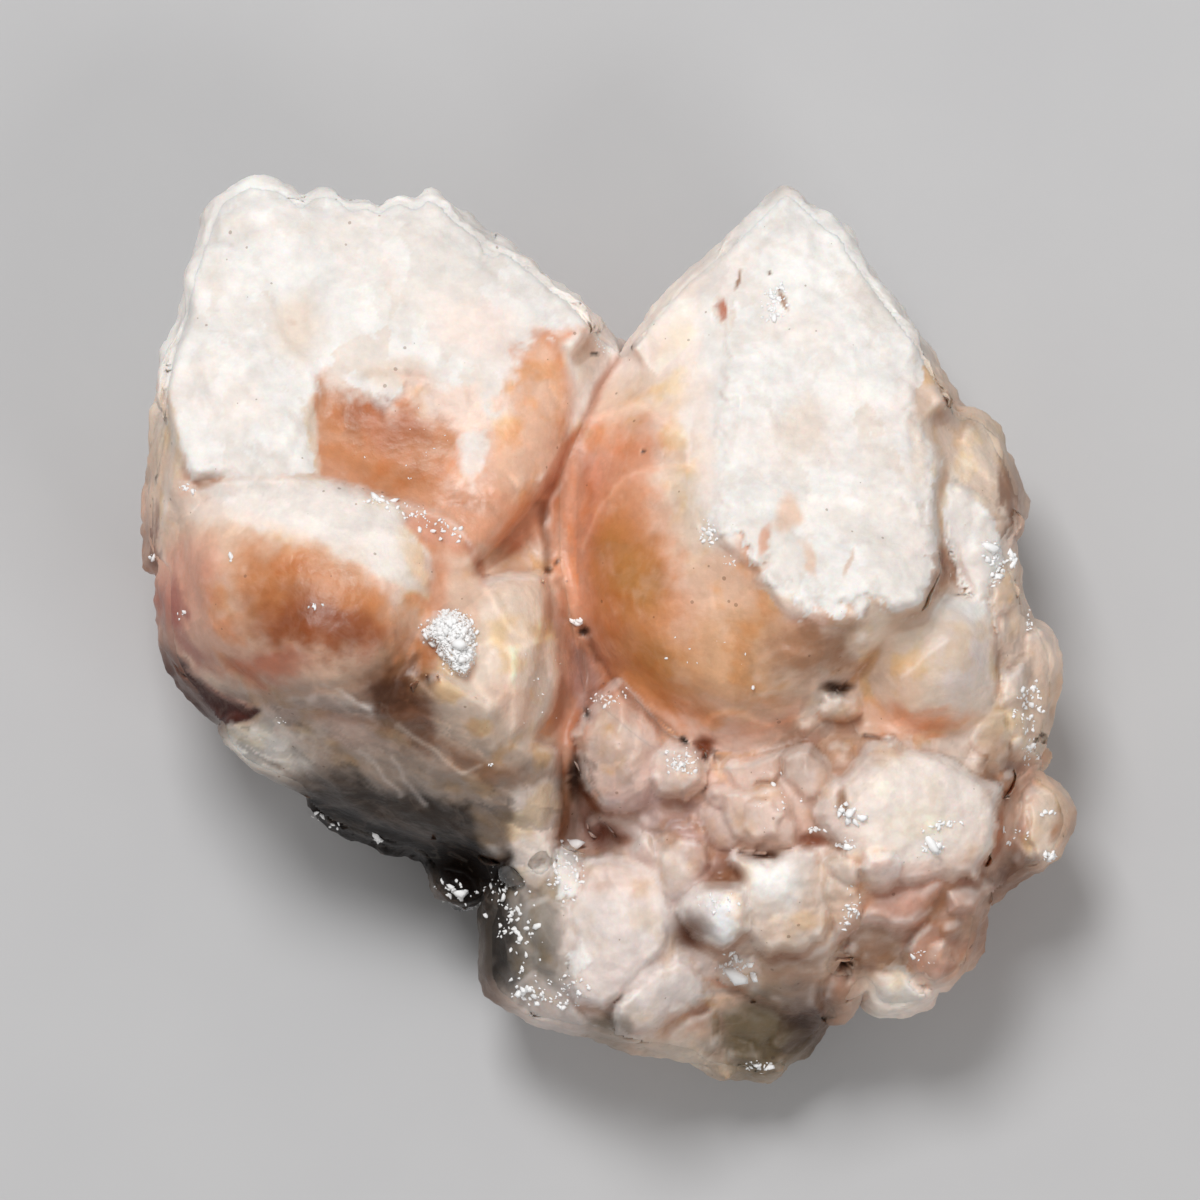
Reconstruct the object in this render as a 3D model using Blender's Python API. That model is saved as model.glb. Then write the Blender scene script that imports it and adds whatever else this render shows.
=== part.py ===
"""Cobaltoan calcite: a cluster of grown-together crystals, lying on the flat cut of its back.

Lengths are in millimetres here and become metres in the meshes. X runs along the longest side, Y
towards the tips of the two big crystals, and Z up from the cut, so the crystals' faces look up.
Every crystal or lump is a closed block of its own shape. All blocks are fused into one solid, which
is then cut off flat at the height of the cut.
"""

import math
import random

import bmesh
import bpy
from mathutils import Euler, Matrix, Vector

# Driving dimensions
MM = 0.001
HEIGHT_LIMIT = 60.0
BELOW_CUT = -3.0
SHEET_RISE = 1.1
SHEET_SINK = 3.0
SHEET_FLARE = 0.55
SHEET_REACH = -0.2
RUBBLE_ROOT = 6.0
BROW_LIFT = 0.9
BROW_INSETS = (1.0, 4.6, 3.0)
BROW_SHOULDER = -0.4
BROW_DEPTH = 5.0
SWELL_FOOT = 0.95
SWELL_RINGS = ((7, 1.0), (5, 0.46))
SWELL_SPREAD = (0.86, 1.12)
TOOTH_ROOT = 0.2
TOOTH_GIRDLE = (0.34, 0.5)
TOOTH_FOOT = 0.8
GROUND_SIDE = 200.0

# A blade's corners: how far along it, how far across it as a share of its width, its height as a
# share of the crest's height, and a fixed depth below the face
BLADE_CORNERS = (
    (0.0, 0.1, 0.0, 0.3), (0.16, 0.0, 0.8, 0.0), (0.62, -0.04, 1.0, 0.0), (0.86, 0.05, 0.7, 0.0),
    (1.0, 0.16, 0.0, 0.5), (0.22, 0.8, 0.0, 0.2), (0.74, 1.0, 0.0, 0.3), (0.28, -0.32, 0.0, 0.8),
    (0.8, -0.3, 0.0, 0.9), (0.5, 0.3, 0.0, 6.0),
)

# The broad tilted faces: height over the origin, then the slope along X and along Y
LEFT_FACE = (44.2, 0.05, -0.40)
RIGHT_FACE = (45.6, -0.03, -0.50)
SMOKY_FACE = (58.0, 0.40, 1.20)

# Calcite's cleavage rhomb: the angle between its short edges and the axis through its blunt corner
RHOMB_EDGE_TO_AXIS = math.radians(63.7)
THIRD_TURN = 2.0 * math.pi / 3.0
JITTER_SEED = 27


def height_on(face, x, y):
    """Height of a tilted face over the point (x, y)."""
    base, slope_x, slope_y = face
    return base + slope_x * x + slope_y * y


def signed_area(outline):
    """Twice the area of an outline, positive where it runs anticlockwise."""
    pairs = zip(outline, outline[1:] + outline[:1])
    return sum(x0 * y1 - x1 * y0 for (x0, y0), (x1, y1) in pairs)


def clear_scene():
    """Removes every object that the scene starts with."""
    for item in list(bpy.data.objects):
        bpy.data.objects.remove(item, do_unlink=True)


def calcite_material(name, colour, roughness):
    """A pale stone finish."""
    material = bpy.data.materials.new(name)
    material.use_nodes = True
    shader = material.node_tree.nodes["Principled BSDF"]
    shader.inputs["Base Color"].default_value = (*colour, 1.0)
    shader.inputs["Roughness"].default_value = roughness
    shader.inputs["Metallic"].default_value = 0.0
    return material


class Cluster:
    """Collects the blocks that the specimen is fused from."""

    def __init__(self):
        self.blocks = bpy.data.collections.new("blocks")
        bpy.context.scene.collection.children.link(self.blocks)
        self.chance = random.Random(JITTER_SEED)

    def add_mesh(self, name, shape):
        """Turns a finished bmesh into a hidden block."""
        bmesh.ops.recalc_face_normals(shape, faces=shape.faces)
        mesh = bpy.data.meshes.new(name)
        shape.to_mesh(mesh)
        shape.free()
        block = bpy.data.objects.new(name, mesh)
        block.hide_render = True
        block.display_type = "WIRE"
        self.blocks.objects.link(block)
        return block

    def hull(self, name, corners):
        """A crystal with flat faces: the tightest convex block around its corners."""
        shape = bmesh.new()
        for corner in corners:
            shape.verts.new(Vector(corner) * MM)
        made = bmesh.ops.convex_hull(shape, input=shape.verts)
        inside = set(made["geom_interior"]) | set(made["geom_unused"])
        loose = [part for part in inside if isinstance(part, bmesh.types.BMVert)]
        bmesh.ops.delete(shape, geom=loose, context="VERTS")
        bmesh.ops.triangulate(shape, faces=shape.faces)
        return self.add_mesh(name, shape)

    def sheet(self, name, outline, face, rise=SHEET_RISE, sink=SHEET_SINK):
        """A low plate with a ragged edge and slanting sides that stands proud of a tilted face."""
        count = len(outline)
        flared = []
        for i, (x, y) in enumerate(outline):
            before = Vector(outline[i - 1])
            after = Vector(outline[(i + 1) % count])
            along = (after - before).normalized()
            flared.append((x - along.y * SHEET_FLARE, y + along.x * SHEET_FLARE))
        if signed_area(outline) > 0.0:
            flared = [(2.0 * p[0] - q[0], 2.0 * p[1] - q[1]) for p, q in zip(outline, flared)]
        shape = bmesh.new()
        rings = []
        for ring, lift in ((outline, rise), (flared, SHEET_REACH), (flared, -sink)):
            corners = self.on_face(face, ring, lift)
            rings.append([shape.verts.new(Vector(corner) * MM) for corner in corners])
        for upper, lower in zip(rings, rings[1:]):
            for i in range(count):
                after = (i + 1) % count
                shape.faces.new((upper[i], upper[after], lower[after], lower[i]))
        shape.faces.new(rings[0])
        shape.faces.new(rings[-1])
        bmesh.ops.triangulate(shape, faces=shape.faces)
        return self.add_mesh(name, shape)

    def blade(self, name, head, foot, width, lift, face):
        """A long low crystal on a tilted face: a crest with a gentle side and a steep one."""
        along = Vector((foot[0] - head[0], foot[1] - head[1]))
        across = Vector((-along.y, along.x)).normalized() * width
        corners = []
        for run, sideways, share, depth in BLADE_CORNERS:
            x = head[0] + along.x * run + across.x * sideways
            y = head[1] + along.y * run + across.y * sideways
            corners.append((x, y, height_on(face, x, y) + lift * share - depth))
        return self.hull(name, corners)

    def brow(self, name, outline, inward, face, waist):
        """A stretch of a crystal's sharp edge that follows its outline, seen from above."""
        rim, crest, root = [
            [(x + inward[0] * inset, y + inward[1] * inset) for x, y in outline] for inset in BROW_INSETS
        ]
        corners = [(x, y, waist) for x, y in outline]
        corners += self.on_face(face, rim, BROW_SHOULDER)
        corners += self.on_face(face, crest, BROW_LIFT)
        corners += [(x, y, waist - BROW_DEPTH) for x, y in root]
        return self.hull(name, corners)

    def swell(self, name, centre, radii, lift, face):
        """A low many-sided rise on a tilted face, flat on top, with wide slopes."""
        corners = []
        start = self.chance.uniform(0.0, THIRD_TURN)
        for (count, reach), height in zip(SWELL_RINGS, (SWELL_FOOT, lift)):
            for side in range(count):
                angle = start + 2.0 * math.pi * side / count
                spread = reach * self.chance.uniform(*SWELL_SPREAD)
                x = centre[0] + math.cos(angle) * radii[0] * spread
                y = centre[1] + math.sin(angle) * radii[1] * spread
                corners.append((x, y, height_on(face, x, y) + height))
        corners.append((*centre, height_on(face, *centre) - RUBBLE_ROOT))
        return self.hull(name, corners)

    def rhomb(self, name, centre, edge, stretch=1.0, turn=(0.0, 0.0, 0.0), root=0.0):
        """A cleavage rhomb, its blunt axis along the turned Z, with a root that reaches down."""
        lean = RHOMB_EDGE_TO_AXIS
        edges = [
            Vector(
                (
                    math.sin(lean) * math.cos(step * THIRD_TURN),
                    math.sin(lean) * math.sin(step * THIRD_TURN),
                    math.cos(lean) * stretch,
                )
            )
            * edge
            for step in range(3)
        ]
        middle = (edges[0] + edges[1] + edges[2]) / 2.0
        spin = Euler([math.radians(angle) for angle in turn]).to_matrix()
        corners = []
        for picks in range(8):
            corner = sum((edges[i] for i in range(3) if picks >> i & 1), Vector())
            corners.append(Vector(centre) + spin @ (corner - middle))
        corners.append(Vector(centre) - Vector((0.0, 0.0, root)))
        return self.hull(name, corners)

    def tooth(self, name, foot, tip, girth, twist=0.0):
        """A six-sided pointed crystal that grows from foot to tip, its girdle in zigzag."""
        foot, tip = Vector(foot), Vector(tip)
        axis = tip - foot
        stand = axis.to_track_quat("Z", "Y").to_matrix()
        corners = [tip, foot - axis * TOOTH_ROOT]
        for side in range(6):
            angle = math.radians(60.0 * side + twist)
            rim = stand @ Vector((math.cos(angle), math.sin(angle), 0.0)) * girth
            corners.append(foot + axis * TOOTH_GIRDLE[side % 2] + rim)
            corners.append(foot + rim * TOOTH_FOOT)
        return self.hull(name, corners)

    def knob(self, name, centre, radii, turn=0.0, rough=0.12, fine=False, root=0.0):
        """A rounded lump: a ball of few faces, its corners moved in and out, with a root below."""
        shape = bmesh.new()
        bmesh.ops.create_icosphere(shape, subdivisions=2 if fine else 1, radius=1.0)
        spin = Matrix.Rotation(math.radians(turn), 3, "Z")
        corners = []
        for vertex in shape.verts:
            swell = 1.0 + self.chance.uniform(-rough, rough)
            point = Vector([vertex.co[i] * radii[i] * swell for i in range(3)])
            corners.append(Vector(centre) + spin @ point)
        shape.free()
        corners.append(Vector(centre) - Vector((0.0, 0.0, root)))
        return self.hull(name, corners)

    def on_face(self, face, points, lift=0.0):
        """Corners that lie on a tilted face, raised by lift."""
        return [(x, y, height_on(face, x, y) + lift) for x, y in points]


def build_cores(cluster):
    """The massive calcite that both crystals and the rubble grow from."""
    cluster.hull(
        "left_core",
        [
            (-38, 8, 24), (-36, 20, 22), (-20, 27, 22), (-6, 23, 23), (-2, 10, 25), (-4, -14, 25),
            (-14, -18, 22), (-29, -11, 22), (-37, -3, 24), (-35, 6, BELOW_CUT), (-32, 18, BELOW_CUT),
            (-24, 24, BELOW_CUT), (-8, 22, BELOW_CUT), (4, 13, BELOW_CUT), (2, -16, BELOW_CUT),
            (-14, -19, BELOW_CUT), (-27, -11, BELOW_CUT), (-34, -2, BELOW_CUT),
        ],
    )
    cluster.hull(
        "right_core",
        [
            (1, 1, 27), (14, 8, 28), (34, 6, 28), (38, -6, 28), (38.6, -15, 26), (33, -24, 27),
            (26, -31, 23), (14, -33, 25), (4, -30, 25), (1, -20, 25), (0, -8, 26), (20, -14, 29.6),
            (10, -14, 28.6),
            (-2, 6, BELOW_CUT), (16, 22, BELOW_CUT), (29, 18, BELOW_CUT), (37, 6, BELOW_CUT),
            (40, -8, BELOW_CUT), (39, -20, BELOW_CUT), (32, -28, BELOW_CUT), (24, -33, BELOW_CUT),
            (10, -37, BELOW_CUT), (-4, -34, BELOW_CUT), (-8, -22, BELOW_CUT), (-6, -6, BELOW_CUT),
        ],
    )


def build_left_crystal(cluster):
    """The broad blunt crystal at the upper left, with its raised white slab and ragged frost."""
    cluster.hull(
        "left_crystal",
        [
            (-46.7, 6.0, 22), (-46.3, 14, 23), (-45.4, 20, 23), (-44.2, 28, 22), (-42.8, 33, 21.5),
            (-41.6, 37.4, 21), (-39.8, 41.2, 21), (-36.8, 43.0, 21.5), (-31.0, 43.2, 22),
            (-19.4, 42.0, 22.5), (-11.4, 37.8, 22.5), (-5.4, 33.6, 22), (1.4, 28.4, 18.5),
            *cluster.on_face(
                LEFT_FACE,
                [(-37.5, 41.4), (-33.5, 42.2), (-20.0, 40.8), (-12.6, 36.0), (-6.8, 31.4), (-40.6, 33)],
                -0.3,
            ),
            *cluster.on_face(LEFT_FACE, [(-42.6, 22), (-43.6, 12), (-30, 6), (-14, 6)], -0.3),
            (-5.2, 29.0, 31.5), (-4.3, 26.8, 31.5), (-4.0, 23.5, 32), (-5.4, 18, 33), (-6.6, 14, 33.5),
            (-1.0, 22.0, 22), (-3.0, 16, 22),
            (-40, 6, 4), (-37, 22, 4), (-33, 33, 9), (-27, 37, 11), (-16, 35, 10), (-5, 26, 6),
            (-6, 8, BELOW_CUT), (-30, 8, BELOW_CUT),
        ],
    )
    # The upper edge runs in short lobes with notches between them
    for number, (inward, outline) in enumerate(
        [
            ((0.6, -0.8), [(-41.8, 36.5), (-41.0, 39.5), (-40.0, 42.3), (-38.9, 43.5), (-37.2, 44.6)]),
            ((0.1, -1.0), [(-37.4, 44.5), (-36.2, 45.2), (-34.8, 45.2), (-33.0, 44.9), (-31.2, 43.9)]),
            ((0.0, -1.0), [(-30.4, 43.5), (-29.2, 44.4), (-27.5, 44.3), (-26.2, 43.2)]),
            ((0.0, -1.0), [(-26.4, 42.9), (-24.5, 42.9), (-24.0, 43.1), (-23.0, 42.4)]),
            ((0.0, -1.0), [(-22.9, 42.6), (-21.8, 43.5), (-21.0, 43.6), (-19.8, 43.3), (-19.3, 42.8)]),
            ((-0.2, -1.0), [(-19.2, 42.9), (-18.1, 44.1), (-17.0, 43.5), (-15.5, 42.0)]),
            ((-0.5, -0.85), [(-15.6, 41.9), (-13.2, 40.2), (-11.6, 38.7)]),
            ((-0.55, -0.8), [(-10.9, 39.0), (-9.0, 37.6), (-7.2, 36.1), (-5.2, 34.4)]),
            ((-0.6, -0.75), [(-5.0, 34.5), (-3.2, 32.7), (-1.2, 30.6)]),
        ]
    ):
        cluster.brow(f"left_brow_{number}", outline, inward, LEFT_FACE, 22.0 + 0.4 * (number % 3))
    cluster.sheet(
        "left_frost",
        [
            (-38.6, 41.2), (-34.0, 42.2), (-29.0, 41.4), (-24.0, 41.2), (-19.4, 40.8), (-12.6, 35.9),
            (-7.4, 31.4), (-5.9, 29.6), (-8.6, 28.6), (-10.4, 27.8), (-9.2, 25.2), (-10.0, 23.6),
            (-11.2, 24.0), (-11.2, 21.8), (-12.2, 21.4), (-13.4, 22.4), (-14.2, 24.0), (-16.0, 24.4),
            (-18.0, 24.8), (-20.4, 25.6), (-21.2, 23.4), (-22.0, 23.0), (-23.6, 24.2), (-25.4, 24.6),
            (-27.2, 25.4), (-29.4, 25.0), (-31.0, 27.6), (-33.6, 30.4), (-36.8, 32.6), (-40.2, 34.0),
        ],
        LEFT_FACE,
    )
    cluster.sheet(
        "frost_tongue",
        [(-12.2, 20.4), (-11.8, 17.8), (-12.6, 15.4), (-14.0, 14.8), (-15.2, 16.4), (-14.8, 19.2)],
        LEFT_FACE,
        0.6,
    )
    # Low swells under the frost and on the slab
    for number, (centre, radii, lift) in enumerate(
        [
            ((-33.0, 38.4), (6.4, 4.6), 2.0), ((-25.6, 32.6), (6.2, 6.6), 1.8),
            ((-20.6, 36.6), (5.0, 4.6), 2.1), ((-15.4, 30.6), (5.6, 6.2), 1.9),
            ((-38.0, 26.0), (4.6, 7.8), 2.8), ((-33.6, 19.8), (4.6, 4.6), 2.7),
        ]
    ):
        cluster.swell(f"left_swell_{number}", centre, radii, lift, LEFT_FACE)
    cluster.sheet(
        "slab_body",
        [
            (-40.6, 38.0), (-38.0, 38.6), (-35.0, 37.2), (-33.6, 34.0), (-33.0, 31.0), (-32.2, 28.6),
            (-29.6, 26.6), (-29.0, 23.4), (-29.8, 20.6), (-29.0, 18.4), (-29.4, 15.8), (-33.0, 15.2),
            (-37.0, 15.8), (-41.6, 15.4), (-42.8, 18.6), (-44.0, 23.6), (-43.0, 27.4), (-41.4, 31.6),
            (-42.0, 35.0),
        ],
        LEFT_FACE,
        1.9,
    )


def build_hump(cluster):
    """The rounded crystal in front of the left one, its sparkling ledge and dark lower facet."""
    cluster.hull(
        "hump",
        [
            (-43.0, 14.4, 34), (-37.0, 15.2, 38.4), (-31.0, 15.2, 40.0), (-27.5, 14.9, 40.4),
            (-24.2, 14.0, 40.6), (-21.0, 12.2, 40.6), (-19.4, 9.8, 40.8), (-18.2, 7.4, 41.0),
            (-17.6, 4.4, 41.2), (-18.4, 1.4, 41.4), (-40.4, 6.0, 41.4), (-31.0, 6.4, 45.2),
            (-24.0, 5.6, 45.6), (-20.6, 3.0, 44.6), (-38.6, 0.6, 42.4), (-29.0, -1.6, 46.6),
            (-22.0, -2.0, 45.6), (-44.7, 11.0, 30), (-44.8, 3.0, 30), (-44.5, -1.0, 29),
            (-42.7, -3.8, 30), (-40.5, -5.2, 31), (-38.4, -6.4, 32.6), (-35.0, -7.4, 36),
            (-29.0, -7.6, 41.4), (-23.0, -8.4, 42.6), (-44.0, 9.0, 12), (-43.4, -1.0, 14),
            (-36.0, -6.0, 10), (-18.0, -9.0, 14), (-18.0, 6.0, 14),
        ],
    )
    cluster.hull(
        "dark_facet",
        [
            (-44.8, 1.0, 27), (-44.2, -2.8, 25), (-43.2, -4.8, 24), (-41.4, -6.8, 23),
            (-40.2, -8.4, 23), (-39.0, -9.8, 24), (-37.0, -8.2, 30), (-42.6, -3.8, 28),
            (-43.0, 4.0, 8), (-38.0, -8.0, 8), (-29.0, -5.0, 5), (-34.0, 4.0, 5),
        ],
    )
    cluster.hull(
        "sparkle_ledge",
        [
            (-26.0, 13.0, 39.0), (-23.0, 13.6, 39.4), (-20.8, 13.0, 39.6), (-18.4, 12.4, 39.4),
            (-16.0, 11.4, 39.0), (-14.2, 9.8, 38.4), (-13.4, 8.6, 38.0), (-12.6, 4.6, 39.0),
            (-14.0, -1.0, 40.6), (-19.0, 1.0, 40.6), (-24.0, 12.0, 20), (-14.0, 8.0, 20),
            (-14.0, -2.0, 20), (-22.0, 2.0, 20),
        ],
    )


def build_peach_blocks(cluster):
    """The smooth peach blocks between the hump and the valley, and the valley's floor."""
    cluster.hull(
        "peach_front",
        [
            (-12.8, 5.6, 38.2), (-10.3, 6.0, 38.6), (-8.2, 5.8, 38.4), (-6.6, 5.9, 37.6),
            (-6.0, 3.0, 37.8), (-6.8, 0.4, 38.8), (-7.0, -1.2, 39.2), (-8.6, -9.6, 39.4),
            (-12.0, -12.4, 39.0), (-17.0, -9.0, 41.8), (-18.6, -4.0, 43.4), (-18.6, 0.6, 42.8),
            (-12.0, 2.4, 41.8), (-9.6, -4.0, 41.6), (-16.0, 2.0, 22), (-7.0, 4.0, 22),
            (-7.0, -10.0, 22), (-16.0, -10.0, 22),
        ],
    )
    cluster.hull(
        "peach_plate",
        [
            (-5.8, 1.0, 34.6), (-5.2, -1.0, 35.4), (-4.8, -4.2, 35.4), (-5.4, -8.0, 35.0),
            (-8.0, -11.6, 35.6), (-12.0, -13.8, 35.6), (-9.0, -1.0, 37.6), (-8.6, -9.0, 37.8),
            (-6.6, 2.6, 34.4), (-8.0, 0.0, 18), (-6.0, -8.0, 18), (-13.0, -12.0, 18),
        ],
    )
    cluster.hull(
        "peach_wedge",
        [
            (-11.4, -1.6, 42.6), (-9.2, -3.0, 42.0), (-9.4, -6.6, 41.8), (-11.2, -8.4, 42.0),
            (-13.4, -5.0, 42.8), (-10.0, -4.0, 36), (-11.6, -7.0, 36), (-11.8, -3.0, 36),
        ],
    )
    cluster.hull(
        "valley_floor",
        [
            (-7.5, 17.0, 29), (-5.2, 16.8, 28), (-2.6, 20.2, 24), (-1.4, 8, 24), (-1.8, -6, 23),
            (-4.6, -10, 25), (-6.4, 6.0, 30), (-6.8, 11.0, 31), (-9.0, 14.0, 31), (-8.0, 15, 10),
            (-1, 15, 10), (-1, -8, 10), (-7, -8, 10),
        ],
    )
    for number, (x, y, z, size, stretch, turn) in enumerate(
        [
            (-4.6, 9.8, 24.6, 3.4, 1.5, (52, -34, 40)), (-4.4, 2.6, 25.8, 3.4, 1.4, (48, 30, 5)),
            (-3.4, -4.2, 24.8, 3.2, 1.4, (62, 24, 70)),
        ]
    ):
        cluster.rhomb(f"valley_crystal_{number}", (x, y, z), size, stretch, turn, RUBBLE_ROOT)


def build_smoky_slope(cluster):
    """The smoky lower-left face, which falls away from the hump in long slanting blades."""
    cluster.hull(
        "smoky_body",
        [
            *cluster.on_face(
                SMOKY_FACE,
                [
                    (-38.9, -11.2), (-36.0, -14.2), (-34.4, -14.7), (-31.0, -14.8), (-26.6, -18.2),
                    (-22.0, -20.0), (-12.0, -22.4), (-8.0, -23.6), (-12.0, -11.0), (-20.0, -7.2),
                    (-28.0, -6.6), (-36.0, -7.4), (-39.4, -9.4),
                ],
                -0.6,
            ),
            (-4.8, -12.0, 33), (-4.6, -17.0, 30), (-5.4, -22.4, 27.6), (-33.0, -10.0, 10),
            (-27.0, -14.0, 9), (-12.0, -19.0, BELOW_CUT), (-4.0, -20.0, BELOW_CUT),
            (-8.0, -6.0, BELOW_CUT), (-30.0, -4.0, 6),
        ],
    )
    for number, (head, foot, width, lift) in enumerate(
        [
            ((-38.8, -8.8), (-31.4, -14.4), 4.2, 0.7), ((-33.6, -7.4), (-27.6, -16.2), 4.6, 0.8),
            ((-29.2, -5.2), (-19.6, -12.6), 4.0, 0.8), ((-27.4, -9.0), (-20.6, -17.8), 4.4, 0.9),
            ((-21.6, -10.4), (-15.6, -19.4), 3.6, 1.0), ((-21.2, -5.0), (-11.6, -12.8), 4.2, 0.8),
            ((-16.4, -11.6), (-9.4, -20.4), 4.0, 0.9), ((-30.4, -12.6), (-24.6, -18.2), 2.6, 0.8),
            ((-16.6, -17.8), (-11.0, -23.4), 3.0, 0.8),
        ]
    ):
        cluster.blade(f"smoky_blade_{number}", head, foot, width, lift, SMOKY_FACE)
    cluster.hull(
        "smoky_under",
        [
            (-31.6, -14.6, 19), (-30.6, -17.6, 16), (-28.2, -19.8, 15), (-25.6, -20.8, 14.5),
            (-22.8, -21.7, 14), (-18.6, -23.0, 13.5), (-14.0, -24.6, 13), (-10.0, -26.0, 14),
            (-8.0, -22.0, 21), (-14.0, -21.2, 20), (-22.0, -19.0, 20), (-28.0, -16.0, 20),
            (-26.0, -14.0, 5), (-18.0, -19.0, 3), (-8.0, -22.0, 1),
        ],
    )
    cluster.hull(
        "clear_shard",
        [
            (-18.9, -22.8, 15.6), (-17.6, -26.0, 15.0), (-16.2, -27.3, 14.6), (-14.6, -28.1, 14.6),
            (-12.2, -26.2, 16.6), (-12.6, -25.4, 17.0), (-14.6, -24.4, 17.4), (-17.0, -23.5, 16.8),
            (-15.2, -25.8, 18.6), (-15.6, -25.4, 11.4), (-11.0, -25.6, 11.0), (-11.0, -24.4, 15.0),
        ],
    )


def build_bottom_lump(cluster):
    """The frosted lump at the bottom with its sparkling left flank and brownish foot."""
    cluster.hull(
        "bottom_lump",
        [
            (-5.4, -23.0, 27.6), (-1.0, -22.6, 29.2), (3.4, -23.4, 29.4), (6.0, -27.6, 28.6),
            (6.0, -32.8, 28.4), (1.0, -35.6, 28.6), (-3.6, -35.0, 28.2), (-4.8, -28.4, 29.4),
            (-9.6, -23.6, 22.6), (-12.2, -27.0, 19), (-13.0, -29.8, 17.6), (-13.0, -34.6, 17),
            (-12.2, -36.4, 16.6), (-9.6, -38.4, 16), (-7.0, -39.7, 16), (-4.8, -40.4, 16.6),
            (-1.0, -40.8, 17), (3.0, -40.8, 19), (-9.0, -27.0, BELOW_CUT), (-9.6, -33.0, BELOW_CUT),
            (-6.0, -36.4, BELOW_CUT), (2.0, -37.4, BELOW_CUT), (6.0, -24.0, BELOW_CUT),
        ],
    )
    for number, (x, y, z, wide, deep, tall) in enumerate(
        [
            (0.6, -26.4, 27.4, 4.4, 3.6, 3.0), (3.2, -31.0, 26.8, 3.8, 4.0, 2.8),
            (-2.6, -31.4, 26.8, 3.4, 3.8, 3.0),
        ]
    ):
        cluster.knob(f"lump_swell_{number}", (x, y, z), (wide, deep, tall), 30 * number, 0.06)
    cluster.hull(
        "bottom_lobe",
        [
            (0.6, -37.2, 25.4), (0.8, -39.4, 24.4), (1.8, -40.4, 22), (4.0, -40.4, 22.6),
            (8.0, -38.0, 23.6), (9.4, -35.6, 24.2), (8.6, -33.2, 26.4), (5.0, -33.6, 28.8),
            (2.6, -35.0, 28.2), (3.4, -37.6, 27.2), (2.0, -34.0, 6), (8.0, -35.0, 12), (5.0, -39.0, 12),
        ],
    )
    cluster.hull(
        "bottom_left_block",
        [
            (-11.2, -23.4, 22.6), (-9.0, -23.6, 23.4), (-8.2, -25.6, 22.4), (-11.0, -28.6, 20.6),
            (-12.4, -27.4, 19.6), (-11.6, -24.0, 14), (-8.4, -24.6, 14), (-10.0, -29.0, 14),
        ],
    )
    cluster.hull(
        "bottom_beige",
        [
            (-1.6, -38.4, 20), (-1.0, -40.9, 16.6), (1.0, -41.4, 16), (4.2, -41.8, 16), (7.0, -43.0, 15),
            (9.2, -43.6, 14), (11.0, -41.8, 15.6), (10.8, -38.4, 19), (8.0, -36.4, 22), (3.0, -37.4, 22),
            (0.0, -38.0, BELOW_CUT), (9.0, -40.0, BELOW_CUT), (8.0, -34.0, BELOW_CUT),
        ],
    )
    cluster.hull(
        "bottom_brown",
        [
            (8.6, -43.6, 11.6), (10.0, -44.6, 10.4), (13.0, -45.0, 9.6), (16.0, -45.2, 9),
            (17.4, -44.4, 9), (19.6, -42.8, 9), (21.6, -40.4, 9.6), (22.8, -38.0, 11),
            (18.0, -37.6, 17), (13.4, -36.8, 18.6), (9.6, -36.8, 18.6), (8.0, -39.0, 17),
            (12.0, -41.0, BELOW_CUT), (18.0, -39.0, BELOW_CUT), (20.0, -34.0, BELOW_CUT),
            (10.0, -34.0, BELOW_CUT),
        ],
    )
    for number, (x, y, z, size) in enumerate(
        [
            (13.6, -41.0, 13.6, 3.2), (17.6, -39.6, 13.6, 3.4), (11.2, -43.0, 11.8, 2.6),
            (15.2, -43.4, 10.6, 2.8),
        ]
    ):
        cluster.rhomb(f"brown_crystal_{number}", (x, y, z), size, 0.9, (30 * number, 20, 50 * number))


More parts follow.
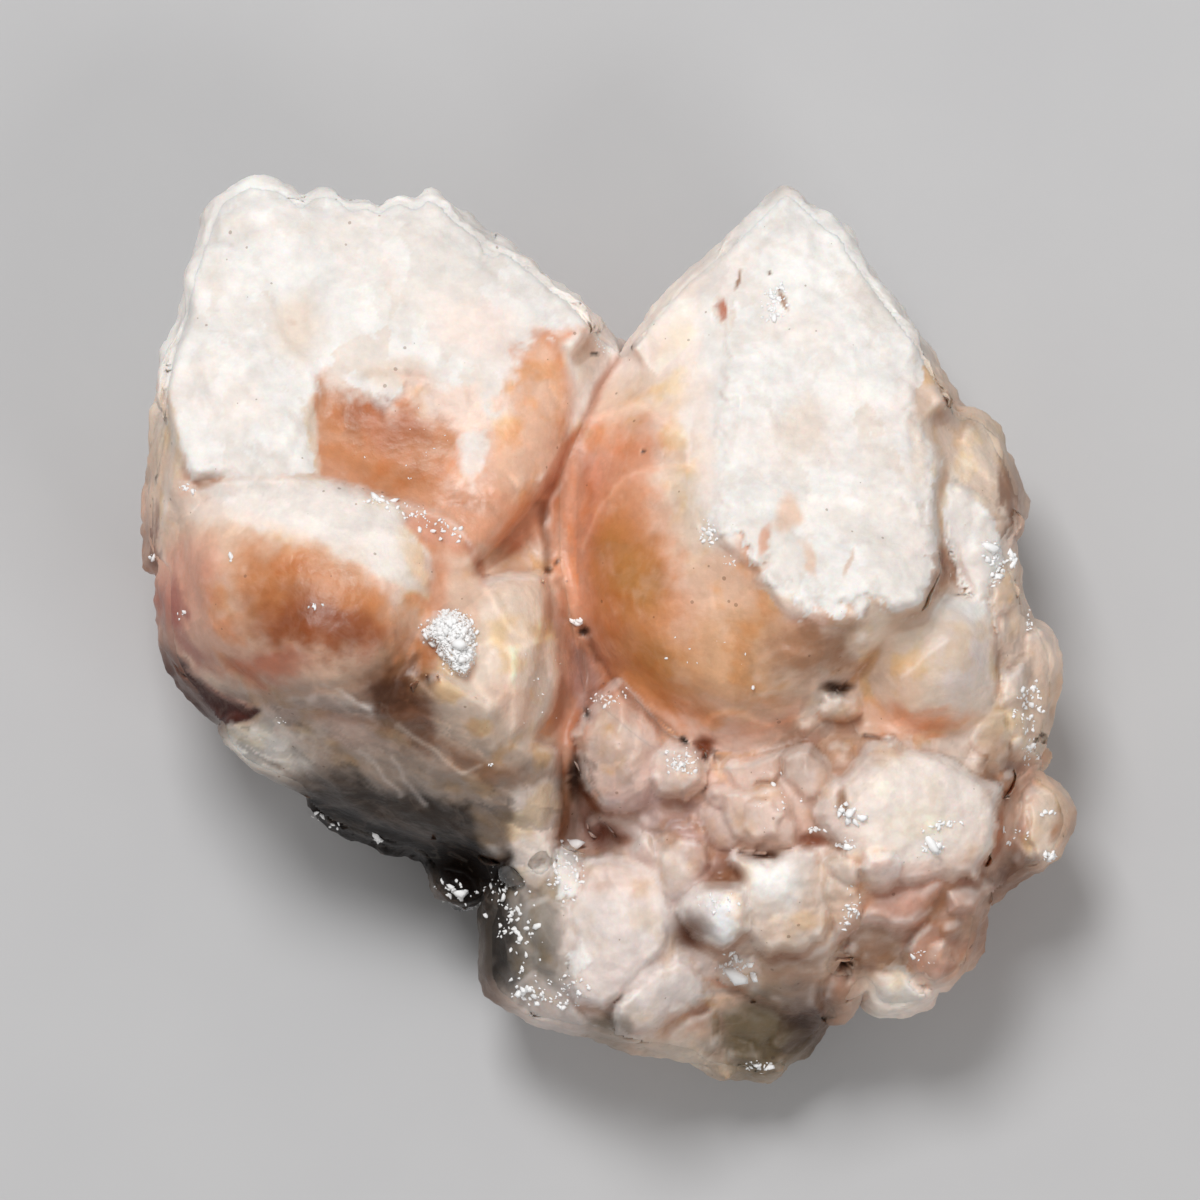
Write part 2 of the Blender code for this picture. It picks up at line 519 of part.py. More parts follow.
def build_right_crystal(cluster):
    """The pointed crystal at the upper right: frosted front, steep left facet and amber lower body."""
    cluster.hull(
        "right_crystal",
        [
            *cluster.on_face(
                RIGHT_FACE,
                [
                    (17.6, 43.4), (15.8, 40.4), (9.0, 23.2), (8.2, 15.0), (10.2, 8.8), (15.4, 4.6),
                    (22.0, 0.8), (30.6, 2.6), (32.0, 9.0), (32.2, 17.0), (30.6, 27.4), (23.8, 38.2),
                ],
                -0.6,
            ),
            (17.8, 44.5, 21), (15.0, 42.0, 21.6), (13.8, 40.0, 22), (8.6, 36.3, 23), (1.6, 28.5, 24),
            (-2.9, 20.6, 27.4), (24.4, 38.0, 20), (28.3, 31.0, 19), (31.0, 28.8, 18), (32.8, 25.6, 18),
            (34.9, 22.4, 18), (34.8, 10.0, 24), (-3.4, 12.0, 30), (-3.2, 5.0, 30.6), (-2.8, 0.5, 30.2),
            (-1.3, -2.6, 30), (0.8, -5.4, 29.8), (3.0, -7.2, 29.6), (6.0, -9.9, 29.6), (9.0, -11.8, 30),
            (13.0, -12.3, 30.6), (17.0, -10.8, 31.4), (20.2, -8.4, 33), (22.4, -5.0, 36),
            (1.6, 14.0, 34.8), (1.6, 6.0, 36.4), (3.4, 0.0, 37.6), (7.0, -4.6, 38.8), (12.0, -7.0, 39.6),
            (16.6, -5.0, 41.4), (4.0, 20.0, 33.8),
            (4.0, 22.0, 6), (12.0, 30.0, 9), (18.0, 36.0, 13), (27.0, 27.0, 8), (31.0, 18.0, 4),
            (0.0, 8.0, BELOW_CUT), (4.0, -6.0, BELOW_CUT), (28.0, 8.0, BELOW_CUT),
            (26.0, -4.0, BELOW_CUT),
        ],
    )
    cluster.sheet(
        "right_frost",
        [
            (17.6, 43.6), (19.6, 41.6), (23.4, 38.6), (24.2, 37.2), (25.0, 34.6), (27.0, 32.2),
            (28.4, 30.6), (30.0, 29.4), (30.4, 27.6), (29.9, 24.4), (30.8, 19.0), (32.2, 17.8),
            (32.4, 16.6), (31.6, 12.4), (32.2, 6.0), (30.6, 2.2), (28.4, 1.8), (26.2, 3.0),
            (24.8, 2.4), (24.6, 1.4), (22.4, 0.8), (21.2, 0.9), (19.4, 1.8), (18.2, 1.4),
            (16.6, 3.0), (15.8, 4.2), (14.6, 4.4), (15.0, 6.0), (13.4, 7.0), (12.4, 8.2),
            (10.2, 9.0), (9.0, 11.0), (8.2, 13.6), (8.0, 15.4), (8.6, 18.0), (8.4, 20.6),
            (9.2, 23.0), (9.0, 26.0), (10.2, 30.2), (10.5, 33.0), (11.6, 36.8), (13.6, 39.6),
            (15.6, 41.8),
        ],
        RIGHT_FACE,
    )
    # Both upper edges and the tip run in short lobes with notches between them
    for number, (inward, outline) in enumerate(
        [
            ((0.7, -0.7), [(1.6, 28.5), (3.0, 30.3), (5.0, 32.8), (7.0, 35.0), (8.6, 36.4), (9.2, 36.4)]),
            ((0.65, -0.75), [(9.3, 36.3), (11.3, 38.4), (13.1, 39.5)]),
            ((0.6, -0.8), [(13.1, 39.4), (13.9, 41.1), (14.2, 41.6), (15.1, 41.3)]),
            ((0.0, -1.0), [(15.2, 41.3), (15.5, 43.0), (17.0, 44.2), (17.8, 44.5), (19.0, 43.8),
            (20.2, 42)]), ((-0.5, -0.85), [(20.2, 41.9), (22.5, 40.4), (23.8, 39.5), (24.5, 38.2),
            (24.2, 37.3)]), ((-0.7, -0.7), [(24.2, 37.2), (25.2, 35.2), (27.0, 32.9)]),
            ((-0.75, -0.65), [(27.0, 32.7), (28.3, 31.2), (29.8, 30.3)]),
            ((-0.8, -0.6), [(29.8, 30.1), (31.0, 28.9), (31.7, 28.0), (32.7, 25.8), (34.2, 23.0)]),
        ]
    ):
        cluster.brow(f"right_brow_{number}", outline, inward, RIGHT_FACE, 21.4 + 0.3 * (number % 3))
    for number, (centre, radii, lift) in enumerate(
        [
            ((17.6, 37.4), (4.0, 5.6), 1.8), ((22.6, 28.6), (6.4, 7.0), 1.9),
            ((14.0, 23.4), (5.2, 7.4), 1.8), ((24.6, 16.6), (7.0, 7.4), 2.0),
            ((15.0, 11.8), (5.6, 5.2), 2.2), ((23.4, 6.0), (7.0, 4.4), 2.3),
        ]
    ):
        cluster.swell(f"right_swell_{number}", centre, radii, lift, RIGHT_FACE)
    cluster.hull(
        "tan_facet",
        [
            (30.4, 27.0, 29.0), (31.2, 21.0, 32.4), (33.0, 16.4, 33.2), (33.4, 11.0, 33.6),
            (34.8, 21.4, 24), (35.6, 16.0, 25), (35.0, 9.0, 27), (30.0, 25.0, 16), (34.0, 12.0, 10),
            (29.0, 12.0, 14),
        ],
    )


def build_right_lumps(cluster):
    """The lumps down the right-hand side, from the tan one to the corner crystal."""
    cluster.hull(
        "tan_lump",
        [
            (34.6, 22.0, 22), (36.2, 22.3, 20), (37.7, 21.2, 19), (39.0, 19.6, 18), (39.9, 17.6, 18),
            (40.8, 15.4, 18), (41.8, 13.0, 18), (41.4, 11.4, 18), (40.6, 9.2, 18), (36.0, 20.0, 26),
            (38.0, 16.0, 27.4), (38.4, 11.0, 27.4), (33.6, 17.0, 30), (33.8, 9.0, 31), (33.0, 20.0, 12),
            (37.0, 16.0, 4), (37.0, 8.0, BELOW_CUT), (28.0, 10.0, BELOW_CUT),
        ],
    )
    cluster.hull(
        "white_strip",
        [
            (33.2, 15.0, 32.6), (35.2, 14.4, 32.6), (38.4, 12.6, 30.4), (39.6, 9.4, 29), (40.6, 6.6, 28),
            (38.6, 2.4, 30), (36.4, 3.2, 32.4), (34.4, 6.6, 33.8), (33.4, 10.6, 34), (34.0, 12.0, 20),
            (39.0, 6.0, 18), (36.0, 3.0, 20),
        ],
    )
    cluster.hull(
        "grey_lump",
        [
            (40.2, 8.4, 20), (40.8, 6.0, 19), (41.2, 4.6, 19), (41.8, 2.4, 18.6), (42.0, 0.6, 18.6),
            (41.0, -2.6, 22), (39.0, -2.0, 29), (38.4, 2.0, 30.4), (38.8, 6.0, 29.4), (40.4, 1.0, 26.4),
            (37.0, 5.0, 6), (38.0, -3.0, 4), (34.0, 2.0, 4),
        ],
    )
    cluster.hull(
        "egg_block",
        [
            (24.5, -7.0, 31), (24.8, -4.2, 32), (27.0, -1.0, 33), (29.6, 1.6, 34), (32.6, 3.4, 34.4),
            (35.0, 3.7, 34), (37.6, 2.4, 32.6), (38.6, -1.0, 31.6), (38.8, -6.0, 30.6), (37.5, -8.6, 30),
            (35.0, -10.4, 30), (31.4, -10.8, 30), (28.0, -10.5, 30), (25.6, -9.2, 30.4),
            (29.2, -4.0, 37.6), (33.0, -1.0, 38.6), (35.2, -1.6, 38), (35.0, -6.0, 36.4),
            (30.0, -8.0, 35.6), (27.0, -6.0, 20), (36.0, 0.0, 20), (36.0, -8.0, 20),
        ],
    )
    cluster.hull(
        "right_block",
        [
            (42.0, 0.6, 21), (43.6, 0.2, 20), (44.4, -1.2, 19.6), (44.9, -2.6, 19), (44.8, -6.0, 18),
            (44.3, -9.4, 17.6), (43.4, -11.4, 17.6), (42.0, -9.0, 24), (42.4, -2.0, 25), (40.0, -4.0, 27),
            (39.4, -9.6, 26), (41.0, 0.0, 10), (42.0, -9.0, 6), (36.0, -6.0, 4),
        ],
    )
    cluster.hull(
        "right_crumble",
        [
            (39.6, -3.6, 29.6), (41.0, -3.8, 28.4), (40.8, -7.0, 28), (39.0, -7.0, 29.4),
            (38.0, -12.0, 27.6), (41.0, -12.6, 23), (42.8, -13.4, 18), (43.4, -11.0, 17),
            (36.0, -12.0, 29), (37.0, -8.8, 30), (40.0, -12.0, 6), (36.0, -6.0, 10), (38.0, -16.0, 22),
        ],
    )
    cluster.hull(
        "corner_crystal",
        [
            (42.4, -13.8, 17.6), (45.0, -15.2, 16), (46.0, -17.0, 15.4), (46.7, -19.0, 15),
            (46.2, -20.6, 15), (45.2, -22.2, 15), (43.0, -24.2, 15), (41.4, -16.4, 22),
            (44.4, -16.6, 20.6), (45.0, -20.0, 20), (42.0, -23.0, 21), (41.0, -20.0, 23),
            (40.0, -14.0, 6), (42.0, -20.0, 4), (37.0, -16.0, 6), (38.0, -23.0, 8),
        ],
    )
    cluster.hull(
        "corner_foot",
        [
            (43.0, -24.0, 14), (40.6, -25.6, 13), (38.0, -27.2, 13), (37.6, -22.0, 18),
            (41.4, -20.8, 20.6), (42.6, -22.8, 18.6), (38.6, -18.0, 20), (36.0, -24.0, 4),
            (40.0, -20.0, 4), (40.4, -16.8, 19),
        ],
    )


def build_lower_right(cluster):
    """The white-topped block, the pink block under it and the lobes along the lower edge."""
    cluster.hull(
        "white_top_block",
        [
            (24.8, -12.8, 33), (26.2, -11.9, 33.6), (28.4, -11.4, 34), (32.0, -12.3, 33.4),
            (35.0, -13.7, 32), (37.9, -16.5, 29.4), (37.6, -21.8, 28), (36.6, -24.0, 27),
            (33.0, -24.8, 28.6), (27.0, -24.8, 31), (23.8, -24.2, 31.6), (21.2, -21.6, 32.4),
            (20.8, -17.6, 33), (23.0, -14.8, 33), (26.6, -15.0, 37.4), (31.6, -15.6, 36.4),
            (32.6, -20.4, 35), (26.4, -21.0, 36.6), (23.6, -18.6, 36.6),
            (24.0, -16.0, 16), (36.0, -18.0, 10), (32.0, -24.0, 10), (24.0, -22.0, 12),
        ],
    )
    cluster.hull(
        "rose_block",
        [
            (24.6, -25.2, 31.0), (29.4, -24.8, 31.6), (31.6, -22.8, 31.8), (33.6, -22.0, 31.4),
            (34.2, -25.2, 29.6), (31.6, -28.8, 28.2), (29.0, -29.0, 28.6), (24.7, -29.0, 29.4),
            (24.0, -33.0, 23.0), (28.0, -33.4, 22.6), (29.6, -31.0, 24), (25.0, -26.0, 8),
            (31.0, -26.0, 6), (27.0, -32.0, 4),
        ],
    )
    cluster.hull(
        "pink_block",
        [
            (33.4, -24.2, 29.4), (36.9, -24.8, 26), (37.5, -26.4, 24), (37.5, -28.0, 22),
            (37.0, -29.6, 20), (36.9, -32.0, 18), (36.2, -33.2, 17.4), (35.0, -35.0, 16),
            (31.6, -28.8, 29), (35.0, -28.0, 26.4), (34.4, -31.0, 24.4), (31.0, -31.0, 25.4),
            (29.6, -33.6, 21), (33.0, -27.0, 4), (30.0, -32.0, 2), (34.0, -31.0, 6),
        ],
    )
    cluster.hull(
        "pink_prism",
        [
            (29.8, -31.6, 25.4), (32.0, -31.0, 26.0), (34.4, -31.4, 25.0), (35.0, -33.0, 22),
            (34.4, -35.4, 18.6), (32.6, -36.2, 17.4), (31.6, -35.4, 19), (29.6, -34.0, 22.4),
            (32.2, -33.4, 25.4), (31.0, -32.0, 10), (33.4, -34.4, 8),
        ],
    )
    cluster.hull(
        "almond_crystal",
        [
            (25.2, -34.2, 21.4), (28.8, -33.8, 22.2), (30.4, -35.0, 21.4), (32.4, -36.6, 18),
            (31.8, -37.8, 16), (29.4, -38.6, 15), (26.8, -38.4, 15), (25.4, -36.8, 16.4),
            (27.6, -36.2, 21.6), (27.0, -34.8, 8), (30.0, -36.0, 8),
        ],
    )
    cluster.hull(
        "beige_block",
        [
            (12.2, -22.6, 33), (13.4, -22.4, 34), (16.0, -23.2, 34.4), (19.0, -21.6, 34),
            (21.8, -22.8, 33.6), (22.4, -26.6, 32.6), (22.6, -30.6, 29.6), (21.0, -33.0, 27.6),
            (16.0, -31.4, 30), (12.4, -31.0, 29.6), (12.6, -26.0, 33.6), (13.4, -35.2, 22),
            (15.0, -36.6, 20), (18.4, -38.0, 18), (21.4, -37.4, 18), (22.4, -34.0, 22),
            (14.0, -24.0, 8), (20.0, -26.0, 6), (20.0, -35.0, 4), (14.0, -33.0, 6),
        ],
    )
    cluster.hull(
        "narrow_block",
        [
            (21.4, -22.6, 34.4), (24.4, -22.0, 35.0), (25.0, -26.0, 33.2), (25.0, -29.4, 31),
            (22.6, -30.8, 30),
            (21.4, -27.4, 32.6), (22.0, -24.0, 18), (24.6, -26.0, 16), (23.0, -30.0, 16),
        ],
    )
    cluster.hull(
        "white_dome",
        [
            (21.8, -23.4, 34.6), (22.8, -22.4, 36.0), (25.0, -22.0, 36.6), (28.6, -22.6, 36.0),
            (28.4, -24.6, 34.4), (25.4, -25.4, 34.2), (22.6, -25.0, 34.0), (24.0, -24.0, 28),
            (27.0, -24.0, 28),
        ],
    )
    for name, centre, radii in (
        ("upper_lobe", (23.2, -35.2, 19.6), (2.2, 2.2, 3.4)),
        ("lower_lobe", (23.0, -37.6, 16.4), (1.8, 1.9, 2.8)),
        ("edge_lobe", (31.6, -36.6, 15.0), (1.4, 1.2, 2.4)),
        ("beige_lobe", (19.6, -36.2, 19.0), (2.6, 2.2, 2.6)),
        ("flecked_knob", (12.8, -34.0, 23.6), (2.4, 2.0, 2.6)),
    ):
        cluster.knob(name, centre, radii, root=RUBBLE_ROOT)


def build_rubble(cluster):
    """The small crystals and balls between the two big crystals and the lower blocks."""
    cluster.knob("pink_ball", (0.7, -11.8, 30.6), (4.1, 5.2, 5.4), 10, 0.05, True, RUBBLE_ROOT)
    cluster.knob("frosted_ball", (6.9, -13.9, 33.0), (2.7, 2.6, 2.8), 20, 0.06, True, RUBBLE_ROOT)
    cluster.knob("mauve_shelf", (3.6, -17.6, 26.4), (5.0, 3.6, 4.0), 0, 0.06, True, RUBBLE_ROOT)
    cluster.knob("hollow_knob", (-1.4, -19.2, 22.0), (1.4, 1.5, 1.6), root=RUBBLE_ROOT)
    cluster.knob("small_white_ball", (22.6, -7.6, 34.4), (2.1, 1.5, 1.5), 5, 0.05, root=RUBBLE_ROOT)
    cluster.hull(
        "pale_wedge",
        [
            (1.9, -22.7, 28.6), (2.4, -21.0, 29.4), (3.3, -19.9, 30), (4.2, -20.6, 31.6),
            (4.7, -23.3, 31.4), (3.0, -22.0, 22), (4.4, -22.6, 22),
        ],
    )
    cluster.hull(
        "grey_pink_wedge",
        [
            (4.7, -20.4, 31.6), (7.0, -19.0, 32.4), (9.4, -19.4, 32.4), (10.6, -22.0, 31.4),
            (10.2, -24.2, 30.4), (8.6, -26.0, 30), (6.4, -27.0, 30), (5.4, -26.6, 29.6),
            (4.7, -23.0, 31.2), (6.0, -22.0, 18), (9.0, -23.0, 18), (6.0, -26.0, 18),
        ],
    )
    cluster.hull(
        "white_pointer",
        [
            (7.0, -27.5, 32.0), (7.4, -26.6, 32.8), (8.3, -25.9, 33.8), (10.2, -25.6, 34.8),
            (12.6, -26.0, 35.2), (13.6, -27.6, 35.4), (13.2, -29.6, 34.2), (11.2, -30.9, 33.0),
            (9.0, -30.1, 32.6), (7.6, -28.8, 31.8), (11.0, -28.0, 36.0), (10.0, -28.0, 28.6),
            (14.0, -28.0, 26.0),
        ],
    )
    cluster.hull(
        "tan_ball",
        [
            (8.9, -16.0, 32.0), (9.6, -15.2, 33.2), (11.0, -15.0, 34.2), (12.2, -15.8, 34.6),
            (12.8, -17.0, 33.8), (12.0, -18.2, 32.6), (10.0, -17.8, 31.6), (10.4, -16.4, 34.8),
            (10.4, -16.6, 24),
        ],
    )
    cluster.hull(
        "pale_block",
        [
            (11.1, -14.0, 32.6), (11.8, -12.8, 33.4), (13.6, -12.9, 34.4), (15.2, -12.4, 34.8),
            (17.0, -12.1, 35.0), (17.0, -14.6, 35.6), (16.4, -15.6, 34.8), (14.4, -16.2, 34.6),
            (12.6, -15.8, 33.6), (13.0, -14.0, 24), (16.4, -14.0, 24), (14.2, -14.0, 35.8),
        ],
    )
    cluster.hull(
        "broad_pink_block",
        [
            (9.4, -18.6, 31.0), (11.0, -17.4, 33.0), (13.0, -16.8, 34.4), (16.4, -15.4, 35.4),
            (18.0, -16.8, 35.6), (18.6, -19.0, 35.2), (18.4, -21.4, 34.2), (16.6, -22.0, 33.6),
            (13.6, -21.8, 33.2), (11.0, -21.6, 32.4), (9.4, -20.6, 31.4), (14.8, -18.6, 36.2),
            (12.0, -19.0, 22), (17.0, -19.0, 22),
        ],
    )
    cluster.hull(
        "white_triangle",
        [
            (17.0, -12.1, 34.6), (19.0, -11.7, 35.0), (20.6, -12.0, 35.2), (21.0, -13.6, 36.4),
            (21.9, -14.6, 36.6), (22.2, -16.2, 36.2), (20.6, -17.2, 35.4), (19.0, -16.6, 35.4),
            (17.6, -15.4, 35.4), (16.9, -14.4, 35.2), (19.0, -14.0, 37.0), (19.0, -14.0, 24),
        ],
    )
    cluster.hull(
        "tan_chip",
        [
            (21.5, -11.2, 34.0), (23.6, -10.9, 34.6), (24.6, -11.6, 34.2), (24.3, -13.6, 34.4),
            (23.0, -14.6, 34.6), (21.8, -14.8, 34.2), (21.2, -13.4, 34.0), (23.0, -12.6, 35.6),
            (23.0, -12.6, 26),
        ],
    )
    # The smallest crystals: place, edge length, stretch along the axis and turn in degrees
    for number, (x, y, z, size, stretch, turn) in enumerate(
        [
            (19.6, -9.9, 32.8, 1.9, 1.0, (20, 30, 10)), (21.4, -9.8, 32.4, 1.6, 1.1, (50, 10, 40)),
            (18.0, -10.8, 31.4, 1.6, 1.0, (10, 60, 20)), (24.8, -9.8, 31.0, 1.6, 1.2, (30, 20, 70)),
            (9.2, -12.9, 30.0, 1.8, 1.0, (60, 15, 15)),
            (-0.8, -6.9, 30.4, 2.0, 1.0, (40, 10, 60)), (7.4, -17.6, 30.2, 2.1, 1.0, (12, 25, 80)),
            (6.4, -19.6, 31.2, 1.7, 1.0, (70, 30, 10)), (8.4, -18.4, 31.6, 1.6, 0.9, (25, 60, 30)),
            (10.2, -24.8, 27.6, 1.9, 1.1, (30, 30, 30)), (12.2, -24.2, 28.6, 1.8, 1.0, (50, 50, 10)),
            (19.4, -22.4, 33.2, 1.4, 1.0, (10, 10, 45)), (20.6, -20.6, 32.4, 1.6, 1.0, (45, 20, 20)),
            (19.8, -19.0, 33.0, 1.4, 0.9, (30, 60, 60)), (22.4, -21.0, 34.2, 1.5, 1.0, (65, 35, 15)),
            (14.4, -22.6, 31.2, 1.6, 1.2, (20, 20, 20)), (17.2, -22.6, 31.6, 1.5, 1.0, (55, 5, 35)),
            (11.4, -32.2, 26.0, 1.9, 1.0, (15, 45, 55)), (9.0, -33.0, 24.6, 2.0, 1.0, (35, 25, 5)),
            (6.6, -29.6, 28.0, 2.0, 1.0, (60, 60, 20)), (13.8, -35.6, 21.6, 1.7, 1.1, (25, 35, 65)),
            (26.6, -10.9, 31.6, 1.6, 1.0, (40, 40, 40)), (31.0, -11.6, 31.2, 1.7, 1.0, (10, 55, 25)),
            (36.4, -13.2, 29.4, 2.0, 1.0, (50, 25, 5)), (38.8, -14.8, 26.6, 2.2, 1.0, (20, 30, 70)),
            (40.2, -10.8, 26.4, 2.1, 1.1, (30, 50, 50)), (42.2, -6.4, 24.4, 2.2, 1.0, (15, 15, 30)),
            (39.6, 3.4, 29.4, 2.0, 1.2, (45, 45, 10)), (38.8, 10.6, 28.6, 2.2, 1.1, (25, 10, 60)),
            (36.4, 7.4, 32.4, 2.1, 1.0, (60, 20, 35)), (32.6, 5.0, 34.6, 1.8, 1.1, (35, 65, 15)),
            (33.8, -29.2, 27.4, 2.2, 1.1, (20, 40, 20)), (25.6, -27.0, 31.0, 1.8, 1.0, (50, 30, 55)),
            (26.0, -33.6, 21.8, 2.0, 1.0, (30, 15, 15)), (20.4, -30.2, 30.2, 2.0, 1.0, (10, 35, 45)),
            (24.0, -31.6, 27.4, 1.9, 1.1, (40, 55, 5)), (36.6, -22.6, 28.0, 2.2, 1.0, (55, 10, 30)),
            (-3.8, -23.6, 26.6, 2.6, 1.0, (15, 20, 65)), (-5.4, -27.0, 26.8, 3.0, 0.9, (35, 45, 25)),
            (-8.8, -31.0, 21.8, 3.2, 1.0, (60, 25, 40)), (-6.6, -36.2, 20.0, 3.2, 1.0, (20, 55, 20)),
            (-10.6, -33.8, 18.4, 2.8, 1.1, (45, 15, 60)),
        ]
    ):
        cluster.rhomb(f"rubble_{number}", (x, y, z - size * 0.45), size, stretch, turn, RUBBLE_ROOT)


def build_flank_crystals(cluster):
    """Crystals that stick out low on the sides, which only a view from the side shows."""
    for number, (foot, tip, girth) in enumerate(
        [
            ((-34, 12, 8), (-43, 18, 13), 4.6), ((-36, 2, 8), (-42.6, 1, 9), 5.0),
            ((-32, 24, 8), (-37.6, 32, 12), 5.0), ((-20, 26, 6), (-22, 35, 10), 5.6),
            ((-8, 22, 6), (-6, 29, 10), 5.0), ((2, 18, 6), (1.6, 25, 9), 4.6),
            ((14, 20, 6), (14, 31, 9), 5.6), ((26, 18, 6), (29.6, 25.6, 9), 5.0),
            ((32, 10, 7), (38.4, 14, 8), 4.8), ((36, -2, 6), (43, 0, 8), 5.0),
            ((37, -12, 6), (43.6, -14, 6.4), 5.0), ((33, -24, 6), (38.6, -27, 6.6), 4.6),
            ((26, -30, 5), (30.6, -35.6, 7), 4.6), ((6, -34, 5), (5, -40.4, 7), 4.8),
            ((-6, -32, 6), (-11.6, -34.6, 8), 4.8), ((-10, -22, 6), (-16, -23.8, 8), 4.6),
            ((-22, -14, 7), (-26.4, -18.6, 9), 4.8), ((-30, -8, 8), (-35.6, -12, 12), 4.8),
        ]
    ):
        cluster.tooth(f"flank_tooth_{number}", foot, tip, girth, 25 * number)
        cluster.rhomb(
            f"flank_rhomb_{number}",
            [foot[i] * 0.35 + tip[i] * 0.65 + (0, 0, 3.4)[i] for i in range(3)],
            girth * 0.75,
            1.0,
            (40 * number, 25, 70 * number),
        )


def fuse(cluster):
    """Joins all blocks into one solid and cuts it off flat at the height of the cut."""
    first = cluster.blocks.objects["left_core"]
    cluster.blocks.objects.unlink(first)
    bpy.context.scene.collection.objects.link(first)
    first.name = "calcite_cluster"
    first.hide_render = False
    first.display_type = "TEXTURED"

    join = first.modifiers.new("grown_together", "BOOLEAN")
    join.operation = "UNION"
    join.operand_type = "COLLECTION"
    join.solver = "EXACT"
    join.collection = cluster.blocks

    shape = bmesh.new()
    bmesh.ops.create_cube(shape, size=1.0)
    bmesh.ops.scale(shape, vec=Vector((GROUND_SIDE, GROUND_SIDE, HEIGHT_LIMIT)) * MM, verts=shape.verts)
    bmesh.ops.translate(shape, vec=(0.0, 0.0, -HEIGHT_LIMIT * MM / 2.0), verts=shape.verts)
    mesh = bpy.data.meshes.new("ground")
    shape.to_mesh(mesh)
    shape.free()
    ground = bpy.data.objects.new("ground", mesh)
    ground.hide_render = True
    ground.display_type = "WIRE"
    bpy.context.scene.collection.objects.link(ground)

    cut = first.modifiers.new("flat_cut", "BOOLEAN")
    cut.operation = "DIFFERENCE"
    cut.solver = "EXACT"
    cut.object = ground
    return first


def main():
    clear_scene()
    cluster = Cluster()
    build_cores(cluster)
    build_left_crystal(cluster)
    build_hump(cluster)
    build_peach_blocks(cluster)
    build_smoky_slope(cluster)
    build_bottom_lump(cluster)
    build_right_crystal(cluster)
    build_right_lumps(cluster)
    build_lower_right(cluster)
    build_rubble(cluster)
    build_flank_crystals(cluster)
    solid = fuse(cluster)
    solid.data.materials.append(calcite_material("frosted_calcite", (0.80, 0.62, 0.52), 0.45))


main()
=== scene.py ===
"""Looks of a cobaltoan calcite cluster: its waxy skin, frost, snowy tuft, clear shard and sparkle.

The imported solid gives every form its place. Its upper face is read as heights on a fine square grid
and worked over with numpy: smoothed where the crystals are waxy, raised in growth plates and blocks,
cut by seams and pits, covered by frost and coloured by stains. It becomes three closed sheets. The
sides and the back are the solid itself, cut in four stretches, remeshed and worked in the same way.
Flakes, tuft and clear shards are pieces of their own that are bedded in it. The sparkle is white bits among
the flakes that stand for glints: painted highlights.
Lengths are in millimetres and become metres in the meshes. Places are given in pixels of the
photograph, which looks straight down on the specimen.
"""

import logging
import math
from dataclasses import dataclass, field
from enum import Enum

import bmesh
import bpy
import numpy as np
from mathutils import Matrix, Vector


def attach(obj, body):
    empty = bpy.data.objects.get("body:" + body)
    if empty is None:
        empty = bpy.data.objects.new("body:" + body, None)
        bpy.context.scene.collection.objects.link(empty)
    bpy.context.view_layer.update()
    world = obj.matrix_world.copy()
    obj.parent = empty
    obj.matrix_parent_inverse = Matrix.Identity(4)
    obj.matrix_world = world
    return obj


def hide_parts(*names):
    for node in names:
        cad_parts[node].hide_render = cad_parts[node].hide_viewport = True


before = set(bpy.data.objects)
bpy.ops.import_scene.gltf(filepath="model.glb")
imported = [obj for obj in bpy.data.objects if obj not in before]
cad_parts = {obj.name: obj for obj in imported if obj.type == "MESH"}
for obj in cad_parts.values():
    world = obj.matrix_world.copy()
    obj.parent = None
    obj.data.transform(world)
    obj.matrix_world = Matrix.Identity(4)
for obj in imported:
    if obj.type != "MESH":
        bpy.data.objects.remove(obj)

LOG = logging.getLogger("calcite")
MM = 0.001
NODE = "calcite_cluster"
BODY = "root"

# The photograph's scale, and the pixel that lies over the frame's origin
PIXELS_PER_MM = 10.0
ORIGIN_PIXEL = (610.0, 630.0)
MIDDLE_PIXEL = (600.0, 600.0)
PHOTO_SIDE = 1200.0

Path = list[tuple[float, float]]


def to_pixels(points: np.ndarray) -> np.ndarray:
    """Gives the photograph's pixel over each point.

    Args:
        points: places in millimetres, one row each, X and Y first.

    Returns:
        Pixel coordinates, one row of two for each point.
    """
    across = ORIGIN_PIXEL[0] + points[:, 0] * PIXELS_PER_MM
    down = ORIGIN_PIXEL[1] - points[:, 1] * PIXELS_PER_MM
    return np.stack([across, down], axis=1)


def to_millimetres(path: Path) -> np.ndarray:
    """Gives the place in the frame under each pixel of a path.

    Args:
        path: pixels of the photograph.

    Returns:
        X and Y in millimetres, one row for each pixel.
    """
    pixels = np.array(path, dtype=float)
    x = (pixels[:, 0] - ORIGIN_PIXEL[0]) / PIXELS_PER_MM
    y = (ORIGIN_PIXEL[1] - pixels[:, 1]) / PIXELS_PER_MM
    return np.stack([x, y], axis=1)


def ramp(values: np.ndarray, low: float, high: float) -> np.ndarray:
    """Rises smoothly from 0 at low to 1 at high, as three t squared less two t cubed.

    Args:
        values: any numbers.
        low: where the rise starts.
        high: where it ends.

    Returns:
        Numbers from 0 to 1.
    """
    t = np.clip((values - low) / (high - low), 0.0, 1.0)
    return t * t * (3.0 - 2.0 * t)


def linear(colour: tuple[int, int, int]) -> tuple[float, float, float]:
    """Turns a screen colour of 0 to 255 into light, by the usual power curve.

    Args:
        colour: red, green and blue as a screen shows them.

    Returns:
        The same colour as amounts of light, 0 to 1.
    """
    shares = [part / 255.0 for part in colour]
    return tuple(s / 12.92 if s <= 0.04045 else ((s + 0.055) / 1.055) ** 2.4 for s in shares)


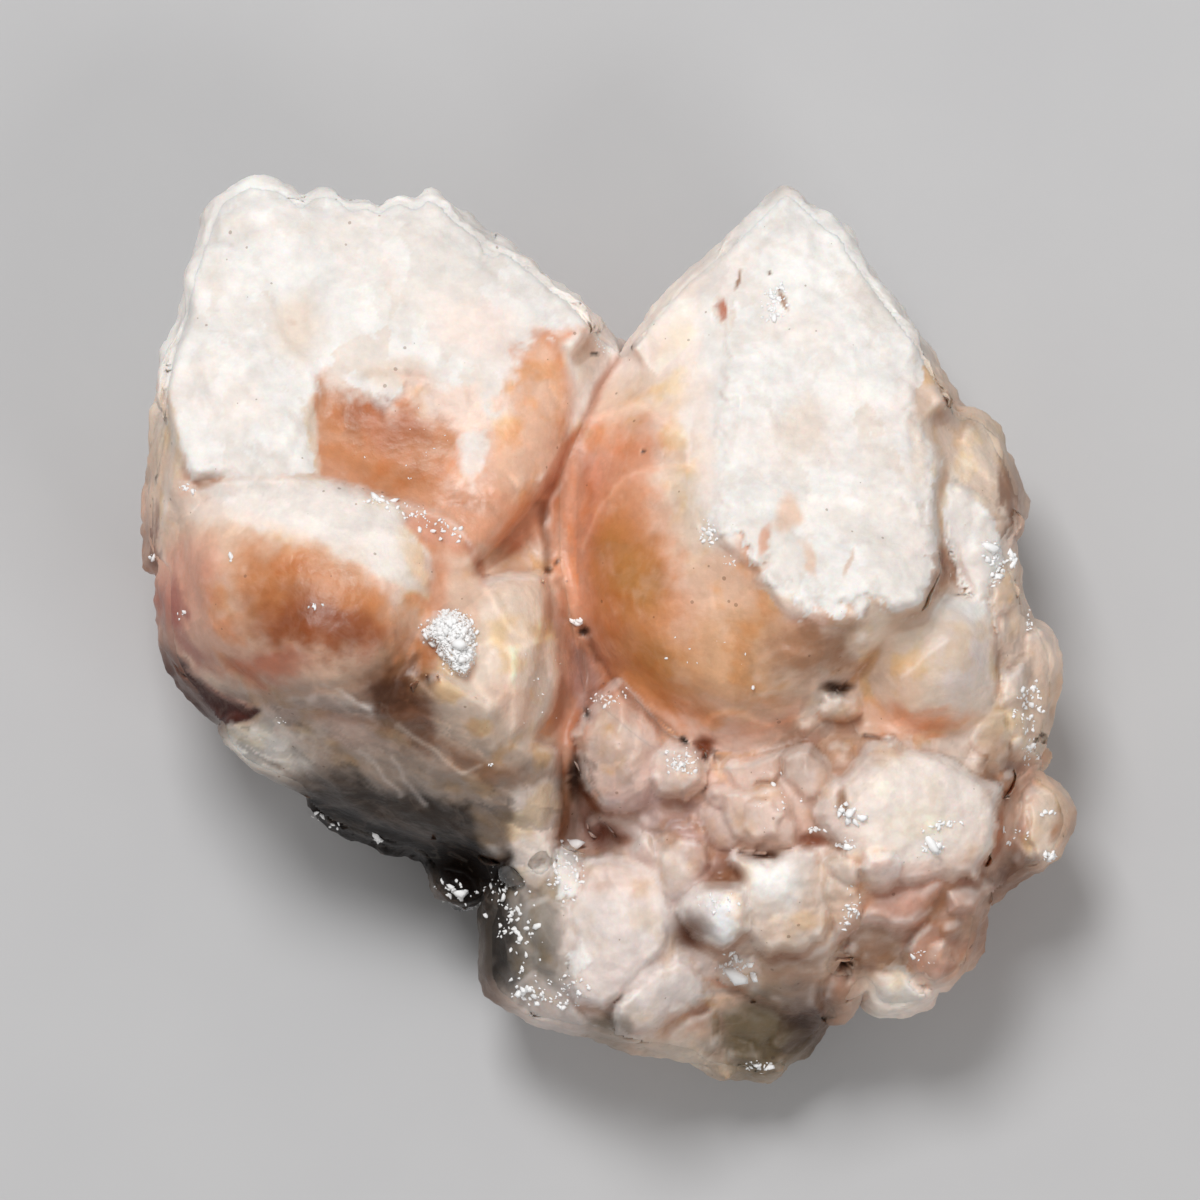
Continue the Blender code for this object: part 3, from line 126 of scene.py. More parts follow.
def scrambled(cells: np.ndarray, seed: int) -> np.ndarray:
    """Gives each whole-number cell its own fixed random number, by mixing its three numbers' bits.

    Args:
        cells: whole numbers, three to a row.
        seed: picks one of many such fields.

    Returns:
        A number from 0 to 1 for each row.
    """
    mixed = (cells.astype(np.int64) & 0xFFFFFFFF).astype(np.uint32)
    bits = mixed[:, 0] * np.uint32(0x9E3779B1)
    bits ^= mixed[:, 1] * np.uint32(0x85EBCA77)
    bits ^= mixed[:, 2] * np.uint32(0xC2B2AE3D)
    bits ^= np.uint32((seed * 0x27D4EB2F) & 0xFFFFFFFF)
    for shift, factor in ((15, 0x2C1B3C6D), (12, 0x297A2D39)):
        bits ^= bits >> np.uint32(shift)
        bits *= np.uint32(factor)
    bits ^= bits >> np.uint32(15)
    return bits.astype(np.float64) / 4294967295.0


@dataclass(frozen=True)
class Noise:
    """A smooth random field in space, from -1 to 1, of one or more octaves.

    Attributes:
        size: millimetres from one swell to the next.
        octaves: how many ever finer layers are added, each half as strong.
        seed: picks one of many such fields.
    """

    size: float
    octaves: int = 1
    seed: int = 0

    def layer(self, points: np.ndarray, size: float, seed: int) -> np.ndarray:
        """One octave: random numbers at the corners of a grid of cubes, blended smoothly inside.

        Args:
            points: places in millimetres, three to a row.
            size: side of a cube.
            seed: picks the random numbers.

        Returns:
            A number from -1 to 1 for each point.
        """
        scaled = points / size
        cells = np.floor(scaled)
        inside = scaled - cells
        blend = inside * inside * inside * (inside * (inside * 6.0 - 15.0) + 10.0)
        total = np.zeros(len(points))
        for corner in range(8):
            offset = np.array([corner & 1, corner >> 1 & 1, corner >> 2 & 1])
            share = np.prod(np.where(offset == 1, blend, 1.0 - blend), axis=1)
            total += share * scrambled(cells + offset, seed)
        return total * 2.0 - 1.0

    def at(self, points: np.ndarray) -> np.ndarray:
        """The sum of the octaves, scaled back to -1 to 1.

        Args:
            points: places in millimetres, three to a row.

        Returns:
            A number for each point.
        """
        total, strength, whole = np.zeros(len(points)), 1.0, 0.0
        for octave in range(self.octaves):
            total += strength * self.layer(points, self.size / 2.0**octave, self.seed + 31 * octave)
            whole += strength
            strength *= 0.5
        return total / whole * 1.6


def strayed(points: np.ndarray, size: float, octaves: int, seed: int) -> np.ndarray:
    """Two noises side by side, which shift an outline's pixels so that its edge strays.

    Args:
        points: places in millimetres, three to a row.
        size: millimetres from one swell to the next.
        octaves: how many layers the noises have.
        seed: the first noise's; the second takes the next.

    Returns:
        Numbers from -1 to 1, two to a row.
    """
    return np.stack([Noise(size, octaves, seed + step).at(points) for step in (0, 1)], axis=1)


@dataclass(frozen=True)
class Crystallites:
    """Little crystals grown into each other: the upper envelope of many turned blunt pyramids.

    Attributes:
        size: millimetres from one crystal to the next.
        seed: picks the scatter.
        steep: how fast a crystal's height falls off from its middle.
        stretch: how much longer than wide they are along X, Y and Z.
    """

    size: float
    seed: int
    steep: float = 1.0
    stretch: tuple[float, float, float] = (1.0, 1.0, 1.0)

    def at(self, points: np.ndarray) -> tuple[np.ndarray, np.ndarray]:
        """Takes the highest of the pyramids that stand in the 27 cubes round each point.

        A pyramid's height is its own level less its steepness times the largest of the three
        distances along its own turned axes.

        Args:
            points: places in millimetres, three to a row.

        Returns:
            The height at each point, about -1 to 1, and a fixed random number of the crystal there.
        """
        scaled = points / (self.size * np.array(self.stretch))
        home = np.floor(scaled)
        height = np.full(len(points), -1e9)
        shade = np.zeros(len(points))
        for step in range(27):
            cell = home + np.array([step % 3 - 1, step // 3 % 3 - 1, step // 9 - 1])
            place = np.stack([scrambled(cell, self.seed + k) for k in range(3)], axis=1)
            away = scaled - (cell + place)
            turn = scrambled(cell, self.seed + 3) * 1.6
            lean = scrambled(cell, self.seed + 4) * 1.4 - 0.7
            along = away[:, 0] * np.cos(turn) + away[:, 1] * np.sin(turn)
            side = away[:, 1] * np.cos(turn) - away[:, 0] * np.sin(turn)
            upright = side * np.sin(lean) + away[:, 2] * np.cos(lean)
            across = side * np.cos(lean) - away[:, 2] * np.sin(lean)
            reach = np.maximum(np.maximum(np.abs(along), np.abs(across)), np.abs(upright))
            level = scrambled(cell, self.seed + 5) - self.steep * reach * 1.8
            higher = level > height
            height = np.where(higher, level, height)
            shade = np.where(higher, scrambled(cell, self.seed + 6), shade)
        return np.clip(height, -1.5, 1.0), shade


def distance_to_path(pixels: np.ndarray, path: Path, closed: bool) -> np.ndarray:
    """Distance from each pixel to the nearest stretch of a path, by projecting on each stretch.

    Args:
        pixels: pixel coordinates, two to a row.
        path: the path's corners.
        closed: whether the last corner joins the first.

    Returns:
        Distances in pixels.
    """
    corners = np.array(path, dtype=float)
    ends = np.roll(corners, -1, axis=0) if closed else corners[1:]
    starts = corners if closed else corners[:-1]
    best = np.full(len(pixels), 1e9)
    for start, end in zip(starts, ends):
        along = end - start
        share = np.clip(((pixels - start) @ along) / max(along @ along, 1e-9), 0.0, 1.0)
        away = pixels - (start + share[:, None] * along)
        best = np.minimum(best, np.sqrt((away * away).sum(axis=1)))
    return best


def depth_inside(pixels: np.ndarray, outline: Path) -> np.ndarray:
    """Distance to a closed outline, positive inside, by counting the sides that a ray crosses.

    Args:
        pixels: pixel coordinates, two to a row.
        outline: the outline's corners.

    Returns:
        Distances in pixels, negative outside.
    """
    corners = np.array(outline, dtype=float)
    inside = np.zeros(len(pixels), dtype=bool)
    for start, end in zip(corners, np.roll(corners, -1, axis=0)):
        crosses = (start[1] > pixels[:, 1]) != (end[1] > pixels[:, 1])
        rise = end[1] - start[1] if end[1] != start[1] else 1e-9
        reach = start[0] + (pixels[:, 1] - start[1]) / rise * (end[0] - start[0])
        inside ^= crosses & (pixels[:, 0] < reach)
    return np.where(inside, 1.0, -1.0) * distance_to_path(pixels, outline, True)


class Tone(Enum):
    """The calcite's colours, as a screen shows them."""

    FROST = (238, 234, 230)
    SNOW = (254, 254, 254)
    GREY_FROST = (228, 220, 213)
    BEIGE_FROST = (230, 214, 200)
    PINK_FROST = (244, 228, 219)
    CREAM = (230, 210, 194)
    PALE_PEACH = (230, 198, 176)
    PEACH = (216, 160, 130)
    SALMON = (208, 146, 116)
    RUST = (180, 104, 74)
    AMBER = (198, 130, 80)
    DEEP_AMBER = (148, 78, 34)
    OLIVE_AMBER = (190, 132, 72)
    BODY_TAN = (206, 164, 128)
    ROSE = (220, 158, 134)
    MAUVE = (164, 96, 86)
    DARK_RED = (64, 20, 14)
    SLIVER = (136, 90, 72)
    TAN = (218, 194, 178)
    BROWN_TAN = (160, 116, 86)
    BROWN = (112, 70, 44)
    DEEP_BROWN = (76, 44, 26)
    DARK_BROWN = (50, 26, 16)
    SMOKY_PINK = (176, 150, 138)
    SMOKY = (146, 128, 116)
    SMOKY_LIGHT = (222, 208, 200)
    SMOKY_DARK = (54, 44, 38)
    DARK_GREY = (48, 42, 38)
    INK = (22, 16, 14)
    RUBBLE = (222, 194, 182)
    RUBBLE_MAUVE = (188, 154, 148)
    HOLLOW_MAUVE = (150, 110, 100)
    DOME = (226, 212, 207)
    DOME_GREY = (158, 148, 138)
    OLIVE = (112, 94, 66)
    OLIVE_LIGHT = (150, 132, 104)
    ROSE_BLOCK = (202, 154, 136)

    @property
    def light(self) -> np.ndarray:
        """The colour as amounts of light."""
        return np.array(linear(self.value))


@dataclass(frozen=True)
class Stain:
    """A soft-edged oval of colour in the skin.

    Attributes:
        name: what it colours.
        centre: its middle, in pixels.
        radii: its half width and half height, in pixels.
        tone: its colour.
        strength: how much of the old colour it covers in its middle, 0 to 1.
        turn: degrees that it is turned, clockwise as the photograph shows it.
        fade: share of the radius over which it fades out.
    """

    name: str
    centre: tuple[float, float]
    radii: tuple[float, float]
    tone: Tone
    strength: float = 0.9
    turn: float = 0.0
    fade: float = 0.7

    def cover(self, pixels: np.ndarray) -> np.ndarray:
        """How much of the stain lies on each pixel: full inside, fading to nothing at the rim.

        Args:
            pixels: pixel coordinates, two to a row.

        Returns:
            Shares from 0 to the strength.
        """
        angle = math.radians(self.turn)
        away = pixels - np.array(self.centre)
        along = away[:, 0] * math.cos(angle) + away[:, 1] * math.sin(angle)
        across = away[:, 1] * math.cos(angle) - away[:, 0] * math.sin(angle)
        reach = np.sqrt((along / self.radii[0]) ** 2 + (across / self.radii[1]) ** 2)
        return self.strength * (1.0 - ramp(reach, 1.0 - self.fade, 1.0 + 0.3 * self.fade))


@dataclass(frozen=True)
class Field:
    """A coloured area with an outline of its own.

    Attributes:
        name: what it colours.
        outline: its corners, in pixels.
        tone: its colour.
        strength: how much of the old colour it covers, 0 to 1.
        fade: pixels over which its border fades.
        drift: pixels that its border strays.
    """

    name: str
    outline: Path
    tone: Tone
    strength: float = 0.95
    fade: float = 8.0
    drift: float = 4.0

    def cover(self, pixels: np.ndarray) -> np.ndarray:
        """How much of the area lies on each pixel, from its depth inside the outline.

        Args:
            pixels: pixel coordinates, two to a row.

        Returns:
            Shares from 0 to the strength.
        """
        return self.strength * ramp(depth_inside(pixels, self.outline), -self.fade, self.fade)


@dataclass(frozen=True)
class Plate:
    """A growth plate: an area that stands a little higher than what is round it.

    Attributes:
        name: which plate it is.
        outline: its corners, in pixels.
        rise: its height in millimetres; a hollow's is negative.
        bank: pixels over which its side slopes.
        lift_tone: how much its edge is lightened, 0 to 1.
    """

    name: str
    outline: Path
    rise: float
    bank: float = 4.0
    lift_tone: float = 0.25


@dataclass(frozen=True)
class Seam:
    """A line in the skin: a crack, the foot of a crystal, or a raised growth edge.

    Attributes:
        name: which line it is.
        path: its corners, in pixels.
        rise: its height in millimetres; a crack's is negative.
        width: its half width in pixels.
        tone: its colour; along the valley and slit seams, its browns are painted shade in the recess.
        strength: how much of the old colour it covers, 0 to 1.
    """

    name: str
    path: Path
    rise: float
    width: float
    tone: Tone
    strength: float = 0.6

    def cover(self, pixels: np.ndarray) -> np.ndarray:
        """How near the line each pixel is: a bell curve over the distance to it.

        Args:
            pixels: pixel coordinates, two to a row.

        Returns:
            Shares from 0 to 1.
        """
        return np.exp(-((distance_to_path(pixels, self.path, False) / self.width) ** 2))


@dataclass(frozen=True)
class Pit:
    """A small round hollow.

    Attributes:
        name: which hollow it is.
        centre: its middle, in pixels.
        radii: its half width and half height, in pixels.
        depth: its depth in millimetres.
        tone: the colour of its floor; the browns and blacks are painted shade in the hollow.
    """

    name: str
    centre: tuple[float, float]
    radii: tuple[float, float]
    depth: float
    tone: Tone

    def cover(self, pixels: np.ndarray) -> np.ndarray:
        """How deep in the hollow each pixel is: a flat-floored bell.

        Args:
            pixels: pixel coordinates, two to a row.

        Returns:
            Shares from 0 to 1.
        """
        away = (pixels - np.array(self.centre)) / np.array(self.radii)
        return np.exp(-1.4 * (away * away).sum(axis=1) ** 1.5)


@dataclass(frozen=True)
class Surface:
    """The character of the skin inside an outline.

    Attributes:
        name: what grew there.
        outline: its corners, in pixels.
        waxy: how far its facets are melted together, 0 to 1.
        crumbly: how much it is broken into small facets, 0 to 1.
        undulation: how much it swells and dips, in millimetres.
    """

    name: str
    outline: Path
    waxy: float
    crumbly: float
    undulation: float


SURFACES = [
    Surface("left crystal's face", [(300, 350), (560, 330), (600, 400), (550, 470), (430, 500),
        (310, 480)], 0.9, 0.04, 0.22),
    Surface("left crystal's frost", [(175, 240), (290, 215), (430, 225), (560, 300), (540, 350),
        (180, 470)], 0.1, 0.14, 0.25),
    Surface("hump", [(168, 500), (300, 488), (400, 512), (450, 550), (455, 640), (430, 720), (300, 690),
        (175, 660)], 0.95, 0.0, 0.3),
    Surface("peach blocks", [(430, 520), (560, 490), (590, 640), (570, 770), (440, 730)], 0.5, 0.0, 0.2),
    Surface("smoky slope", [(200, 680), (300, 690), (440, 730), (575, 770), (575, 850), (430, 850),
        (320, 810), (215, 760)], 0.6, 0.12, 0.4),
    Surface("amber body", [(600, 430), (700, 400), (700, 530), (790, 610), (850, 625), (850, 680),
        (750, 765), (640, 715), (575, 625), (570, 450)], 0.95, 0.0, 0.3),
    Surface("right crystal's left facet", [(600, 400), (640, 330), (700, 250), (724, 270), (712, 420),
        (640, 420)], 0.9, 0.05, 0.2),
    Surface("right crystal's faces", [(640, 350), (750, 250), (850, 260), (940, 420), (930, 600),
        (790, 600), (700, 500), (610, 420)], 0.35, 0.0, 0.25),
    Surface("egg block", [(870, 610), (985, 600), (990, 735), (870, 735)], 0.9, 0.0, 0.25),
    Surface("frosted dome", [(570, 860), (660, 850), (680, 950), (580, 1000)], 0.8, 0.15, 0.35),
]
OPEN_SURFACE = Surface("rubble and sides", [], 0.1, 0.8, 0.3)


PLATES = [
    Plate("amber step under the frost", [(364, 400), (383, 420), (412, 398), (425, 380), (380, 372),
        (352, 380)], -0.3, 5.0, 0.22),
    Plate("upper growth ledge of the amber body", [(575, 420), (640, 405), (690, 440), (690, 468),
        (648, 475), (625, 482), (602, 510), (582, 548), (566, 540)], 0.35, 5.0, 0.14),
    Plate("inner ledge of the hump", [(318, 684), (355, 698), (384, 722), (350, 742), (310, 712)], 0.35,
        6.0, 0.16),
    Plate("middle smoky plate", [(300, 712), (380, 722), (440, 748), (482, 782), (440, 792), (395, 762),
        (330, 742)], 0.4, 6.0, 0.14),
    Plate("lower smoky plate", [(300, 750), (360, 762), (404, 800), (425, 812), (380, 826), (315, 800)],
        0.35, 6.0, 0.12),
    Plate("upper peach plate", [(484, 577), (495, 571), (507, 573), (530, 575), (545, 573), (549, 600),
        (542, 624), (536, 640), (512, 634), (494, 610)], 0.24, 3.5, 0.20),
    Plate("outer peach plate", [(512, 648), (541, 638), (555, 630), (560, 668), (556, 708), (542, 732),
        (527, 748), (508, 742), (512, 700)], 0.24, 3.5, 0.20),
    Plate("pale v facet", [(470, 652), (492, 640), (516, 648), (519, 670), (508, 690), (500, 702),
        (486, 692), (474, 676)], 0.24, 3.5, 0.20),
    Plate("foot lobe of the amber body", [(705, 717), (722, 712), (746, 711), (764, 721), (780, 731),
        (771, 748), (745, 760), (721, 755), (707, 741)], 0.5, 5.0, 0.18),
    Plate("pale lobe of the amber body", [(754, 662), (778, 645), (811, 654), (816, 685), (808, 714),
        (782, 723), (761, 698)], 0.35, 7.0, 0.10),
]

SEAMS = [
    Seam("crack between the crystals", [(626, 345), (598, 392), (580, 428), (560, 470), (546, 500),
        (542, 522)], -0.35, 5.5, Tone.RUST, 0.45),
    # The browns along the valley, the amber body's dark foot and the slits under the egg and the pink block
    # are painted shade in those recesses.
    Seam("floor of the valley", [(540, 505), (546, 540), (552, 566)], -0.5, 5.0, Tone.BROWN, 0.55),
    Seam("valley below the plates", [(560, 580), (568, 620), (582, 642), (590, 700), (588, 715)], -0.4,
        4.0, Tone.BROWN_TAN, 0.35),
    Seam("dark foot of the amber body", [(584, 628), (597, 655), (618, 685), (640, 705), (662, 728),
        (684, 744)], -0.4, 4.5, Tone.BROWN, 0.5),
    Seam("slit under the egg", [(861, 734), (876, 740), (890, 739)], -0.6, 3.0, Tone.BROWN, 0.7),
    Seam("slit under the pink block", [(741, 851), (756, 853), (772, 855)], -0.6, 2.6, Tone.BROWN, 0.7),
    Seam("shade under the ledge", [(470, 545), (484, 570), (488, 582)], -0.3, 4.0, Tone.RUST, 0.45),
    Seam("edge of the right facet", [(556, 336), (566, 362), (571, 395), (566, 420), (557, 450),
        (547, 478)], 0.09, 2.2, Tone.PALE_PEACH, 0.34),
    Seam("rim of the hump", [(186, 485), (240, 481), (300, 481), (335, 483), (365, 491), (398, 507),
        (408, 520)], 0.09, 2.2, Tone.FROST, 0.34),
    Seam("rim of the ledge", [(360, 506), (380, 501), (402, 508), (425, 511), (450, 521), (466, 535),
        (472, 545)], 0.09, 2.2, Tone.PINK_FROST, 0.34),
    Seam("left rim of the hump", [(170, 508), (166, 530), (166, 555), (169, 580)], 0.09, 2.2,
        Tone.PINK_FROST, 0.34),
    Seam("edge over the dark facet", [(164, 640), (180, 655), (195, 671), (222, 693), (252, 705)], 0.09,
        2.2, Tone.ROSE, 0.34),
    Seam("streak in the brown", [(412, 672), (422, 683), (434, 693)], 0.09, 2.2, Tone.PALE_PEACH, 0.34),
    Seam("upper smoky edge", [(328, 682), (345, 688), (356, 699), (370, 708), (382, 722)], 0.09, 2.2,
        Tone.SMOKY_LIGHT, 0.34),
    Seam("long smoky edge", [(400, 725), (420, 738), (440, 750), (450, 762), (462, 770), (482, 764)],
        0.09, 2.2, Tone.CREAM, 0.34),
    Seam("curl of the smoky edge", [(360, 748), (374, 758), (384, 774), (402, 794)], 0.09, 2.2,
        Tone.SMOKY_LIGHT, 0.34),
    Seam("second curl", [(395, 755), (404, 770), (413, 790), (426, 802)], 0.09, 2.2, Tone.SMOKY_LIGHT,
        0.34),
    Seam("left smoky streak", [(232, 722), (242, 727), (251, 734)], 0.09, 2.2, Tone.SMOKY_LIGHT, 0.34),
    Seam("ridge of the egg", [(898, 678), (912, 664), (926, 652), (942, 638)], 0.09, 2.2, Tone.PINK_FROST,
        0.34),
    Seam("growth line of the amber body", [(648, 474), (632, 477), (616, 487), (602, 508), (590, 530),
        (580, 552)], 0.05, 2.2, Tone.PALE_PEACH, 0.2),
    Seam("lower left rim", [(218, 738), (240, 768), (270, 777), (298, 783)], 0.09, 2.2, Tone.SMOKY_LIGHT,
        0.34),
    Seam("bright rim of the right block", [(1044, 630), (1056, 648), (1057, 676)], 0.09, 2.2, Tone.FROST,
        0.34),
    Seam("rim of the corner crystal", [(1056, 784), (1068, 796), (1074, 816), (1068, 838)], 0.09, 2.2,
        Tone.CREAM, 0.34),
    Seam("rim of the almond", [(866, 1008), (884, 1015), (904, 1014), (924, 1004)], 0.09, 2.2, Tone.CREAM,
        0.34),
    Seam("edge of the dark facet's end", [(868, 918), (890, 922), (914, 918), (930, 905)], 0.09, 2.2,
        Tone.PINK_FROST, 0.34),
    Seam("shade between hump and slope", [(255, 700), (300, 690), (360, 682), (420, 660)], -0.25, 6.0,
        Tone.BROWN_TAN, 0.3),
]

# The browns and blacks on the floors of these hollows and gaps are painted shade.
PITS = [
    Pit("valley pit", (551, 567), (4, 4), 0.5, Tone.BROWN),
    Pit("second valley pit", (559, 562), (2.5, 2.5), 0.3, Tone.BROWN),
    Pit("dark hollow by the amber", (585, 631), (6, 4), 0.5, Tone.DARK_BROWN),
    Pit("black hollow over the ball", (587, 712), (5, 5), 1.2, Tone.INK),
    Pit("pinprick on the left facet", (595, 355), (2.5, 2.5), 0.5, Tone.INK),
    Pit("pinprick on the amber", (641, 453), (2.5, 2.5), 0.5, Tone.INK),
    Pit("pit by the ball", (683, 741), (5, 4), 1.0, Tone.INK),
    Pit("second pit by the ball", (706, 758), (3, 3), 0.8, Tone.INK),
    Pit("amber pit", (704, 748), (12, 12), 1.0, Tone.DEEP_AMBER),
    Pit("orange pit", (811, 838), (14, 8), 0.8, Tone.DEEP_AMBER),
    Pit("tan hollow", (726, 875), (18, 12), 0.9, Tone.BROWN_TAN),
    Pit("hollow under the pointer", (690, 932), (20, 22), 1.2, Tone.BROWN),
    Pit("mauve hollow", (602, 832), (28, 20), 0.7, Tone.HOLLOW_MAUVE),
    Pit("dark valley by the ball", (576, 775), (8, 28), 1.0, Tone.DARK_BROWN),
    Pit("pit beside the small ball", (836, 686), (17, 7), 1.2, Tone.DARK_BROWN),
    Pit("apex streak", (717, 312), (4, 14), 0.3, Tone.RUST),
    Pit("gap under the pink block", (762, 853), (20, 4), 0.5, Tone.BROWN),
    Pit("gap beside the grey facet", (716, 882), (16, 5), 0.5, Tone.BROWN_TAN),
    Pit("gap below the ball", (584, 788), (6, 16), 0.4, Tone.BROWN),
    Pit("gap by the brown foot", (846, 966), (4, 20), 0.5, Tone.BROWN),
    Pit("gap over the rose facet", (838, 800), (5, 18), 0.4, Tone.BROWN_TAN),
]

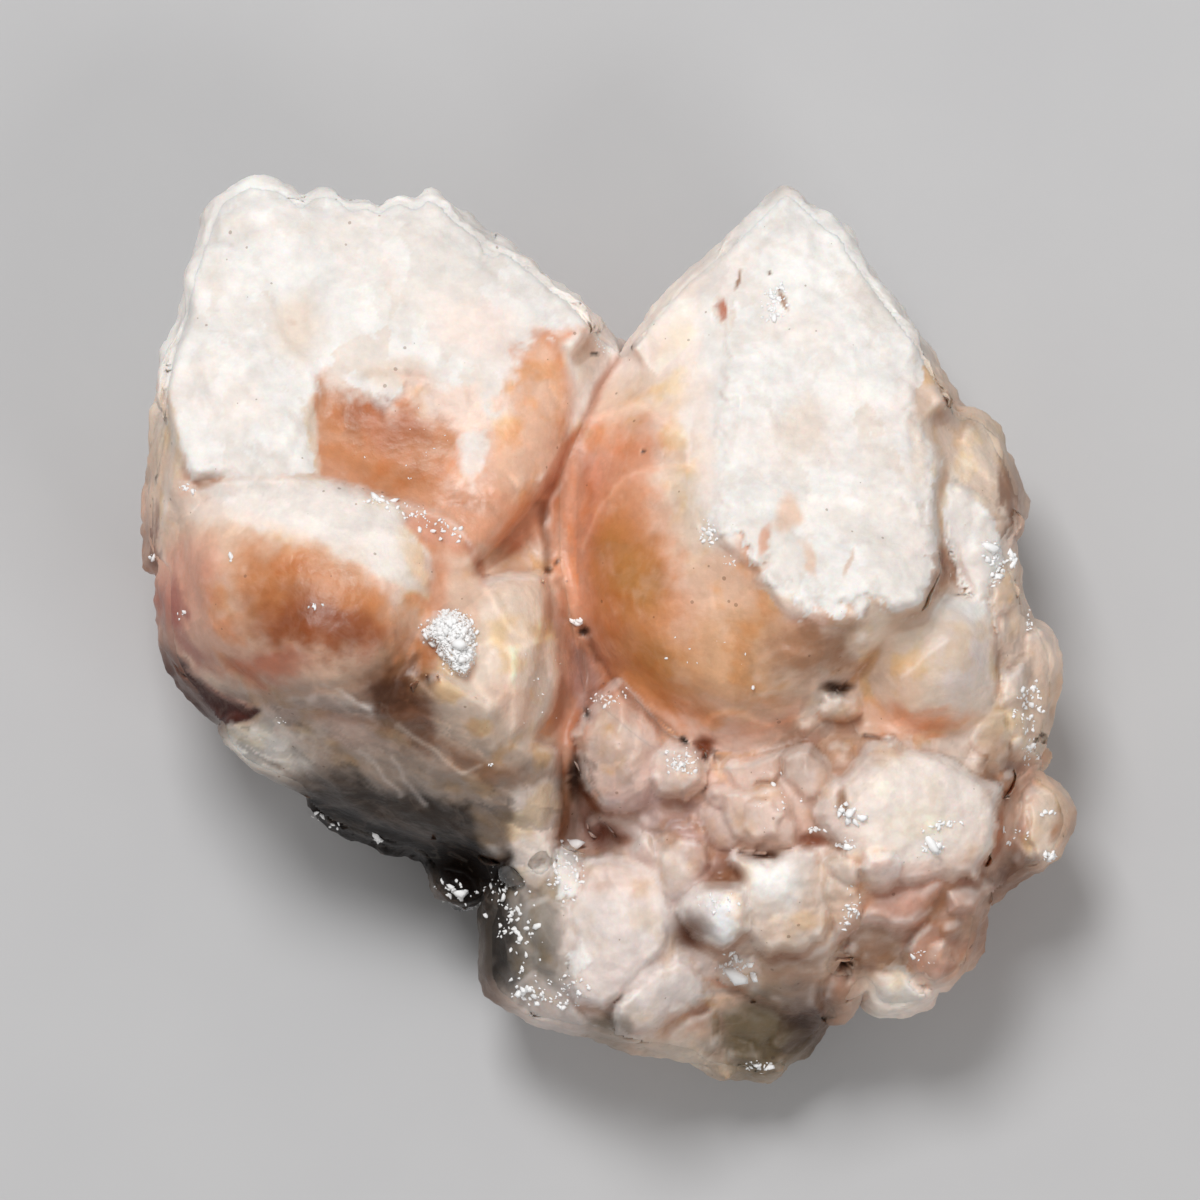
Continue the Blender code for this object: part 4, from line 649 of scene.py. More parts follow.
STAINS = [
    Stain("left frost ground", (370, 300), (300, 160), Tone.FROST, 1.0, fade=0.25),
    Stain("grey shade at the left", (188, 350), (22, 45), Tone.GREY_FROST, 0.8),
    Stain("beige dip", (300, 330), (28, 38), Tone.BEIGE_FROST, 0.9),
    Stain("strip below the slab", (168, 440), (26, 70), Tone.BEIGE_FROST, 0.9),
    Stain("rosy strip at the left edge", (162, 480), (14, 50), Tone.PALE_PEACH, 0.8),
    Stain("frosty top of the right facet", (560, 300), (60, 26), Tone.PINK_FROST, 0.7, 36.0),
    Stain("hump ground", (305, 590), (172, 125), Tone.PALE_PEACH, 1.0, fade=0.25),
    Stain("hump crown", (300, 512), (150, 34), Tone.PINK_FROST, 0.95, 6.0, 0.5),
    Stain("hump crown's right end", (398, 560), (40, 46), Tone.PINK_FROST, 0.9, 20.0, 0.4),
    Stain("rose shoulder", (195, 585), (40, 62), Tone.ROSE, 0.9),
    Stain("amber belly", (318, 600), (100, 50), Tone.AMBER, 1.0, 10.0, 0.6),
    Stain("deep amber", (318, 630), (96, 36), Tone.DEEP_AMBER, 1.0, 6.0, 0.7),
    Stain("left amber patch", (262, 570), (36, 26), Tone.AMBER, 0.8, 30.0, 0.9),
    Stain("mauve rim", (176, 612), (24, 44), Tone.MAUVE, 0.95),
    Stain("mauve foot", (196, 652), (30, 20), Tone.MAUVE, 0.8, 38.0),
    Stain("rust skirt", (268, 668), (66, 26), Tone.RUST, 0.9, 10.0),
    Stain("pale patch over the skirt", (222, 632), (22, 26), Tone.ROSE, 0.5, 30.0),
    Stain("brown sliver", (153, 548), (11, 52), Tone.SLIVER, 0.95),
    Stain("ledge ground", (448, 575), (44, 75), Tone.PEACH, 0.95, fade=0.5),
    Stain("rosy ledge top", (440, 532), (38, 20), Tone.ROSE, 0.7, 25.0),
    Stain("amber under the tuft", (425, 645), (34, 30), Tone.AMBER, 0.9),
    Stain("brown left of the tuft", (405, 672), (34, 20), Tone.BROWN_TAN, 0.8, -20.0),
    Stain("smoky ground", (380, 775), (235, 95), Tone.SMOKY, 1.0, 10.0, 0.35),
    Stain("mauve-brown under the hump", (256, 706), (60, 20), Tone.SMOKY_PINK, 0.9, 12.0),
    # Painted highlight: the pale patch at the slope's left corner stands for light caught there.
    Stain("painted highlight at the slope's corner", (258, 748), (58, 34), Tone.FROST, 0.7, 8.0, 0.7),
    Stain("grey-pink middle", (340, 715), (60, 26), Tone.SMOKY_PINK, 0.9, 24.0),
    Stain("amber-brown patch", (415, 700), (84, 42), Tone.BROWN, 0.95, 34.0, 0.7),
    Stain("darkest brown", (400, 690), (34, 18), Tone.DEEP_BROWN, 0.8, 30.0),
    Stain("tan by the plates", (478, 752), (62, 30), Tone.BROWN_TAN, 0.85, 30.0),
    # From here to the lower edge the slope darkens to black: partly the smoky crystal's own dark colour,
    # partly painted shade and a painted reflection of black surroundings.
    Stain("darker grey band", (380, 800), (96, 26), Tone.SMOKY_DARK, 0.95, 22.0),
    Stain("dark grey above the hem", (450, 815), (60, 22), Tone.SMOKY_DARK, 0.85, 20.0),
    Stain("black hem", (410, 848), (118, 26), Tone.INK, 1.0, 16.0, 0.6),
    Stain("black lower left", (325, 822), (66, 20), Tone.INK, 1.0, 32.0, 0.6),
    Stain("right frost ground", (800, 400), (150, 225), Tone.FROST, 1.0, fade=0.2),
    Stain("left facet ground", (680, 320), (100, 112), Tone.PINK_FROST, 1.0, -50.0, 0.3),
    Stain("peachy foot of the facet", (640, 405), (66, 28), Tone.CREAM, 1.0, -20.0, 0.7),
    Stain("amber body", (660, 580), (110, 185), Tone.PEACH, 1.0, -14.0, 0.3),
    Stain("salmon upper body", (625, 460), (58, 30), Tone.SALMON, 0.6, -12.0),
    Stain("rusty left flank", (590, 520), (30, 100), Tone.ROSE, 0.95, 0.0, 0.8),
    Stain("amber heart", (625, 570), (56, 100), Tone.AMBER, 0.95, -16.0, 0.7),
    Stain("olive-amber heart", (632, 575), (34, 66), Tone.OLIVE_AMBER, 0.95, -20.0, 0.9),
    Stain("deep foot", (655, 680), (58, 46), Tone.AMBER, 0.95, 36.0),
    Stain("olive-amber foot", (668, 665), (60, 36), Tone.OLIVE_AMBER, 0.6, 30.0, 0.9),
    Stain("pale veil on the body", (738, 650), (70, 80), Tone.BODY_TAN, 0.9, -20.0),
    Stain("veil by the frost", (690, 505), (46, 80), Tone.CREAM, 1.0, -10.0),
    Stain("veil above the olive", (715, 585), (50, 44), Tone.PALE_PEACH, 0.7, 30.0),
    Stain("tan shade under the frost", (815, 655), (74, 32), Tone.BROWN_TAN, 0.95, -4.0),
    Stain("peach foot lobe", (742, 738), (44, 26), Tone.PEACH, 0.6),
    Stain("deep flank in the valley", (572, 505), (19, 70), Tone.RUST, 1.0),
    Stain("tan right face", (938, 405), (34, 80), Tone.TAN, 1.0, -16.0, 0.5),
    Stain("tan lump", (985, 470), (52, 76), Tone.CREAM, 1.0, 10.0, 0.4),
    Stain("olive side of the tan lump", (1012, 500), (14, 62), Tone.BROWN, 0.9, -4.0),
    Stain("frosted strip", (968, 555), (36, 84), Tone.FROST, 0.85, -14.0),
    Stain("grey-tan block", (1010, 600), (24, 50), Tone.TAN, 0.9),
    Stain("rusty wedge", (936, 582), (20, 36), Tone.BROWN_TAN, 0.95, 18.0),
    Stain("egg ground", (925, 668), (80, 84), Tone.CREAM, 1.0, fade=0.3),
    # The egg is painted lit and shaded over its own cream: its pale right face is painted light, its peachy
    # left side and foot are partly its own peach and partly painted shade.
    Stain("egg's peachy left, partly painted shade", (885, 680), (34, 46), Tone.PALE_PEACH, 0.7),
    Stain("egg's right face paled by painted light", (960, 660), (34, 58), Tone.DOME, 0.9),
    Stain("egg's peachy foot, partly painted shade", (915, 722), (66, 24), Tone.PEACH, 0.85),
    Stain("egg's white top", (960, 606), (30, 24), Tone.FROST, 0.95),
    Stain("right block", (1034, 690), (34, 66), Tone.TAN, 0.95),
    Stain("crumbly strip", (1020, 730), (34, 50), Tone.CREAM, 0.9),
    # Painted shade in the recess under the strip.
    Stain("painted shade in the recess under the strip", (1000, 780), (26, 50), Tone.BROWN_TAN, 0.9, -10.0),
    Stain("corner crystal", (1045, 820), (34, 52), Tone.CREAM, 0.95),
    # The corner crystal's right side and foot are darkened with painted shade, as they face away from the
    # light.
    Stain("corner's right side in painted shade", (1068, 826), (14, 40), Tone.BROWN_TAN, 0.9),
    Stain("corner's foot in painted shade", (1015, 880), (42, 28), Tone.BROWN, 0.95, -30.0),
    Stain("rubble ground", (760, 790), (210, 66), Tone.RUBBLE, 1.0, 6.0, 0.4),
    Stain("mauve round the hollow", (605, 825), (46, 36), Tone.RUBBLE_MAUVE, 0.8),
    Stain("mauve rubble", (668, 815), (50, 34), Tone.RUBBLE_MAUVE, 0.9),
    Stain("tan rubble", (800, 750), (60, 32), Tone.BROWN_TAN, 0.85),
    # The six gap stains that follow are painted shade between the crystals.
    Stain("gap left of the pink ball", (583, 780), (10, 26), Tone.DEEP_BROWN, 0.8, -8.0),
    Stain("gap right of the pink ball", (706, 744), (20, 8), Tone.DEEP_BROWN, 0.8, 10.0),
    Stain("gap under the pink block", (760, 853), (30, 9), Tone.BROWN, 0.95),
    Stain("gap beside the grey facet", (722, 878), (26, 12), Tone.BROWN, 0.9, 30.0),
    Stain("gap below the pointer", (690, 936), (22, 20), Tone.BROWN, 0.9, 30.0),
    Stain("gap beside the brown foot", (846, 968), (8, 34), Tone.DEEP_BROWN, 0.7),
    Stain("white-topped block", (915, 810), (88, 66), Tone.PINK_FROST, 1.0, 8.0, 0.35),
    Stain("rose facet", (905, 895), (60, 40), Tone.ROSE_BLOCK, 0.95),
    Stain("brown facet", (870, 945), (46, 30), Tone.BROWN_TAN, 0.95),
    Stain("pink right end", (955, 905), (40, 66), Tone.BROWN_TAN, 0.6),
    Stain("dark right side", (978, 940), (16, 50), Tone.BROWN, 0.9, 12.0),
    Stain("almond ground", (894, 996), (52, 30), Tone.FROST, 0.75, -10.0),
    Stain("beige block ground", (780, 920), (64, 80), Tone.TAN, 1.0),
    # Painted shade on the beige block's lower side, which faces away from the light.
    Stain("beige block's foot in painted shade", (790, 970), (50, 34), Tone.BROWN_TAN, 0.9),
    Stain("frosted top of the beige block", (776, 882), (40, 32), Tone.FROST, 0.9),
    Stain("ball lobes", (842, 995), (24, 36), Tone.BROWN_TAN, 0.9),
    Stain("grey-pink facet", (686, 858), (42, 50), Tone.RUBBLE_MAUVE, 0.95),
    Stain("shade round the pointer", (700, 925), (44, 40), Tone.BROWN_TAN, 0.95),
    Stain("pointer", (714, 912), (32, 22), Tone.SNOW, 1.0, 10.0, 0.5),
    Stain("bottom lump ground", (600, 930), (130, 115), Tone.DOME, 1.0, fade=0.25),
    Stain("lump's mauve top", (610, 868), (56, 26), Tone.RUBBLE, 0.85),
    Stain("lump's grey flank", (530, 940), (46, 96), Tone.DOME_GREY, 0.95, 6.0),
    Stain("pale top of the flank", (535, 850), (30, 34), Tone.SMOKY_LIGHT, 0.95),
    Stain("lump's dark flank", (492, 930), (34, 92), Tone.DARK_GREY, 1.0, 4.0),
    Stain("shard bed", (462, 890), (42, 34), Tone.INK, 1.0),
    Stain("grey-beige foot", (548, 1018), (54, 28), Tone.DOME, 0.8, 18.0),
    Stain("olive pits", (612, 1030), (30, 20), Tone.OLIVE, 0.9),
    Stain("beige foot", (690, 1045), (50, 26), Tone.CREAM, 0.9, 14.0),
    Stain("olive foot", (760, 1035), (66, 54), Tone.OLIVE, 1.0, fade=0.5),
    # Painted shadow: the end of the specimen past the olive foot lies in shade.
    Stain("painted shadow past the olive end", (815, 1030), (36, 56), Tone.DARK_BROWN, 0.8),
]

FIELDS = [
    Field("peach face of the left crystal", [(318, 352), (345, 362), (392, 372), (440, 372), (500, 372),
        (515, 335), (560, 325), (600, 335), (612, 360), (590, 410), (560, 470), (552, 530), (520, 552),
        (470, 540), (420, 510), (350, 492), (312, 480)], Tone.PEACH, 1.0, 9.0),
    Field("amber patch", [(318, 382), (360, 380), (400, 392), (450, 400), (460, 450), (440, 500),
        (380, 500), (340, 470), (316, 462)], Tone.AMBER, 0.75, 16.0),
    Field("rust under the ragged edge", [(350, 380), (392, 402), (425, 400), (430, 440), (380, 450),
        (345, 420)], Tone.RUST, 0.5, 14.0),
    Field("peach strip in the middle", [(430, 470), (460, 450), (480, 490), (500, 530), (470, 530)],
        Tone.PEACH, 0.6, 10.0),
    Field("salmon ridge", [(505, 375), (545, 340), (566, 365), (572, 400), (564, 430), (545, 480),
        (520, 500), (492, 480), (490, 430)], Tone.PALE_PEACH, 0.6, 12.0),
    Field("tan right facet", [(562, 345), (600, 325), (622, 345), (598, 385), (582, 425), (566, 440),
        (572, 395)], Tone.FROST, 0.8, 5.0, 0.25),
    Field("shade beside the facet's edge", [(568, 365), (575, 380), (576, 415), (562, 465), (555, 460),
        (571, 405)], Tone.RUST, 0.32, 5.0),
    Field("haze below the frost", [(330, 360), (420, 372), (500, 350), (512, 380), (504, 424), (486, 470),
        (470, 490), (462, 450), (440, 420), (410, 402), (380, 400), (345, 392)], Tone.PINK_FROST, 0.72,
        17.0, 14.0),
    Field("amber notch", [(364, 396), (384, 420), (400, 402), (410, 388), (394, 396)], Tone.DEEP_AMBER,
        0.75, 5.0),
    Field("grey facet beside the slab", [(290, 372), (318, 380), (318, 475), (292, 480), (282, 430)],
        Tone.BEIGE_FROST, 0.9, 4.0),
    Field("valley", [(545, 470), (575, 440), (590, 500), (582, 560), (590, 620), (600, 680), (592, 740),
        (560, 780), (555, 700), (562, 640), (552, 580), (535, 530)], Tone.PEACH, 0.85, 8.0),
    Field("mauve foot of the valley", [(570, 640), (592, 660), (606, 690), (592, 720), (574, 705)],
        Tone.RUBBLE_MAUVE, 0.85, 7.0),
    Field("peach blocks", [(452, 560), (500, 545), (548, 572), (562, 640), (566, 700), (552, 760),
        (500, 765), (440, 735), (440, 640)], Tone.CREAM, 0.62, 8.0),
    Field("dark facet", [(163, 640), (195, 671), (222, 694), (254, 706), (262, 714), (232, 724),
        (215, 735), (165, 690)], Tone.DARK_RED, 0.97, 2.5),
    Field("hump's frosted cap", [(196, 486), (300, 482), (335, 484), (365, 492), (400, 510), (412, 527),
        (425, 547), (433, 577), (427, 598), (404, 588), (384, 574), (352, 560), (322, 540), (290, 526),
        (240, 512)], Tone.FROST, 0.6, 5.0),
    # The dark lower slope and the black hem: the smoky crystal's own dark colour, deepened by painted shade
    # and a painted reflection of black surroundings.
    Field("dark lower slope", [(262, 782), (310, 776), (350, 786), (400, 800), (450, 812), (515, 822),
        (515, 885), (420, 870), (320, 840), (262, 806)], Tone.SMOKY_DARK, 0.97, 14.0, 12.0),
    Field("black hem", [(250, 778), (290, 780), (322, 792), (345, 812), (390, 824), (440, 834),
        (480, 842), (512, 852), (512, 890), (420, 880), (380, 870), (320, 845), (250, 800)], Tone.INK,
        1.0, 6.0, 10.0),
    Field("pale smoky plate", [(512, 790), (570, 775), (578, 860), (560, 880), (525, 865), (512, 830)],
        Tone.SMOKY_LIGHT, 0.95, 6.0),
    Field("grey plate beside it", [(480, 790), (512, 790), (514, 845), (500, 862), (476, 830)],
        Tone.SMOKY, 0.8, 8.0),
    Field("upper right sliver", [(912, 345), (930, 352), (965, 405), (985, 412), (960, 440), (940, 470),
        (925, 420)], Tone.TAN, 0.9, 5.0),
]

FROST_STAINS = [
    Stain("beige dip", (300, 330), (30, 36), Tone.BEIGE_FROST, 0.95),
    Stain("dark speck in the dip", (296, 322), (6, 4), Tone.TAN, 0.7),
    Stain("grey mottle at the crown", (240, 232), (34, 18), Tone.GREY_FROST, 0.7),
    Stain("grey mottle below it", (216, 275), (16, 24), Tone.GREY_FROST, 0.7),
    Stain("rosy glow by the edge", (480, 330), (60, 40), Tone.PINK_FROST, 0.9, 20.0),
    Stain("peachy thinning by the tip", (400, 375), (46, 14), Tone.BEIGE_FROST, 0.9),
    Stain("grey band of the crown", (330, 235), (60, 18), Tone.GREY_FROST, 0.5, 10.0),
    Stain("apex streak", (721, 311), (4, 14), Tone.RUST, 0.95, 8.0, 0.5),
    Stain("thin streak", (740, 279), (3, 11), Tone.BROWN_TAN, 0.9, 14.0, 0.5),
    Stain("streak in the white patch", (782, 304), (3, 14), Tone.BROWN_TAN, 0.9, -20.0, 0.5),
    Stain("dark dot", (766, 273), (4, 3), Tone.BROWN, 0.95, 30.0, 0.5),
    Stain("second dark dot", (779, 291), (3, 3), Tone.BROWN_TAN, 0.9, 0.0, 0.5),
    Stain("faint grey specks", (724, 335), (12, 12), Tone.GREY_FROST, 0.8),
    Stain("pink window", (787, 518), (15, 20), Tone.PALE_PEACH, 0.85, 20.0, 0.5),
    Stain("greyish window", (835, 518), (16, 12), Tone.GREY_FROST, 0.9),
    Stain("second greyish window", (882, 552), (12, 20), Tone.GREY_FROST, 0.9),
    Stain("amber streak by the window", (764, 540), (5, 18), Tone.PEACH, 0.8, 30.0, 0.6),
    Stain("amber streak at the foot", (806, 560), (6, 22), Tone.PALE_PEACH, 0.8, -24.0, 0.6),
    Stain("brown streak at the foot", (846, 566), (4, 20), Tone.TAN, 0.9, 16.0, 0.6),
    Stain("grey-beige patch of the middle", (800, 430), (26, 40), Tone.BEIGE_FROST, 0.7, 20.0),
    Stain("grey patch at the right", (868, 470), (20, 44), Tone.GREY_FROST, 0.8, -18.0),
    Stain("grey right edge", (914, 440), (10, 60), Tone.BEIGE_FROST, 0.8),
    Stain("soft left edge", (702, 440), (14, 80), Tone.PINK_FROST, 0.9),
]


def add_node(
    nodes: bpy.types.Nodes, kind: str, inputs: dict[str | int, object] | None = None, **settings: object
) -> bpy.types.Node:
    """Adds a shader node. Its settings come first, since some of its sockets depend on them.

    Args:
        nodes: the material's nodes.
        kind: the node's type.
        inputs: constant values by socket.
        settings: the node's own settings, such as its operation.

    Returns:
        The new node.
    """
    node = nodes.new(kind)
    for name, value in settings.items():
        setattr(node, name, value)
    for socket, value in (inputs or {}).items():
        node.inputs[socket].default_value = value
    return node


def dress(mesh: bpy.types.Mesh, name: str, material: bpy.types.Material) -> bpy.types.Object:
    """Turns a finished mesh into a piece of the specimen.

    Args:
        mesh: the mesh, in metres and in place.
        name: the piece's name.
        material: its finish.

    Returns:
        The new object, riding on the part.
    """
    mesh.materials.clear()
    mesh.materials.append(material)
    mesh.shade_smooth()
    piece = bpy.data.objects.new(name, mesh)
    bpy.context.scene.collection.objects.link(piece)
    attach(piece, BODY)
    return piece


def colour_points(mesh: bpy.types.Mesh, name: str, colours: np.ndarray) -> None:
    """Writes a colour for each of a mesh's points.

    Args:
        mesh: the mesh.
        name: the attribute's name.
        colours: red, green and blue as light, three to a row.
    """
    layer = mesh.attributes.new(name, "FLOAT_COLOR", "POINT")
    full = np.concatenate([colours, np.ones((len(colours), 1))], axis=1)
    layer.data.foreach_set("color", full.astype(np.float32).ravel())


def number_points(mesh: bpy.types.Mesh, name: str, values: np.ndarray) -> None:
    """Writes a number for each of a mesh's points.

    Args:
        mesh: the mesh.
        name: the attribute's name.
        values: one number for each point.
    """
    layer = mesh.attributes.new(name, "FLOAT", "POINT")
    layer.data.foreach_set("value", values.astype(np.float32))


def read_vectors(items: bpy.types.bpy_prop_collection, name: str) -> np.ndarray:
    """Reads a vector of every item of a mesh.

    Args:
        items: the mesh's points.
        name: which vector.

    Returns:
        The vectors, three to a row.
    """
    values = np.empty(len(items) * 3)
    items.foreach_get(name, values)
    return values.reshape(-1, 3)


def blurred(grid: np.ndarray, steps: int) -> np.ndarray:
    """Averages each cell with its neighbours, three passes of a square of side 2 steps + 1.

    Args:
        grid: heights.
        steps: half the square's width in cells.

    Returns:
        A grid of the same shape.
    """
    for _ in range(3):
        for axis in (0, 1):
            total = grid.copy()
            for step in range(1, steps + 1):
                total += np.roll(grid, step, axis) + np.roll(grid, -step, axis)
            grid = total / (2 * steps + 1)
    return grid


def joined(one: np.ndarray, other: np.ndarray, sharp: float) -> np.ndarray:
    """Joins two heights by a soft maximum: the higher one, with the crease between them filled a little.

    Args:
        one: heights.
        other: heights in the same places.
        sharp: how narrow the filled crease is, one over millimetres.

    Returns:
        The joined heights.
    """
    return np.maximum(one, other) + np.log1p(np.exp(-sharp * np.abs(one - other))) / sharp


@dataclass
class Relief:
    """The specimen's upper face as heights on a fine square grid, seen from above.

    Attributes:
        pitch: millimetres between the grid's lines.
        reach: half the grid's width in millimetres.
        x: millimetres along X of each crossing.
        y: millimetres along Y.
        height: height of the face there; empty crossings stand at 0.
        inside: millimetres from the specimen's edge as seen from above, 0 outside.
        first: the height before any work, which noise and colours follow.
        colour: light at each crossing.
        frost: how frosty it is there, 0 to 1.
    """

    pitch: float = 0.23
    reach: float = 48.3
    x: np.ndarray = field(init=False)
    y: np.ndarray = field(init=False)
    height: np.ndarray = field(init=False)
    inside: np.ndarray = field(init=False)
    first: np.ndarray = field(init=False)
    colour: np.ndarray = field(init=False)
    frost: np.ndarray = field(init=False)

    def __post_init__(self) -> None:
        """Lays out the empty grid."""
        side = int(round(2 * self.reach / self.pitch)) + 1
        line = -self.reach + self.pitch * np.arange(side)
        self.x, self.y = np.meshgrid(line, line, indexing="ij")
        self.height = np.full((side, side), -1.0)
        self.colour = np.zeros((side, side, 3))
        self.frost = np.zeros((side, side))

    @property
    def pixels(self) -> np.ndarray:
        """The photograph's pixel over each crossing, two to a row."""
        return to_pixels(np.stack([self.x.ravel(), self.y.ravel()], axis=1))

    @property
    def places(self) -> np.ndarray:
        """Each crossing on the untouched face, three to a row."""
        return np.stack([self.x.ravel(), self.y.ravel(), self.first.ravel()], axis=1)

    def project(self, mesh: bpy.types.Mesh) -> None:
        """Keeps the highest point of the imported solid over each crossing.

        Each triangle that faces up is laid over the crossings in its box; where all three of a
        crossing's shares of the corners are positive it lies in the triangle, and the shares give
        its height.

        Args:
            mesh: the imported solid's mesh, in metres.
        """
        mesh.calc_loop_triangles()
        corners = np.empty(len(mesh.loop_triangles) * 3, dtype=np.int64)
        mesh.loop_triangles.foreach_get("vertices", corners)
        triangles = read_vectors(mesh.vertices, "co")[corners.reshape(-1, 3)] / MM
        side_one, side_two = triangles[:, 1] - triangles[:, 0], triangles[:, 2] - triangles[:, 0]
        doubled = side_one[:, 0] * side_two[:, 1] - side_one[:, 1] * side_two[:, 0]
        limit = self.x.shape[0] - 1
        for (a, b, c), area in zip(triangles[doubled > 1e-6], doubled[doubled > 1e-6]):
            low = np.floor((np.minimum(np.minimum(a, b), c)[:2] + self.reach) / self.pitch).astype(int)
            high = np.ceil((np.maximum(np.maximum(a, b), c)[:2] + self.reach) / self.pitch).astype(int)
            rows = slice(max(low[0], 0), min(high[0], limit) + 1)
            window = (rows, slice(max(low[1], 0), min(high[1], limit) + 1))
            x, y = self.x[window], self.y[window]
            share_b = ((x - a[0]) * (c[1] - a[1]) - (y - a[1]) * (c[0] - a[0])) / area
            share_c = ((b[0] - a[0]) * (y - a[1]) - (b[1] - a[1]) * (x - a[0])) / area
            share_a = 1.0 - share_b - share_c
            within = (share_a >= -1e-6) & (share_b >= -1e-6) & (share_c >= -1e-6)
            level = share_a * a[2] + share_b * b[2] + share_c * c[2]
            old = self.height[window]
            self.height[window] = np.where(within, np.maximum(old, level), old)
        full = self.height > 0.0
        self.inside = np.zeros(self.height.shape)
        shrunk = full
        for _ in range(24):
            self.inside += shrunk * self.pitch
            cross = shrunk & np.roll(shrunk, 1, 0) & np.roll(shrunk, -1, 0)
            shrunk = cross & np.roll(shrunk, 1, 1) & np.roll(shrunk, -1, 1)
        self.height = np.where(full, self.height, 0.0)
        self.first = self.height.copy()

    def soft(self, grid: np.ndarray, width: float) -> np.ndarray:
        """Blurs a grid over a width without mixing in the empty crossings round the specimen.

        Args:
            grid: the numbers to blur.
            width: millimetres to each side.

        Returns:
            A grid of the same shape.
        """
        steps = max(1, int(round(width / self.pitch / 1.7)))
        full = (self.inside > 0.0).astype(float)
        return blurred(grid * full, steps) / np.maximum(blurred(full, steps), 0.05) * full

    def spread(self, grid: np.ndarray) -> np.ndarray:
        """Carries a grid's numbers a few millimetres out over the specimen's edge.

        Args:
            grid: numbers over the specimen.

        Returns:
            A soft grid of the same shape.
        """
        full = (self.inside > 0.0).astype(float)
        return blurred(grid * full, 5) / np.maximum(blurred(full, 5), 0.002)

    def read(self, grid: np.ndarray, x: np.ndarray, y: np.ndarray) -> np.ndarray:
        """Numbers at any places, blended between the four crossings round each.

        Args:
            grid: this relief's height, or another grid of its shape.
            x: millimetres along X, of any shape.
            y: millimetres along Y, of the same shape.

        Returns:
            Numbers in the shape of x.
        """
        limit = grid.shape[0] - 2
        u = np.clip((x + self.reach) / self.pitch, 0, limit)
        v = np.clip((y + self.reach) / self.pitch, 0, limit)
        i, j = u.astype(int), v.astype(int)
        a, b = u - i, v - j
        low = grid[i, j] * (1 - a) + grid[i + 1, j] * a
        high = grid[i, j + 1] * (1 - a) + grid[i + 1, j + 1] * a
        return low * (1 - b) + high * b

    def window(self, outline: Path, margin: float) -> tuple[slice, slice]:
        """The crossings round an outline.

        Args:
            outline: its corners, in pixels.
            margin: millimetres kept round it.

        Returns:
            The rows and the columns.
        """
        corners = to_millimetres(outline)
        low = ((corners.min(axis=0) - margin + self.reach) / self.pitch).astype(int)
        high = ((corners.max(axis=0) + margin + self.reach) / self.pitch).astype(int) + 1
        return slice(max(low[0], 0), high[0]), slice(max(low[1], 0), high[1])


@dataclass
class Shell:
    """A growing mesh of closed surfaces with a colour and a frostiness at each point.

    Attributes:
        name: the piece's name.
        points: each surface's places in millimetres.
        colours: light at its points.
        frost: how frosty its points are, 0 to 1.
        faces: its faces, by point number.
        count: how many points there are so far.
    """

    name: str
    points: list[np.ndarray] = field(default_factory=list)
    colours: list[np.ndarray] = field(default_factory=list)
    frost: list[np.ndarray] = field(default_factory=list)
    faces: list[np.ndarray] = field(default_factory=list)
    count: int = 0

    def add(
        self, points: np.ndarray, faces: np.ndarray, colours: np.ndarray, frost: float | np.ndarray
    ) -> None:
        """Adds one closed surface.

        Args:
            points: places in millimetres, three to a row.
            faces: quads as rows of four point numbers; a triangle repeats its last number.
            colours: light at each point, three to a row.
            frost: how frosty the surface is, 0 to 1.
        """
        self.points.append(points)
        self.faces.append(faces + self.count)
        self.colours.append(np.broadcast_to(colours, points.shape))
        self.frost.append(np.broadcast_to(frost, len(points)))
        self.count += len(points)

    def build(self, material: bpy.types.Material) -> bpy.types.Object:
        """Joins the surfaces into one piece.

        Args:
            material: its finish.

        Returns:
            The finished piece.
        """
        points = np.concatenate(self.points)
        faces = np.concatenate(self.faces)
        quads = faces[:, 2] != faces[:, 3]
        lists = faces[quads].tolist() + faces[~quads][:, :3].tolist()
        mesh = bpy.data.meshes.new(self.name)
        mesh.from_pydata(points * MM, [], lists)
        mesh.update()
        colour_points(mesh, "tone", np.clip(np.concatenate(self.colours), 0.0, 0.95))
        number_points(mesh, "frost", np.concatenate(self.frost))
        LOG.info("%s: %d faces", self.name, len(lists))
        return dress(mesh, self.name, material)


def ring_faces(rings: int, around: int) -> np.ndarray:
    """Faces between rings of points, closed round, with a point at the top and one at the bottom.

    The points are numbered ring by ring from the top; the top point and the bottom point come last.

    Args:
        rings: how many rings.
        around: points in each ring.

    Returns:
        Rows of four point numbers, turned outwards for rings that run anticlockwise from above.
    """
    row, column = np.meshgrid(np.arange(rings - 1), np.arange(around), indexing="ij")
    here = row * around + column
    beside = row * around + (column + 1) % around
    sides = np.stack([here, here + around, beside + around, beside], axis=2).reshape(-1, 4)
    first = np.arange(around)
    top = np.stack([first, (first + 1) % around, np.full(around, rings * around)], axis=1)
    last = first + (rings - 1) * around
    after = (first + 1) % around + (rings - 1) * around
    low = np.stack([after, last, np.full(around, rings * around + 1)], axis=1)
    caps = np.concatenate([top, low])
    return np.concatenate([sides, np.concatenate([caps, caps[:, 2:]], axis=1)])


def resampled(corners: np.ndarray, count: int) -> np.ndarray:
    """Rounds off a closed outline's corners and spaces points evenly along it, anticlockwise.

    Args:
        corners: X and Y of the corners.
        count: how many points to give.

    Returns:
        X and Y, one row for each point.
    """
    for _ in range(2):
        after = np.roll(corners, -1, axis=0)
        cut = np.stack([corners * 0.78 + after * 0.22, corners * 0.22 + after * 0.78], axis=1)
        corners = cut.reshape(-1, 2)
    closed = np.concatenate([corners, corners[:1]])
    run = np.concatenate([[0.0], np.cumsum(np.hypot(*np.diff(closed, axis=0).T))])
    at = np.linspace(0.0, run[-1], count, endpoint=False)
    even = np.stack([np.interp(at, run, closed[:, axis]) for axis in (0, 1)], axis=1)
    after = np.roll(even, -1, axis=0)
    area = (even[:, 0] * after[:, 1] - after[:, 0] * even[:, 1]).sum()
    return even if area > 0 else even[::-1]


